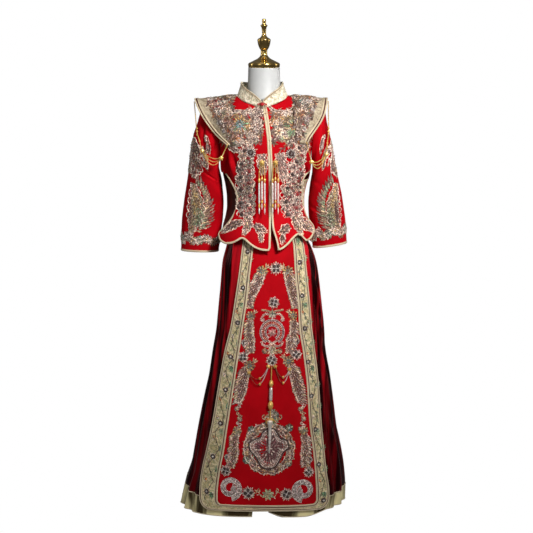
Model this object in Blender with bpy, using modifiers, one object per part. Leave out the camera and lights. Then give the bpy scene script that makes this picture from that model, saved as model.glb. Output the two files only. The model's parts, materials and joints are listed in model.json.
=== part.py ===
"""Chinese wedding dress on its dress form: a stand-collar jacket over a panelled skirt.

Metres, +Z up, the front towards -Y. Left and right are as seen from the front.
The origin is on the floor, under the middle of the form's base.
A cloth panel is an open surface, its inner face, with Solidify outwards for the wall.
What lies on a panel is made from the panel's own points, moved out along their normals.
"""

import math

import bmesh
import bpy
import numpy as np

# Walls, and the gaps at seams and under layers
CLOTH = 0.0015
TRIM = 0.0012
WORK = 0.002
SEAM = 0.0006
ARM_SEAM = 0.0012
UNDERARM = 0.003
LAY = 0.0004

# Sections are superellipses: 2 is an ellipse, more is squarer
BODY_SQUARE = 2.4
SKIRT_SQUARE_FRONT = 3.0
SKIRT_SQUARE_BACK = 2.3

# Shoulders and neck
SHOULDER_ROUND = 0.070
NECKLINE_HALF = 0.0795
NECKLINE_X = -0.005
NECKLINE_FRONT = 1.3205
NECKLINE_SIDE = 1.3575
NECKLINE_BACK = 1.342
ARMHOLE_TOP = 1.328
ARMHOLE_FOOT = 1.150
NECK_TOP = 1.4475

# Bindings and bands
BINDING = 0.0065
CUFF_BINDING = 0.007
WING_BAND = 0.014
WING_WALL = 0.002
WING_ROUND = 0.050
WING_DEPTH = 0.0665
WING_LIFT = 0.0026
HEM_BAND_SIDE = 0.074
HEM_BAND_FRONT = 0.060

# Rows of the jacket's panels: down to the bust line, which is the armhole's foot, then to the hem
ROWS_ABOVE = 8
ROWS_BELOW = 7
LENGTH_BELOW = 0.26
SLEEVE_LENGTH = 0.49

# Skirt
WAIST_LOW, WAIST_HIGH = 0.955, 0.985
SKIRT_HEM = 0.012
PANEL_FOOT = 0.036
PANEL_CORNER = 0.034
BORDER_FOOT = 0.020
SEAM_TURN = 0.0012
FOLDS = 22
FOLD_DEEP = 0.020

# Dress form
POLE_RADIUS = 0.0125
POLE_FOOT = 0.0403
FORM_FOOT = 0.800
FORM_SEGMENTS = 24
FORM_CLEAR = 0.008
RIDGE_CLEAR = 0.0008
RIDGE_SHARE = 0.25
NECK_FLAT = 0.92

SIDES = {"left": -1, "right": 1}


def smooth(where, stops, values):
    """A monotone cubic through the stops, level past both ends."""
    stops, values = np.asarray(stops, float), np.asarray(values, float)
    where = np.clip(where, stops[0], stops[-1])
    gap = np.diff(stops)
    slope = np.diff(values) / gap
    product = slope[:-1] * slope[1:]
    total = slope[:-1] + slope[1:]
    inner = np.where(product > 0, 2 * product / np.where(total == 0, 1, total), 0)
    tangent = np.concatenate([slope[:1], inner, slope[-1:]])
    i = np.clip(np.searchsorted(stops, where, side="right") - 1, 0, len(gap) - 1)
    u = (where - stops[i]) / gap[i]
    start = values[i] * (1 + 2 * u) + gap[i] * tangent[i] * u
    end = values[i + 1] * (3 - 2 * u) + gap[i] * tangent[i + 1] * (u - 1)
    return start * (1 - u) ** 2 + end * u**2


class Table:
    """Named columns over the first one, each read as a smooth curve."""

    def __init__(self, columns, *rows):
        self.columns = dict(zip(columns.split(), np.array(sorted(rows)).T))
        self.stops = next(iter(self.columns.values()))

    def __call__(self, column, where):
        return smooth(where, self.stops, self.columns[column])


# The jacket's front, by height: where its section ends at each side, and its depth
FRONT = Table(
    "z left right depth",
    (0.860, -0.165, 0.180, 0.137),
    (0.900, -0.160, 0.177, 0.130),
    (0.935, -0.142, 0.168, 0.118),
    (0.965, -0.128, 0.148, 0.107),
    (1.000, -0.121, 0.134, 0.100),
    (1.030, -0.121, 0.132, 0.100),
    (1.070, -0.126, 0.138, 0.107),
    (1.100, -0.132, 0.1475, 0.115),
    (1.150, -0.140, 0.152, 0.124),
    (1.200, -0.152, 0.160, 0.126),
    (1.250, -0.165, 0.168, 0.117),
    (1.300, -0.176, 0.175, 0.095),
    (1.320, -0.179, 0.177, 0.084),
    (1.360, -0.180, 0.178, 0.072),
)
BACK = Table(
    "z left right depth",
    (0.860, -0.142, 0.158, 0.134),
    (0.900, -0.138, 0.1525, 0.128),
    (0.935, -0.1335, 0.148, 0.116),
    (0.965, -0.1255, 0.139, 0.106),
    (1.000, -0.120, 0.1305, 0.097),
    (1.030, -0.1205, 0.130, 0.095),
    (1.070, -0.1255, 0.137, 0.100),
    (1.100, -0.132, 0.1475, 0.106),
    (1.150, -0.140, 0.152, 0.112),
    (1.200, -0.152, 0.160, 0.115),
    (1.250, -0.165, 0.168, 0.113),
    (1.300, -0.176, 0.175, 0.104),
    (1.320, -0.179, 0.177, 0.100),
    (1.360, -0.180, 0.178, 0.096),
)
BODY = {"front": (FRONT, -1), "back": (BACK, 1)}

# The outer edge of each front: the hollowed side slit, then the armhole
SIDE_EDGE = Table(
    "z left right",
    (0.880, -0.1485, 0.1650),
    (0.906, -0.1483, 0.1650),
    (0.914, -0.1466, 0.1648),
    (0.935, -0.1290, 0.1612),
    (0.963, -0.1078, 0.1420),
    (0.991, -0.0935, 0.1300),
    (1.019, -0.0867, 0.1245),
    (1.047, -0.0898, 0.1232),
    (1.072, -0.1004, 0.1232),
    (1.097, -0.1150, 0.1285),
    (1.107, -0.1230, 0.1380),
    (1.120, -0.1400, 0.1530),
    (1.150, -0.1405, 0.1525),
    (1.157, -0.1385, 0.1505),
    (1.170, -0.1385, 0.1505),
    (1.200, -0.1410, 0.1525),
    (1.250, -0.1490, 0.1570),
    (1.290, -0.1590, 0.1630),
    (1.328, -0.1700, 0.1690),
)
CENTRE_EDGE = Table(
    "z left right",
    (0.862, 0.0205, 0.0455),
    (0.900, 0.0215, 0.0385),
    (0.940, 0.0222, 0.0262),
    (1.000, 0.0220, 0.0226),
    (1.060, 0.0218, 0.0224),
    (1.210, 0.0170, 0.0176),
    (1.270, 0.0100, 0.0106),
    (1.335, -0.0003, 0.0003),
)
# The scalloped hem, by the share of the way from the centre edge to the side edge
HEM = {
    "left": Table(
        "share z",
        (0.00, 0.8663),
        (0.16, 0.8680),
        (0.28, 0.8744),
        (0.39, 0.8857),
        (0.48, 0.8987),
        (0.54, 0.9051),
        (0.61, 0.8975),
        (0.71, 0.8890),
        (0.84, 0.8841),
        (0.95, 0.8915),
        (1.00, 0.9064),
    ),
    "right": Table(
        "share z",
        (0.00, 0.8663),
        (0.13, 0.8728),
        (0.27, 0.8840),
        (0.40, 0.8987),
        (0.52, 0.9116),
        (0.60, 0.9164),
        (0.68, 0.9051),
        (0.77, 0.8938),
        (0.90, 0.9019),
        (1.00, 0.9270),
    ),
}
SHOULDER = Table(
    "reach z",
    (0.084, 1.3575),
    (0.127, 1.3510),
    (0.150, 1.3430),
    (0.170, 1.3280),
)
# A sleeve's outer and inner lines, with its half depth and the middle's place in Y
SLEEVE = {
    "left": Table(
        "along outer_x outer_z inner_x inner_z depth y",
        (0.00, -0.1710, 1.3275, -0.1416, 1.1490, 0.058, 0.000),
        (0.06, -0.1880, 1.3220, -0.1480, 1.1420, 0.060, 0.000),
        (0.12, -0.2040, 1.3050, -0.1485, 1.1280, 0.060, 0.000),
        (0.20, -0.2165, 1.2660, -0.1450, 1.1100, 0.058, 0.001),
        (0.28, -0.2285, 1.2320, -0.1420, 1.0920, 0.056, 0.003),
        (0.38, -0.2365, 1.1900, -0.1385, 1.0660, 0.055, 0.006),
        (0.50, -0.2425, 1.1400, -0.1355, 1.0400, 0.054, 0.011),
        (0.62, -0.2510, 1.0800, -0.1345, 1.0080, 0.052, 0.018),
        (0.75, -0.2635, 1.0030, -0.1365, 0.9650, 0.050, 0.026),
        (0.88, -0.2715, 0.9300, -0.1430, 0.9120, 0.047, 0.034),
        (1.00, -0.2735, 0.8475, -0.1525, 0.8445, 0.045, 0.038),
    ),
    "right": Table(
        "along outer_x outer_z inner_x inner_z depth y",
        (0.00, 0.1700, 1.3275, 0.1532, 1.1490, 0.058, 0.000),
        (0.06, 0.1860, 1.3220, 0.1575, 1.1420, 0.060, 0.000),
        (0.12, 0.1970, 1.3050, 0.1590, 1.1280, 0.060, 0.000),
        (0.20, 0.2035, 1.2700, 0.1585, 1.1100, 0.058, 0.001),
        (0.28, 0.2120, 1.2380, 0.1555, 1.0920, 0.056, 0.003),
        (0.38, 0.2205, 1.1950, 0.1520, 1.0700, 0.055, 0.006),
        (0.50, 0.2290, 1.1400, 0.1490, 1.0450, 0.054, 0.011),
        (0.62, 0.2430, 1.0820, 0.1465, 1.0100, 0.052, 0.018),
        (0.75, 0.2575, 1.0120, 0.1480, 0.9720, 0.050, 0.026),
        (0.88, 0.2665, 0.9550, 0.1525, 0.9300, 0.047, 0.034),
        (1.00, 0.2725, 0.8720, 0.1630, 0.8565, 0.045, 0.038),
    ),
}
# The outer edge of each shoulder wing below its ridge, and the ridge itself
WING = {
    "left": Table(
        "drop inner outer",
        (0.000, 0.104, 0.2257),
        (0.032, 0.104, 0.2115),
        (0.071, 0.102, 0.1893),
        (0.106, 0.099, 0.1638),
        (0.135, 0.096, 0.1382),
        (0.154, 0.094, 0.1150),
    ),
    "right": Table(
        "drop inner outer",
        (0.000, 0.104, 0.2060),
        (0.038, 0.105, 0.1987),
        (0.070, 0.107, 0.1861),
        (0.099, 0.110, 0.1669),
        (0.128, 0.113, 0.1478),
        (0.148, 0.115, 0.1360),
    ),
}
RIDGE = Table("reach z", (0.100, 1.3578), (0.127, 1.3567), (0.175, 1.3502), (0.226, 1.3460))

# The skirt's smooth outline by height, and the depths under the panel and at the back
SKIRT = Table(
    "z left right front back",
    (0.010, -0.2790, 0.2680, 0.2310, 0.2350),
    (0.078, -0.2630, 0.2700, 0.2240, 0.2280),
    (0.139, -0.2430, 0.2655, 0.2160, 0.2190),
    (0.200, -0.2315, 0.2560, 0.2070, 0.2100),
    (0.273, -0.2185, 0.2400, 0.1960, 0.1990),
    (0.360, -0.2010, 0.2290, 0.1840, 0.1870),
    (0.447, -0.1816, 0.2170, 0.1720, 0.1760),
    (0.533, -0.1682, 0.2020, 0.1600, 0.1650),
    (0.606, -0.1553, 0.1970, 0.1490, 0.1560),
    (0.723, -0.1442, 0.1845, 0.1320, 0.1420),
    (0.810, -0.1376, 0.1725, 0.1190, 0.1300),
    (0.860, -0.1252, 0.1560, 0.1105, 0.1200),
    (0.920, -0.1110, 0.1260, 0.0960, 0.1010),
    (0.955, -0.1078, 0.1178, 0.0896, 0.0896),
)
SLIT = Table("z left right", (0.01, -0.0390, 0.0130), (0.50, 0.0050, 0.0300), (0.955, 0.0240, 0.0300))
PANEL_LIFT = Table("z lift", (0.60, 0.0060), (0.90, 0.0045), (0.955, 0.0024))
PANEL = Table(
    "z outer_left inner_left inner_right outer_right",
    (0.030, -0.2085, -0.1490, 0.1672, 0.2100),
    (0.090, -0.2080, -0.1486, 0.1672, 0.2098),
    (0.150, -0.2016, -0.1422, 0.1640, 0.2016),
    (0.220, -0.1860, -0.1287, 0.1575, 0.1940),
    (0.320, -0.1650, -0.1135, 0.1447, 0.1840),
    (0.440, -0.1446, -0.0945, 0.1366, 0.1756),
    (0.540, -0.1265, -0.0792, 0.1247, 0.1636),
    (0.620, -0.1070, -0.0668, 0.1122, 0.1533),
    (0.700, -0.0940, -0.0545, 0.1082, 0.1470),
    (0.780, -0.0820, -0.0458, 0.0997, 0.1388),
    (0.880, -0.0690, -0.0335, 0.0935, 0.1270),
    (0.955, -0.0560, -0.0270, 0.0700, 0.0930),
)
FORM = Table(
    "z left right front back",
    (0.800, -0.1060, 0.1200, 0.0850, 0.0940),
    (0.944, -0.1030, 0.1130, 0.0855, 0.0860),
    (0.955, -0.1065, 0.1165, 0.0885, 0.0885),
    (0.985, -0.1065, 0.1165, 0.0885, 0.0885),
    (1.080, -0.1120, 0.1240, 0.0950, 0.0900),
    (1.150, -0.1260, 0.1360, 0.1120, 0.1000),
    (1.200, -0.1380, 0.1460, 0.1150, 0.1040),
    (1.250, -0.1520, 0.1550, 0.1070, 0.1040),
)
NECK = {1.3475: 0.0585, 1.3660: 0.0562, 1.3850: 0.0540, 1.4150: 0.0520, NECK_TOP: 0.0512}

# Turned pieces, as radius and height down their outer side
CAP = (
    (0, 1.6045),
    (0.0050, 1.6040),
    (0.0066, 1.6000),
    (0.0062, 1.5880),
    (0.0117, 1.5830),
    (0.0080, 1.5760),
    (0.0065, 1.5567),
    (0.0100, 1.5470),
    (0.0215, 1.5375),
    (0.0196, 1.5234),
    (0.0150, 1.5106),
    (0.0104, 1.5026),
    (0.0104, 1.4912),
    (0.0196, 1.4783),
    (0.0350, 1.4700),
    (0.0516, 1.4590),
    (0.0503, 1.4478),
    (0, 1.4478),
)
BASE = (
    (0, 0.040),
    (0.019, 0.040),
    (0.021, 0.026),
    (0.045, 0.019),
    (0.110, 0.012),
    (0.115, 0.006),
    (0.115, 0),
    (0, 0),
)

# Material colours, linear RGB, then roughness and metallic
FINISHES = {
    "red_cloth": ((0.42, 0.004, 0.008), 0.60, 0.0),
    "wine_satin": ((0.16, 0.003, 0.008), 0.35, 0.0),
    "gold_satin": ((0.52, 0.40, 0.20), 0.38, 0.2),
    "gold_brocade": ((0.50, 0.40, 0.22), 0.60, 0.1),
    "cream_binding": ((0.66, 0.56, 0.34), 0.55, 0.0),
    "dark_lining": ((0.075, 0.022, 0.016), 0.60, 0.0),
    "metal_thread": ((0.50, 0.42, 0.30), 0.45, 0.4),
    "gold_bead": ((0.72, 0.46, 0.13), 0.22, 1.0),
    "form_white": ((0.78, 0.78, 0.76), 0.45, 0.0),
    "gold_metal": ((0.55, 0.34, 0.09), 0.18, 1.0),
}


def start_clean():
    for old in list(bpy.data.objects):
        bpy.data.objects.remove(old, do_unlink=True)
    for name in ("chinese_wedding_dress", "cutters"):
        bpy.context.scene.collection.children.link(bpy.data.collections.new(name))


def finish(name):
    """The Principled BSDF of one finish, made once."""
    found = bpy.data.materials.get(name)
    if found:
        return found
    colour, roughness, metallic = FINISHES[name]
    made = bpy.data.materials.new(name)
    made.use_nodes = True
    shader = made.node_tree.nodes["Principled BSDF"]
    shader.inputs["Base Color"].default_value = (*colour, 1)
    shader.inputs["Roughness"].default_value = roughness
    shader.inputs["Metallic"].default_value = metallic
    return made


def place(data, name, finish_name, helper=False):
    piece = bpy.data.objects.new(name, data)
    bpy.data.collections["cutters" if helper else "chinese_wedding_dress"].objects.link(piece)
    data.materials.append(finish(finish_name))
    piece.hide_render = helper
    if helper:
        piece.display_type = "WIRE"
    return piece


def cells_of(grid, wrap):
    """The row and column of each cell of a grid, and its two triangles, split along the shorter diagonal."""
    rows, columns = grid.shape[:2]
    i, j = np.meshgrid(np.arange(rows - 1), np.arange(columns if wrap else columns - 1), indexing="ij")
    i, j = i.ravel(), j.ravel()
    beside = (j + 1) % columns
    a, b = i * columns + j, i * columns + beside
    c, d = b + columns, a + columns
    points = grid.reshape(-1, 3)
    first = np.linalg.norm(points[a] - points[c], axis=1)
    second = np.linalg.norm(points[b] - points[d], axis=1)
    one = np.stack([a, b, c, a, c, d], -1)
    other = np.stack([a, b, d, b, c, d], -1)
    return i, j, np.where((first < second + 1e-6)[:, None], one, other).reshape(-1, 2, 3)


def normals_of(grid, triangles, inside):
    """The mesh's vertex normals at a grid's points, facing away from the inside point or points."""
    mesh = bpy.data.meshes.new("normals")
    mesh.from_pydata(grid.reshape(-1, 3).tolist(), [], triangles.tolist())
    normal = np.array([vertex.normal for vertex in mesh.vertices]).reshape(grid.shape)
    bpy.data.meshes.remove(mesh)
    return normal if (normal * (grid - inside)).sum() > 0 else -normal


def sheet(name, grid, inside, finish_name, wall=CLOTH, lift=0.0, keep=None, wrap=False):
    """A wall on a grid of points. keep(row, column) picks the cells of what lies on a panel."""
    i, j, cells = cells_of(grid, wrap)
    normal = normals_of(grid, cells.reshape(-1, 3), inside).reshape(-1, 3)
    points = grid.reshape(-1, 3) + lift * normal
    corner = points[cells[:, 0]]
    facing = np.cross(corner[:, 1] - corner[:, 0], corner[:, 2] - corner[:, 0])
    if (facing * normal[cells[:, 0, 0]]).sum() < 0:
        cells = cells[..., ::-1]
    if keep is not None:
        cells = cells[keep(i, j)]
    used, triangles = np.unique(cells, return_inverse=True)
    mesh = bpy.data.meshes.new(name)
    mesh.from_pydata(points[used].tolist(), [], triangles.reshape(-1, 3).tolist())
    mesh.shade_smooth()
    piece = place(mesh, name, finish_name)
    solid = piece.modifiers.new("wall", "SOLIDIFY")
    solid.thickness = wall
    solid.offset = 1
    return piece


def turned(name, profile, finish_name, steps, helper=False):
    """A Screw about Z of (radius, height) points that run down the outer side."""
    mesh = bpy.data.meshes.new(name)
    points = [(radius, 0, height) for radius, height in profile]
    mesh.from_pydata(points, [(i, i + 1) for i in range(len(points) - 1)], [])
    piece = place(mesh, name, finish_name, helper)
    screw = piece.modifiers.new("turn", "SCREW")
    screw.steps = screw.render_steps = steps
    screw.use_merge_vertices = True
    screw.merge_threshold = 0.0001
    screw.use_smooth_shade = True
    return piece


def strand(name, points, radii, finish_name, roundness=0, helper=False):
    """A beaded string: a curve whose bevel follows the radii."""
    curve = bpy.data.curves.new(name, "CURVE")
    curve.dimensions = "3D"
    curve.bevel_depth = 1.0
    curve.bevel_resolution = roundness
    curve.use_fill_caps = True
    spline = curve.splines.new("POLY")
    spline.points.add(len(points) - 1)
    for knot, place_at, radius in zip(spline.points, points, radii):
        knot.co = (*place_at, 1)
        knot.radius = radius
    return place(curve, name, finish_name, helper)


def baked(piece):
    """The object's evaluated mesh, welded, in place of its curve or modifiers."""
    bpy.context.view_layer.update()
    graph = bpy.context.evaluated_depsgraph_get()
    mesh = bpy.data.meshes.new_from_object(piece.evaluated_get(graph))
    mesh.transform(piece.matrix_world)
    shape = bmesh.new()
    shape.from_mesh(mesh)
    bmesh.ops.remove_doubles(shape, verts=shape.verts, dist=1e-5)
    bmesh.ops.recalc_face_normals(shape, faces=shape.faces)
    shape.to_mesh(mesh)
    shape.free()
    bpy.data.objects.remove(piece, do_unlink=True)
    return mesh


def fused(name, pieces, finish_name):
    """One body: the first piece with a Boolean union for each of the others, which meet in the beads."""
    whole = place(baked(pieces[0]), name, finish_name)
    for number, piece in enumerate(pieces[1:]):
        other = place(baked(piece), f"{name}_string_{number}", finish_name, helper=True)
        union = whole.modifiers.new(f"join_{number}", "BOOLEAN")
        union.operation = "UNION"
        union.object = other
    return whole


def rounded_share(share, square):
    """A superellipse's other coordinate, from 1 in the middle to 0 at its end."""
    return (1 - np.clip(np.abs(share), 0, 1) ** square) ** (1 / square)


def shoulder_line(x):
    return SHOULDER("z", np.abs(x))


def body_depth(x, z, face):
    """How far the jacket stands out from the shoulder line's plane, always positive."""
    table, _ = BODY[face]
    left, right = table("left", z), table("right", z)
    share = (x - (left + right) / 2) / ((right - left) / 2)
    drop = np.clip((shoulder_line(x) - z) / SHOULDER_ROUND, 0, 1)
    return table("depth", z) * rounded_share(share, BODY_SQUARE) * np.sqrt(1 - (1 - drop) ** 2)


def drop_after(travel):
    """How far down the cloth has come after a way round the shoulder's curve."""
    bend = np.minimum(travel / SHOULDER_ROUND, math.pi / 2)
    return SHOULDER_ROUND * (1 - np.cos(bend)) + np.maximum(travel - SHOULDER_ROUND * math.pi / 2, 0)


def travel_for(drop):
    """The way down the cloth that a drop takes, the inverse of drop_after."""
    bend = np.arccos(np.clip(1 - drop / SHOULDER_ROUND, 0, 1))
    return SHOULDER_ROUND * bend + np.maximum(drop - SHOULDER_ROUND, 0)


def neckline(x, face):
    """The neckline's height: low at the front, nearly level at the back."""
    turn = np.arcsin(np.clip(np.abs(x - NECKLINE_X) / NECKLINE_HALF, 0, 1)) / (math.pi / 2)
    if face == "front":
        return NECKLINE_FRONT + (NECKLINE_SIDE - NECKLINE_FRONT) * turn**1.15
    return NECKLINE_BACK + (NECKLINE_SIDE - NECKLINE_BACK) * turn**2


def panel_grid(x_of, hem, shares, face):
    """A jacket panel: columns run down the cloth from the neck or the shoulder seam to the hem."""
    share = shares[None, :]
    x = x_of(share, np.full_like(share, ARMHOLE_TOP))
    top = shoulder_line(x)
    inside_neck = np.abs(x - NECKLINE_X) < NECKLINE_HALF
    start = travel_for(np.where(inside_neck, top - neckline(x, face), 0)) + SEAM / 4
    bust = travel_for(top - ARMHOLE_FOOT)
    foot = travel_for(top - hem(share))
    above = np.linspace(0, 1, ROWS_ABOVE + 1)[:, None]
    below = np.append(np.linspace(0, 1 - BINDING / LENGTH_BELOW, ROWS_BELOW), 1)[1:, None]
    travel = np.concatenate([start + (bust - start) * above, bust + (foot - bust) * below])
    z = top - drop_after(travel)
    x = x_of(share, z)
    return np.stack([x, body_depth(x, z, face) * BODY[face][1], z], -1)


def front_x(side):
    """The x of a front, by its share of the way from the centre edge to the side edge and its height."""

    def x_of(share, z):
        centre = CENTRE_EDGE(side, z)
        limit = FRONT(side, z)
        edge = SIDE_EDGE(side, z)
        edge = np.maximum(edge, limit) if side == "left" else np.minimum(edge, limit)
        return centre + (edge - centre) * share

    return x_of


def back_x(share, z):
    """The x of the back, from -1 at its left edge to 1 at its right edge."""
    left, right = (
        np.where(z > ARMHOLE_FOOT, SIDE_EDGE(side, z), BACK(side, z)) for side in ("left", "right")
    )
    left, right = np.maximum(left, BACK("left", z)), np.minimum(right, BACK("right", z))
    return (left + right) / 2 + (right - left) / 2 * share


def crowded_to_end(count):
    """Shares from 0 to 1, closer together towards 1, where a section turns quickly."""
    return np.sin(np.linspace(0, math.pi / 2, count))


def front_grid(side, columns=12):
    """The first and last steps are as wide as the binding, and one column starts at the neckline's end."""
    inner = crowded_to_end(columns - 2)
    shares = np.concatenate([[0], 0.045 + (1 - 0.045 - 0.035) * inner, [1]])
    neck_end = NECKLINE_X + SIDES[side] * (NECKLINE_HALF + 0.0025)
    shares[4] = neck_end / SIDE_EDGE(side, ARMHOLE_TOP)
    return panel_grid(front_x(side), lambda share: HEM[side]("z", share), shares, "front")


def back_grid(columns=15):
    shares = np.sin(np.linspace(-math.pi / 2, math.pi / 2, columns))
    return panel_grid(back_x, lambda share: 0.875 - 0.006 * np.cos(4 * share), shares, "back")


def build_jacket_body():
    axis = np.array([0, 0, 1.1])
    for side in SIDES:
        grid = front_grid(side)
        last_row, last_column = grid.shape[0] - 2, grid.shape[1] - 2
        sheet(f"jacket_front_{side}", grid, axis, "red_cloth")
        sheet(
            f"front_binding_{side}",
            grid,
            axis,
            "cream_binding",
            wall=TRIM,
            lift=CLOTH + LAY,
            keep=lambda i, j: (j == 0) | (i == last_row) | (j == last_column) & (i >= ROWS_ABOVE + 1),
        )
    grid = back_grid()
    sheet("jacket_back", grid, axis, "red_cloth")
    last_row = grid.shape[0] - 2
    sheet(
        "back_binding",
        grid,
        axis,
        "cream_binding",
        wall=TRIM,
        lift=CLOTH + LAY,
        keep=lambda i, j: i == last_row,
    )


def lining_grid(side, columns=6, rows=6):
    """The side lining: from under the front's hollowed edge back to the side, set in a little."""
    sign = SIDES[side]
    z = np.linspace(1.088, 0.912, rows)[:, None]
    share = np.linspace(0, 1, columns)[None, :]
    seam = BACK(side, z)
    start = SIDE_EDGE(side, z) - sign * 0.022
    x = start + (seam - start) * np.sin(share * math.pi / 2)
    inset = 0.0003 + 0.0065 * np.sqrt(1 - share)
    depth = body_depth(x + sign * inset, z, "front") * np.sqrt(1 - share**6)
    return np.stack([x - sign * SEAM / 2, np.minimum(-depth + inset, -SEAM), z + 0 * x], -1)


def build_linings():
    for side in SIDES:
        sheet(f"side_lining_{side}", lining_grid(side), np.array([0, 0, 1.0]), "dark_lining", wall=0.0010)


def armhole_ring(side):
    """The edges of the front and the back round the armhole, from the top down the front and up."""
    front = front_grid(side)[: ROWS_ABOVE + 1, -1]
    back = back_grid()[: ROWS_ABOVE + 1, 0 if side == "left" else -1]
    ring = np.concatenate([front, back[-2:0:-1]])
    ring[0, 1] = 0
    low = (1 - np.cos(np.linspace(0, 2 * math.pi, len(ring), endpoint=False))) / 2
    ring[:, 0] += SIDES[side] * (ARM_SEAM + UNDERARM * low)
    return ring


def sleeve_point(side, along, turn):
    """An ellipse between the sleeve's outer and inner lines, by angle from its top round the front."""
    table = SLEEVE[side]
    outer = np.stack([table("outer_x", along), 0 * along, table("outer_z", along)], -1)
    inner = np.stack([table("inner_x", along), 0 * along, table("inner_z", along)], -1)
    point = (outer + inner) / 2 + (outer - inner) / 2 * np.cos(turn)[..., None]
    point[..., 1] = table("y", along) - table("depth", along) * np.sin(turn)
    return point


def sleeve_grid(side):
    """The first ring is the armhole's, and the next ones pass from it into the ellipses."""
    turn = np.linspace(0, 2 * math.pi, 2 * ROWS_ABOVE, endpoint=False)
    along = np.concatenate([[0, 0.05, 0.10], np.linspace(0.19, 1 - CUFF_BINDING / SLEEVE_LENGTH, 6), [1]])
    along, turn = np.meshgrid(along, turn, indexing="ij")
    grid = sleeve_point(side, along, turn)
    fade = np.clip(1 - along / 0.15, 0, 1)[..., None] ** 2
    return grid + (armhole_ring(side) - grid[0]) * fade


def build_sleeves():
    for side in SIDES:
        grid = sleeve_grid(side)
        inside = grid.mean(axis=1, keepdims=True)
        last_row = grid.shape[0] - 2
        sheet(f"sleeve_{side}", grid, inside, "red_cloth", wrap=True)
        sheet(
            f"cuff_binding_{side}",
            grid,
            inside,
            "cream_binding",
            wall=TRIM,
            lift=CLOTH + LAY,
            keep=lambda i, j: i == last_row,
            wrap=True,
        )


def collar_grid(columns=23, rows=3):
    """The stand collar, from the centre front round the back: its foot follows the neckline."""
    turn = np.radians(np.linspace(1.5, 358.5, columns))[None, :]
    up = np.concatenate([np.linspace(0, 0.72, rows - 1), [1]])[:, None]
    part = 1 - np.abs(1 - turn / math.pi)
    foot_x = NECKLINE_X + (NECKLINE_HALF + 0.0005) * np.sin(turn)
    facing_front = np.cos(turn) > 0
    foot_z = np.where(facing_front, neckline(foot_x, "front"), neckline(foot_x, "back"))
    front, back = body_depth(foot_x, foot_z, "front"), body_depth(foot_x, foot_z, "back")
    depth = np.where(facing_front, -front, back)
    top_x = -0.0065 + 0.0650 * np.sin(turn)
    top_y = np.where(facing_front, -0.0720, -0.0600) * np.cos(turn)
    top_z = 1.3375 + 0.0650 * np.minimum(2 * part, 1) ** 0.62 - 0.005 * np.maximum(2 * part - 1, 0)
    foot = np.stack([foot_x, depth, foot_z + 0.0022], -1)
    top = np.stack([top_x, top_y, top_z], -1)
    return foot + (top - foot) * up[..., None]


def build_collar():
    grid = collar_grid()
    inside = np.array([0, 0, 1.37])
    sheet("collar", grid, inside, "gold_brocade")
    last_row = grid.shape[0] - 2
    sheet(
        "collar_binding",
        grid,
        inside,
        "cream_binding",
        wall=0.0016,
        lift=CLOTH + LAY,
        keep=lambda i, j: i == last_row,
    )
    middle = grid[-1, 0] * 0.5 + grid[0, -1] * 0.5
    ball = turned("knot_button", ball_profile(0.0062, 5), "red_cloth", 8)
    ball.location = (middle[0], middle[1] - 0.0075, middle[2])


def ball_profile(radius, steps, squash=1.0):
    turn = np.linspace(0, math.pi, steps + 1)
    return [(radius * math.sin(a), radius * squash * math.cos(a)) for a in turn]


def wing_grid(side, columns=6, rows=13):
    """A shoulder wing: folded over its ridge, lying on the chest and standing out over the sleeve."""
    sign, table = SIDES[side], WING[side]
    foot = table.stops[-1]
    travel = np.linspace(-1, 1, rows)[:, None]
    drop = foot * np.abs(travel) ** 1.8
    inner, outer = table("inner", drop), table("outer", drop)
    band = np.minimum(WING_BAND / (outer - inner), 0.45)
    share = np.linspace(0, 1, columns - 1)[None, :] * (1 - band)
    share = np.concatenate([share, np.ones_like(band)], 1)
    reach = inner + (outer - inner) * share
    z = RIDGE("z", reach) - drop
    x = sign * reach
    under = np.where(travel > 0, body_depth(x, z, "front"), body_depth(x, z, "back"))
    depth = (under**4 + WING_DEPTH**4) ** 0.25 + WING_LIFT
    bend = np.clip(drop / WING_ROUND, 0, 1)
    y = -np.sign(travel) * depth * np.sqrt(1 - (1 - bend) ** 2)
    return np.stack([x, y, z], -1)


def build_wings():
    for side, sign in SIDES.items():
        grid = wing_grid(side)
        inside = np.array([sign * 0.14, 0, 1.15])
        last_column = grid.shape[1] - 2
        sheet(f"shoulder_wing_{side}", grid, inside, "gold_brocade", wall=WING_WALL)
        sheet(
            f"wing_band_{side}",
            grid,
            inside,
            "cream_binding",
            wall=WING_WALL,
            lift=WING_WALL + LAY,
            keep=lambda i, j: j == last_column,
        )


def skirt_point(turn, z, folds=1.0):
    """The satin's surface by angle from the front, towards +X, and height."""
    left, right = SKIRT("left", z), SKIRT("right", z)
    middle, half = (left + right) / 2, (right - left) / 2
    facing_front = np.cos(turn) >= 0
    square = np.where(facing_front, SKIRT_SQUARE_FRONT, SKIRT_SQUARE_BACK)
    depth = np.where(facing_front, SKIRT("front", z), SKIRT("back", z))
    x = half * np.sign(np.sin(turn)) * np.abs(np.sin(turn)) ** (2 / square)
    y = -depth * np.sign(np.cos(turn)) * np.abs(np.cos(turn)) ** (2 / square)
    deep = FOLD_DEEP * smooth(z, (0.012, 0.35, 0.75, 0.955), (1.0, 0.62, 0.30, 0.01))
    deep = deep * (0.75 + 0.25 * np.sin(3 * turn + 0.8)) * folds
    wave = (1 - np.cos(FOLDS * turn + 0.7 * np.sin(2 * turn))) / 2
    away = np.sqrt(x**2 + y**2)
    shrink = 1 - deep * wave / away
    return np.stack([middle + x * shrink, y * shrink, z + 0 * turn], -1)


def turn_at(x, z, square=SKIRT_SQUARE_FRONT):
    """The angle at which the skirt's front passes through x."""
    left, right = SKIRT("left", z), SKIRT("right", z)
    share = np.clip((x - (left + right) / 2) / ((right - left) / 2), -1, 1)
    return np.sign(share) * np.arcsin(np.abs(share) ** (square / 2))


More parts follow.
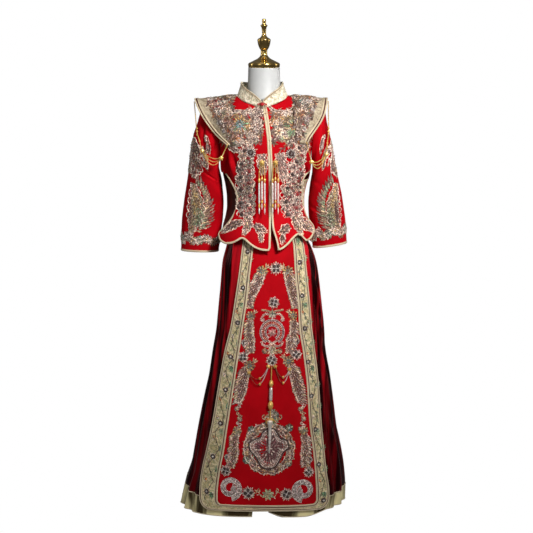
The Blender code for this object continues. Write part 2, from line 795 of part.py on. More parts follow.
def gore_grid(gore, heights, columns):
    """One of the four gores, from the slit or the centre back to the side seam."""
    sign = SIDES[gore.split("_")[1]]
    share = np.linspace(0, 1, columns)[None, :] ** 0.75
    z = heights if heights.ndim == 2 else heights[:, None]
    if gore.startswith("front"):
        start = turn_at(SLIT(gore.split("_")[1], z), z) * np.ones_like(share)
        turn = start + (sign * (math.pi / 2 - SEAM_TURN) - start) * share
        edge = turn_at(PANEL(f"outer_{gore.split('_')[1]}", z), z)
        covered = np.clip((np.abs(turn) - np.abs(edge) + 0.02) / 0.25, 0, 1)
        folds = covered**2 * (3 - 2 * covered)
    else:
        turn = sign * (math.pi / 2 + SEAM_TURN + (math.pi / 2 - 2 * SEAM_TURN) * share)
        folds = 1.0
    return skirt_point(turn, z + 0 * share, folds)


GORES = {"front_left": 18, "front_right": 18, "back_left": 23, "back_right": 23}


def hem_band_top(gore, columns):
    """The band is higher at the sides than beside the panel."""
    share = np.linspace(0, 1, columns)
    if gore.startswith("back"):
        return np.full(columns, SKIRT_HEM + HEM_BAND_SIDE)
    rise = smooth(share, (0, 0.6, 1), (0, 0.1, 1))
    return SKIRT_HEM + HEM_BAND_FRONT + (HEM_BAND_SIDE - HEM_BAND_FRONT) * rise


def build_satin():
    axis = np.array([0.01, 0, 0.4])
    heights = np.array([0.9545, 0.860, 0.700, 0.490, 0.270])
    for gore, columns in GORES.items():
        top = hem_band_top(gore, columns)[None, :]
        rows = np.concatenate([np.repeat(heights[:, None], columns, 1), top + SEAM])
        sheet(f"satin_{gore}", gore_grid(gore, rows, columns), axis, "wine_satin")
        rows = np.concatenate([top, np.full_like(top, SKIRT_HEM)])
        sheet(f"hem_band_{gore}", gore_grid(gore, rows, columns), axis, "gold_satin")


def build_waistband():
    turn = np.linspace(0, 2 * math.pi, FORM_SEGMENTS, endpoint=False)
    z, turn = np.meshgrid([WAIST_HIGH - 0.0005, WAIST_LOW + 0.0003], turn, indexing="ij")
    grid = form_ring(turn, z, -0.0005)
    sheet("skirt_waistband", grid, np.array([0.005, 0, 0.97]), "wine_satin", wall=0.003, wrap=True)


def panel_surface(x, z, lift=0.0):
    """The front panel's points at x and z, just outside the satin."""
    clear = PANEL_LIFT("lift", z)
    left, right = SKIRT("left", z) - clear, SKIRT("right", z) + clear
    share = (x - (left + right) / 2) / ((right - left) / 2)
    y = -(SKIRT("front", z) + clear) * rounded_share(share, SKIRT_SQUARE_FRONT)
    return np.stack([x, y - lift, z + 0 * x], -1)


def panel_x(column, z):
    """The x of a panel column: -1 to 1 across the red cloth, to -2 and 2 over the border."""
    inner = np.where(column < 0, PANEL("inner_left", z), PANEL("inner_right", z))
    outer = np.where(column < 0, PANEL("outer_left", z), PANEL("outer_right", z))
    middle = (PANEL("inner_left", z) + PANEL("inner_right", z)) / 2
    within = middle + (inner - middle) * np.minimum(np.abs(column), 1)
    return within + (outer - inner) * np.clip(np.abs(column) - 1, 0, 1)


def panel_grid_of_skirt(rows=12):
    column = np.array([-2, -1.72, -1.36, -1, -0.66, -0.33, 0, 0.33, 0.66, 1, 1.36, 1.72, 2])[None, :]
    foot_x = panel_x(column, np.full_like(column, PANEL_FOOT))
    outer = np.where(column < 0, PANEL("outer_left", PANEL_FOOT), PANEL("outer_right", PANEL_FOOT))
    past = np.clip((PANEL_CORNER - np.abs(outer - foot_x)) / PANEL_CORNER, 0, 0.96)
    foot = PANEL_FOOT + PANEL_CORNER * (1 - np.sqrt(1 - past**2))
    top = WAIST_LOW - SEAM / 2
    up = np.concatenate([[0, BORDER_FOOT / (top - PANEL_FOOT)], np.linspace(0.08, 1, rows - 2)])[:, None]
    z = foot + (top - foot) * up
    return panel_surface(panel_x(column + 0 * z, z), z)


def build_front_panel():
    grid = panel_grid_of_skirt()
    axis = np.array([0.01, 0, 0.4])
    columns = grid.shape[1]
    sheet("skirt_front_panel", grid, axis, "red_cloth")
    sheet(
        "panel_border",
        grid,
        axis,
        "gold_brocade",
        wall=TRIM,
        lift=CLOTH + LAY,
        keep=lambda i, j: (j < 3) | (j > columns - 5) | (i == 0),
    )


def chest_spot(x, z):
    return np.stack([x, -body_depth(x, z, "front"), z + 0 * x], -1)


def sleeve_spot(side):
    """A point of the sleeve's front by its x and z: each round moves along the sleeve by the error in z."""
    table = SLEEVE[side]

    def spot(x, z):
        along = np.full_like(x, 0.5)
        for _ in range(20):
            outer_x, inner_x = table("outer_x", along), table("inner_x", along)
            outer_z, inner_z = table("outer_z", along), table("inner_z", along)
            share = np.clip((2 * x - outer_x - inner_x) / (outer_x - inner_x), -0.98, 0.98)
            level = (outer_z + inner_z + (outer_z - inner_z) * share) / 2
            along = np.clip(along + (level - z) / SLEEVE_LENGTH, 0.02, 0.99)
        return sleeve_point(side, along, np.arccos(share))

    return spot


def patch(
    name, spot, centre, radius, lobes, deep, inside, hole=0.12, tall=1.0, segments=24, rings=2, lift=0.0005
):
    """A raised round or lobed ornament on a panel, from the panel's points moved out."""
    turn = np.linspace(0, 2 * math.pi, segments, endpoint=False)[None, :]
    rim = radius * (1 + deep * np.cos(lobes * turn))
    reach = np.linspace(hole, 1, rings)[:, None]
    x = centre[0] + rim * reach * np.sin(turn)
    z = centre[1] + tall * rim * reach * np.cos(turn)
    return sheet(name, spot(x, z), inside, "metal_thread", wall=WORK, lift=CLOTH + lift, wrap=True)


def ribbon(name, spot, path, widths, inside, across=3, lift=0.0006):
    """A raised strip along a path on a panel, with its own width at each step."""
    path = np.asarray(path, float)
    along = np.gradient(path, axis=0)
    side = np.stack([-along[:, 1], along[:, 0]], -1)
    side /= np.linalg.norm(side, axis=1, keepdims=True)
    share = np.linspace(-0.5, 0.5, across)[None, :, None]
    flat = path[:, None, :] + side[:, None, :] * np.asarray(widths)[:, None, None] * share
    return sheet(name, spot(flat[..., 0], flat[..., 1]), inside, "metal_thread", wall=WORK, lift=CLOTH + lift)


def vine_path(side, steps=28):
    """A vine down one side of the panel: birds' heads, feathers and scrolls as a waving strip."""
    table = Table(
        "z left right width",
        (0.800, -0.008, 0.076, 0.008),
        (0.760, -0.020, 0.082, 0.020),
        (0.700, -0.026, 0.088, 0.022),
        (0.660, -0.030, 0.092, 0.010),
        (0.600, -0.040, 0.092, 0.014),
        (0.500, -0.052, 0.100, 0.022),
        (0.400, -0.068, 0.112, 0.024),
        (0.345, -0.084, 0.120, 0.014),
        (0.280, -0.096, 0.128, 0.026),
        (0.200, -0.104, 0.134, 0.024),
        (0.165, -0.112, 0.138, 0.010),
    )
    z = np.linspace(0.800, 0.165, steps)
    x = table(side, z) + 0.004 * np.sin(z * 70)
    return np.stack([x, z], -1), table("width", z) * (1 + 0.18 * np.sin(z * 140))


def scroll_path(centre, radius, start, end, steps=12):
    turn = np.radians(np.linspace(start, end, steps))
    return np.stack([centre[0] + radius * np.sin(turn), centre[1] + radius * np.cos(turn)], -1)


def build_panel_work():
    axis = np.array([0.01, 0, 0.4])
    coins = {
        "coin_top": (0.0379, 0.8104, 0.0165),
        "coin_upper": (0.0308, 0.6996, 0.0165),
        "coin_middle": (0.0247, 0.5165, 0.0160),
        "coin_foot_left": (-0.0500, 0.0925, 0.0175),
        "coin_foot_right": (0.0712, 0.0865, 0.0170),
    }
    for name, (x, z, radius) in coins.items():
        patch(name, panel_surface, (x, z), radius, 8, 0.10, axis, segments=16, hole=0.2)
    patch("lotus", panel_surface, (0.0275, 0.6590), 0.024, 5, 0.22, axis, tall=0.55, segments=20)
    patch("ring_medallion", panel_surface, (0.0262, 0.6030), 0.037, 10, 0.06, axis, hole=0.42, segments=20)
    peony = (0.0165, 0.2340)
    patch("peony_wreath", panel_surface, peony, 0.080, 13, 0.040, axis, hole=0.87, segments=26, lift=0.0008)
    patch("peony_medallion", panel_surface, peony, 0.059, 4, 0.10, axis, lift=0.0008)
    for side, centre, start, end in (
        ("left", (-0.1070, 0.1080), 150, 470),
        ("right", (0.1230, 0.1010), 210, -110),
    ):
        path = scroll_path(centre, 0.026, start, end)
        ribbon(f"corner_scroll_{side}", panel_surface, path, np.linspace(0.024, 0.018, len(path)), axis)
    for side in SIDES:
        path, widths = vine_path(side)
        ribbon(f"vine_{side}", panel_surface, path, widths, axis, across=2)


def build_jacket_work():
    axis = np.array([0, 0, 1.1])
    centres = {"left": (-0.047, 1.1745), "right": (0.086, 1.1730)}
    for side in SIDES:
        name = f"chest_rosette_{side}"
        patch(name, chest_spot, centres[side], 0.0145, 8, 0.06, axis, segments=16, hole=0.45)
    flowers = Table(
        "z left right width_left width_right",
        (1.150, -0.062, 0.090, 0.026, 0.028),
        (1.130, -0.064, 0.088, 0.050, 0.050),
        (1.090, -0.064, 0.084, 0.054, 0.056),
        (1.040, -0.052, 0.078, 0.048, 0.060),
        (0.990, -0.050, 0.076, 0.044, 0.058),
        (0.945, -0.066, 0.084, 0.060, 0.064),
        (0.925, -0.070, 0.090, 0.040, 0.050),
    )
    z = np.linspace(1.150, 0.925, 15)
    lifts = {"left": 0.0020, "right": 0.0028}
    for side in SIDES:
        path = np.stack([flowers(side, z), z], -1)
        widths = flowers(f"width_{side}", z) * (1 + 0.14 * np.sin(z * 160))
        ribbon(f"chest_flowers_{side}", chest_spot, path, widths, axis, across=4, lift=lifts[side])
    birds = {"left": (-0.2220, 1.0000, 0.038), "right": (0.2200, 1.0100, 0.036)}
    for side, (x, z, radius) in birds.items():
        inside = np.array([x, 0.05, z])
        name, spot = f"sleeve_bird_{side}", sleeve_spot(side)
        patch(name, spot, (x, z), radius, 6, 0.10, inside, hole=0.25, tall=1.6, rings=3, lift=0.0016)


def hanging(start, end, sag, steps):
    """Points of a string hung between two places, lowest in the middle."""
    share = np.linspace(0, 1, steps)[:, None]
    points = np.asarray(start) + (np.asarray(end) - np.asarray(start)) * share
    points[:, 2] -= 4 * sag * (share * (1 - share))[:, 0]
    return points


def bead_at(name, spot, radius):
    bead = turned(name, ball_profile(radius, 4), "gold_bead", 8, helper=True)
    bead.location = spot
    return bead


BEAD_STRING = Table(
    "share radius",
    (0.00, 0.0016),
    (0.28, 0.0012),
    (0.36, 0.0032),
    (0.44, 0.0013),
    (0.48, 0.0030),
    (0.80, 0.0026),
    (0.86, 0.0034),
    (0.92, 0.0020),
    (1.00, 0.0008),
)


def build_chest_tassels():
    """Three strings of rods and beads from a gold clasp on each front."""
    share = BEAD_STRING.stops
    for side, x in (("left", -0.0065), ("right", 0.0365)):
        clasp = turned(f"clasp_{side}", ball_profile(0.0076, 4, 0.9), "gold_bead", 8, helper=True)
        top = chest_spot(np.array(x), np.array(1.150))
        clasp.location = (x, top[1] - 0.0098, 1.150)
        strings = []
        for number, shift in enumerate((-0.0088, 0.0, 0.0088)):
            heights = 1.150 - (0.150 if number == 1 else 0.165) * share
            lie = chest_spot(np.full_like(heights, x + shift), heights)[:, 1] - 0.0061
            sideways = x + shift * (0.45 + 0.55 * np.minimum(share / 0.18, 1))
            points = np.stack([sideways, np.minimum(lie, top[1] - 0.0060), heights], -1)
            radii = BEAD_STRING("radius", share)
            strings.append(strand(f"string_{side}_{number}", points, radii, "gold_bead", helper=True))
        fused(f"chest_tassel_{side}", [clasp, *strings], "gold_bead")


def build_shoulder_swags():
    """Three hanging strings between two gold beads, one up to the wing's tip and one to its foot."""
    places = {
        "left": ((-0.1370, -0.1050, 1.1620), (-0.1990, -0.0740, 1.1830), (-0.2160, -0.0560, 1.2450)),
        "right": ((0.1520, -0.1000, 1.1500), (0.2000, -0.0700, 1.1720), (0.2080, -0.0560, 1.2450)),
    }
    for side, (low, high, bend) in places.items():
        wing = wing_grid(side)
        foot = wing[-1, -1] + (0, -0.0078, 0.006)
        tip = wing[len(wing) // 2 + 1, -1] + (SIDES[side] * 0.0020, -0.002, 0)
        pieces = [bead_at(f"bead_{side}_{number}", spot, 0.0056) for number, spot in enumerate((low, high))]
        for number, sag in enumerate((0.010, 0.021, 0.032)):
            points = hanging(low, high, sag, 7)
            points[:, 1] -= 0.004 * np.sin(np.linspace(0, math.pi, 7))
            radii = np.full(7, 0.0013)
            spread = (number - 1) * 0.0031
            points[0, 2] += spread
            points[-1, 2] += spread
            pieces.append(strand(f"swag_{side}_{number}", points, radii, "gold_bead", helper=True))
        high, bend = np.array(high), np.array(bend)
        up = [high, (high + bend) / 2, bend, (bend + tip) / 2 + (0, -0.004, 0), tip]
        radii = (0.0014, 0.0020, 0.0034, 0.0016, 0.0012)
        pieces.append(strand(f"riser_{side}", up, radii, "gold_bead", helper=True))
        pieces.append(strand(f"link_{side}", [low, foot], (0.0014, 0.0014), "gold_bead", helper=True))
        fused(f"shoulder_swag_{side}", pieces, "gold_bead")


def build_skirt_beads():
    """The panel's tassel of beads and tubes, and a two-string swag at each side of its coin."""
    tassel = Table(
        "z radius",
        (0.498, 0.0020),
        (0.455, 0.0016),
        (0.449, 0.0065),
        (0.440, 0.0070),
        (0.433, 0.0020),
        (0.425, 0.0058),
        (0.396, 0.0058),
        (0.388, 0.0024),
        (0.380, 0.0085),
        (0.370, 0.0085),
        (0.362, 0.0022),
        (0.335, 0.0022),
        (0.322, 0.0100),
        (0.300, 0.0060),
        (0.240, 0.0024),
        (0.222, 0.0010),
    )
    z = tassel.stops[::-1]
    radii = tassel("radius", z)
    x = np.interp(z, (0.222, 0.498), (0.0165, 0.0245))
    points = panel_surface(x, z, 0.0048)
    points[:, 1] -= radii
    strand("skirt_tassel", points, radii, "gold_bead", roundness=1)
    for side, low, high, over in (
        ("left", (0.0140, 0.4990), (-0.0480, 0.4800), 0.0026),
        ("right", (0.0360, 0.4990), (0.0820, 0.4900), 0.0),
    ):
        pieces = []
        for number, (x, z) in enumerate((low, high)):
            spot = panel_surface(np.array(x), np.array(z), 0.0070 + number * over)
            pieces.append(bead_at(f"skirt_bead_{side}_{number}", spot, 0.0050))
        for number, sag in enumerate((0.030, 0.048)):
            path = hanging((low[0], 0, low[1]), (high[0], 0, high[1]), sag, 9)
            path[[0, -1], 2] += (number - 0.5) * 0.003
            points = panel_surface(path[:, 0], path[:, 2], 0.0068)
            points[:, 1] -= over * np.linspace(0, 1, 9) ** 0.5
            radii = np.full(9, 0.0014)
            radii[3 if side == "left" else 6] = 0.0032
            pieces.append(strand(f"skirt_swag_{side}_{number}", points, radii, "gold_bead", helper=True))
        fused(f"skirt_swag_{side}", pieces, "gold_bead")


def form_ring(turn, z, inset=0.0):
    """The form's section by angle from the front and height, set in by inset."""
    left, right = FORM("left", z) + inset, FORM("right", z) - inset
    middle, half = (left + right) / 2, (right - left) / 2
    depth = np.where(np.cos(turn) >= 0, FORM("front", z), FORM("back", z)) - inset
    x = middle + half * np.sign(np.sin(turn)) * np.abs(np.sin(turn)) ** (2 / BODY_SQUARE)
    y = -depth * np.sign(np.cos(turn)) * np.abs(np.cos(turn)) ** (2 / BODY_SQUARE)
    return np.stack([x, y, z + 0 * turn], -1)


def shoulder_ring(turn, z):
    """The form's shoulders under the jacket's own surface, running into the round neck."""
    reach = np.interp(-z - RIDGE_CLEAR, -SHOULDER.columns["z"], SHOULDER.stops)
    tip = min(reach, 0.166)
    x = tip * np.sign(np.sin(turn)) * np.abs(np.sin(turn)) ** (2 / BODY_SQUARE)
    facing_front = np.cos(turn) >= 0
    above = z + FORM_CLEAR
    inner = np.where(facing_front, body_depth(x, above, "front"), body_depth(x, above, "back"))
    depth = np.minimum(inner - FORM_CLEAR, 0.12 * np.abs(np.cos(turn)) ** (2 / BODY_SQUARE))
    ridge = RIDGE_SHARE * body_depth(x, z + RIDGE_CLEAR, "back")
    depth = np.maximum(depth, np.where(np.abs(np.cos(turn)) > 1e-6, ridge, 0))
    neck = NECK_FLAT * max(NECK.values())
    depth = np.maximum(depth, np.sqrt(np.maximum(neck**2 - x**2, 0)))
    return np.stack([x, -np.sign(np.cos(turn)) * depth, z + 0 * turn], -1)


def build_form():
    turn = np.linspace(0, 2 * math.pi, FORM_SEGMENTS, endpoint=False)
    rings = [form_ring(turn, z + 0 * turn) for z in FORM.stops]
    rings += [shoulder_ring(turn, z) for z in (1.285, 1.308, 1.326, 1.336, 1.341, 1.3450)]
    for z, radius in NECK.items():
        depth = radius * np.where(np.cos(turn) >= 0, 1, NECK_FLAT)
        rings.append(np.stack([radius * np.sin(turn), -depth * np.cos(turn), z + 0 * turn], -1))
    grid = np.array(rings)
    rows, columns = grid.shape[:2]
    shape = bmesh.new()
    made = [[shape.verts.new(point) for point in ring] for ring in grid]
    for low, high in zip(made, made[1:]):
        for k in range(columns):
            n = (k + 1) % columns
            shape.faces.new((low[k], low[n], high[n], high[k]))
    shape.faces.new(made[0][::-1])
    shape.faces.new(made[-1])
    bmesh.ops.recalc_face_normals(shape, faces=shape.faces)
    mesh = bpy.data.meshes.new("form_torso")
    shape.to_mesh(mesh)
    shape.free()
    mesh.shade_smooth()
    place(mesh, "form_torso", "form_white")
    turned("form_neck_cap", CAP, "gold_metal", 16)
    top = FORM_FOOT - SEAM / 2
    pole = [(0, top), (POLE_RADIUS, top), (POLE_RADIUS, POLE_FOOT), (0, POLE_FOOT)]
    turned("form_pole", pole, "gold_metal", 12)
    turned("form_base", BASE, "gold_metal", 24)


def main():
    start_clean()
    build_form()
    build_jacket_body()
    build_linings()
    build_sleeves()
    build_collar()
    build_wings()
    build_waistband()
    build_satin()
    build_front_panel()
    build_panel_work()
    build_jacket_work()
    build_chest_tassels()
    build_shoulder_swags()
    build_skirt_beads()


if __name__ == "__main__":
    main()
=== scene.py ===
"""Looks of the Chinese wedding dress on its dress form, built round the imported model.

Metres, +Z up, the front towards -Y. Left and right are as seen from the front.
The jacket and the skirt are worked out from the same named sizes and tables as the solids.
Each cloth surface has its own flat measure, u to the viewer's right and v upwards, so raised work,
creases and weave are laid out as on a cutting table and then carried onto the cloth.
"""

import json
import math

import bmesh
import bpy
import numpy as np
from mathutils import Vector
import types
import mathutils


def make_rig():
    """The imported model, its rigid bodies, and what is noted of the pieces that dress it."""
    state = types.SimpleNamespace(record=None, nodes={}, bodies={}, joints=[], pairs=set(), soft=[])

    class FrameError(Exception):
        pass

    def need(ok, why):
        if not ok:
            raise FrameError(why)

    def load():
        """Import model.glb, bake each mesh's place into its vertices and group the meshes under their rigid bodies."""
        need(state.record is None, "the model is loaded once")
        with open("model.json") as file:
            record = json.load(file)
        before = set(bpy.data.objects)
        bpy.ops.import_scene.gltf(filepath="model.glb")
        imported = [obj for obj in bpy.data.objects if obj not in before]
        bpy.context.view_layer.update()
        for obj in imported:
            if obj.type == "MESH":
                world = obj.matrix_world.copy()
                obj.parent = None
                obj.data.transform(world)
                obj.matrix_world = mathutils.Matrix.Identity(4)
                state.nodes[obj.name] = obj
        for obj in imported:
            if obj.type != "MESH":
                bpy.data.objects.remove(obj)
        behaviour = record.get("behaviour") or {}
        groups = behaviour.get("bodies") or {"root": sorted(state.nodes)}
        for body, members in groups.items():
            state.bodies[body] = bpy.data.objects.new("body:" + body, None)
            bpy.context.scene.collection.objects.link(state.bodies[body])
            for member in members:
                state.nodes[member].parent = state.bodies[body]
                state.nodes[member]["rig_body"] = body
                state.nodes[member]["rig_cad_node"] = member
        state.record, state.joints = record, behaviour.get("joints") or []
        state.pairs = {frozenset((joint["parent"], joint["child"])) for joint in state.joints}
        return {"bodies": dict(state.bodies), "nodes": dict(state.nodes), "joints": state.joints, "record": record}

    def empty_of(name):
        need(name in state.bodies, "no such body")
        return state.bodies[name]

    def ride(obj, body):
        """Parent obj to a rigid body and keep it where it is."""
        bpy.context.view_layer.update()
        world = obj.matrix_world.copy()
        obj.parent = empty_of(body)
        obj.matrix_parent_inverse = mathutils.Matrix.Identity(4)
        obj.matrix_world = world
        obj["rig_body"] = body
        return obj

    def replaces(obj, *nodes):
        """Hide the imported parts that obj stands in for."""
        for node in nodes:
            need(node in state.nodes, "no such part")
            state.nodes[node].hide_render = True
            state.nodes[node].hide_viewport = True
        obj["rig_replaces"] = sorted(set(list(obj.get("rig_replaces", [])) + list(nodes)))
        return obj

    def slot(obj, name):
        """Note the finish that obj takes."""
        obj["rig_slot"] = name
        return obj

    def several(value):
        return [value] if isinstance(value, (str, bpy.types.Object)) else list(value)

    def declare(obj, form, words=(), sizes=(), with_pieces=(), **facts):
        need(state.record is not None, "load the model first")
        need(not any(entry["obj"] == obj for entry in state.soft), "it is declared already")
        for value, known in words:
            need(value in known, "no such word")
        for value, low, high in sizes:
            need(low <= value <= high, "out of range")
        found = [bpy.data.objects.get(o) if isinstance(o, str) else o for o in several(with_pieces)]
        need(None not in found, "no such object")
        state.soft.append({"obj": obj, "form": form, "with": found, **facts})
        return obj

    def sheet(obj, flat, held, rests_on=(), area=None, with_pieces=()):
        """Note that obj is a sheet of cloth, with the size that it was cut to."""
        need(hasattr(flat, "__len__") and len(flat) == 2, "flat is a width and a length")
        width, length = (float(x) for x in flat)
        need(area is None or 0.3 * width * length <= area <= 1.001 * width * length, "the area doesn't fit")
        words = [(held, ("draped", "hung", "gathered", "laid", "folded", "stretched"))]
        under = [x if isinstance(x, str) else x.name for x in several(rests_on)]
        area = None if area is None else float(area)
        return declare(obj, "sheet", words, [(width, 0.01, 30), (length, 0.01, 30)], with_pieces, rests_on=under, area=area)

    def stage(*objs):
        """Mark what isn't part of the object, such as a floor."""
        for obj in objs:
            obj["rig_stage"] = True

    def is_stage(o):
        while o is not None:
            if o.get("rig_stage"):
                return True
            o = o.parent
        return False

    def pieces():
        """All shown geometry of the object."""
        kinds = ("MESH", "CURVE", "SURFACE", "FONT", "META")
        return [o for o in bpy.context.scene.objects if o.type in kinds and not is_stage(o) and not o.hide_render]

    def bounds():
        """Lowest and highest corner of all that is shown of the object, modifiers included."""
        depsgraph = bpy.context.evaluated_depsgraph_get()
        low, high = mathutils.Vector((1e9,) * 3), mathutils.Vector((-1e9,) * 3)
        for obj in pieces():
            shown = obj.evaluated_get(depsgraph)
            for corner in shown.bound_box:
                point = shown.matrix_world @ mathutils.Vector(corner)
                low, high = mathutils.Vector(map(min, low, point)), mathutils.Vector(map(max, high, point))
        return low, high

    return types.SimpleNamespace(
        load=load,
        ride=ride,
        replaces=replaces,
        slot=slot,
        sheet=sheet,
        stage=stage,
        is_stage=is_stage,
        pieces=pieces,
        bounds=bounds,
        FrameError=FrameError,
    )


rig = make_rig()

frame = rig.load()
cad_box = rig.bounds()

# The camera stands where the photographer's stood; PX is about one of its pixels, on the dress
CAMERA = (0.008, -5.1, 1.512)
PITCH = math.radians(7.97)
FOCAL_PIXELS = 1563.0
FRAME_PIXELS = 533
PX = 0.00325
FIRST_DEPTH = -0.12
NORMAL_STEP = 6e-4

# Text tables are in millimetres
MILLI = 1000.0
ALONG = (1, *[MILLI] * 6)

# Walls, and the gaps at seams and under layers
CLOTH = 0.0015
TRIM = 0.0012
SEAM = 0.0006
ARM_SEAM = 0.0012
UNDERARM = 0.003
LAY = 0.0004

# Sections are superellipses: 2 is an ellipse, more is squarer
BODY_SQUARE = 2.4
SKIRT_SQUARE_FRONT = 3.0
SKIRT_SQUARE_BACK = 2.3

# Shoulders and neck
SHOULDER_ROUND = 0.07
NECKLINE_HALF = 0.0795
NECKLINE_X = -0.005
NECKLINE_FRONT = 1.3205
NECKLINE_SIDE = 1.3575
NECKLINE_BACK = 1.342
ARMHOLE_TOP = 1.328
ARMHOLE_FOOT = 1.15
NECK_TOP = 1.4475

# Bindings and bands
BINDING = 0.0065
CUFF_BINDING = 0.007
WING_BAND = 0.014
WING_WALL = 0.002
WING_ROUND = 0.05
WING_DEPTH = 0.0665
WING_LIFT = 0.0026
HEM_BAND_SIDE = 0.074
HEM_BAND_FRONT = 0.06

# Rows of the jacket's panels: down to the bust line, which is the armhole's foot, then to the hem
ROWS_ABOVE = 30
ROWS_BELOW = 56
LENGTH_BELOW = 0.26
SLEEVE_LENGTH = 0.49

# Skirt
WAIST_LOW, WAIST_HIGH = 0.955, 0.985
SKIRT_HEM = 0.012
PANEL_FOOT = 0.036
PANEL_CORNER = 0.034
BORDER_FOOT = 0.02
SEAM_TURN = -0.0002
FOLDS = 22
FOLD_DEEP = 0.02

# Dress form
POLE_RADIUS = 0.0125
POLE_FOOT = 0.0403
FORM_FOOT = 0.8
FORM_CLEAR = 0.008
RIDGE_CLEAR = 0.0008
RIDGE_SHARE = 0.25
NECK_FLAT = 0.92

SIDES = {"left": -1, "right": 1}


def smooth(where, stops, values):
    """A monotone cubic through the stops, level past both ends."""
    stops, values = np.asarray(stops, float), np.asarray(values, float)
    where = np.clip(where, stops[0], stops[-1])
    gap = np.diff(stops)
    slope = np.diff(values) / gap
    product = slope[:-1] * slope[1:]
    total = slope[:-1] + slope[1:]
    inner = np.where(product > 0, 2 * product / np.where(total == 0, 1, total), 0)
    tangent = np.concatenate([slope[:1], inner, slope[-1:]])
    i = np.clip(np.searchsorted(stops, where, side="right") - 1, 0, len(gap) - 1)
    u = (where - stops[i]) / gap[i]
    start = values[i] * (1 + 2 * u) + gap[i] * tangent[i] * u
    end = values[i + 1] * (3 - 2 * u) + gap[i] * tangent[i + 1] * (u - 1)
    return start * (1 - u) ** 2 + end * u**2


def rows_of(text, width, scale=MILLI):
    """Rows of numbers from text, each divided by the scale."""
    return np.array(text.replace(",", " ").split(), float).reshape(-1, width) / scale


class Table:
    """Named columns over the first one, each read as a smooth curve."""

    def __init__(self, columns, text, scale=MILLI):
        names = columns.split()
        rows = rows_of(text, len(names), scale)
        self.columns = dict(zip(names, rows[rows[:, 0].argsort()].T))
        self.stops = self.columns[names[0]]

    def __call__(self, column, where):
        return smooth(where, self.stops, self.columns[column])


# The jacket's front, by height: where its section ends at each side, and its depth
FRONT = Table("z left right depth", """
860 -165 180 137, 900 -160 177 130, 935 -142 168 118, 965 -128 148 107, 1000 -121 134 100,
1030 -121 132 100, 1070 -126 138 107, 1100 -132 147.5 115, 1150 -140 152 124, 1200 -152 160 126,
1250 -165 168 117, 1300 -176 175 95, 1320 -179 177 84, 1360 -180 178 72""")
BACK = Table("z left right depth", """
860 -142 158 134, 900 -138 152.5 128, 935 -133.5 148 116, 965 -125.5 139 106, 1000 -120 130.5 97,
1030 -120.5 130 95, 1070 -125.5 137 100, 1100 -132 147.5 106, 1150 -140 152 112, 1200 -152 160 115,
1250 -165 168 113, 1300 -176 175 104, 1320 -179 177 100, 1360 -180 178 96""")
BODY = {"front": (FRONT, -1), "back": (BACK, 1)}

# The outer edge of each front: the hollowed side slit, then the armhole
SIDE_EDGE = Table("z left right", """
880 -148.5 165, 906 -148.3 165, 914 -146.6 164.8, 935 -129 161.2, 963 -107.8 142, 991 -93.5 130,
1019 -86.7 124.5, 1047 -89.8 123.2, 1072 -100.4 123.2, 1097 -115 128.5, 1107 -123 138, 1120 -140 153,
1150 -140.5 152.5, 1157 -138.5 150.5, 1170 -138.5 150.5, 1200 -141 152.5, 1250 -149 157, 1290 -159 163,
1328 -170 169""")
CENTRE_EDGE = Table("z left right", """
862 20.5 45.5, 900 21.5 38.5, 940 22.2 26.2, 1000 22 22.6, 1060 21.8 22.4, 1210 17 17.6, 1270 10 10.6,
1335 -0.3 0.3""")
# The scalloped hem, by the share of the way from the centre edge to the side edge
HEM = {
    "left": Table("share z", """
0 866.3, 0.16 868, 0.28 874.4, 0.39 885.7, 0.48 898.7, 0.54 905.1, 0.61 897.5, 0.71 889, 0.84 884.1,
0.95 891.5, 1 906.4""", (1, MILLI)),
    "right": Table("share z", """
0 866.3, 0.13 872.8, 0.27 884, 0.4 898.7, 0.52 911.6, 0.6 916.4, 0.68 905.1, 0.77 893.8, 0.9 901.9,
1 927""", (1, MILLI)),
}
SHOULDER = Table("reach z", "84 1357.5, 127 1351, 150 1343, 170 1328")
# A sleeve's outer and inner lines, with its half depth and the middle's place in Y
SLEEVE = {
    "left": Table("along outer_x outer_z inner_x inner_z depth y", """
0 -171 1327.5 -141.6 1149 58 0, 0.06 -188 1322 -148 1142 60 0, 0.12 -204 1305 -148.5 1128 60 0,
0.2 -216.5 1266 -145 1110 58 1, 0.28 -228.5 1232 -142 1092 56 3, 0.38 -236.5 1190 -138.5 1066 55 6,
0.5 -242.5 1140 -135.5 1040 54 11, 0.62 -251 1080 -134.5 1008 52 18, 0.75 -263.5 1003 -136.5 965 50 26,
0.88 -271.5 930 -143 912 47 34, 1 -273.5 847.5 -152.5 844.5 45 38""", ALONG),
    "right": Table("along outer_x outer_z inner_x inner_z depth y", """
0 170 1327.5 153.2 1149 58 0, 0.06 186 1322 157.5 1142 60 0, 0.12 197 1305 159 1128 60 0,
0.2 203.5 1270 158.5 1110 58 1, 0.28 212 1238 155.5 1092 56 3, 0.38 220.5 1195 152 1070 55 6,
0.5 229 1140 149 1045 54 11, 0.62 243 1082 146.5 1010 52 18, 0.75 257.5 1012 148 972 50 26,
0.88 266.5 955 152.5 930 47 34, 1 272.5 872 163 856.5 45 38""", ALONG),
}
# The outer edge of each shoulder wing below its ridge, and the ridge itself
WING = {
    "left": Table("drop inner outer", """
0 104 225.7, 32 104 211.5, 71 102 189.3, 106 99 163.8, 135 96 138.2, 154 94 115"""),
    "right": Table("drop inner outer", """
0 104 206, 38 105 198.7, 70 107 186.1, 99 110 166.9, 128 113 147.8, 148 115 136"""),
}
RIDGE = Table("reach z", "100 1357.8, 127 1356.7, 175 1350.2, 226 1346")

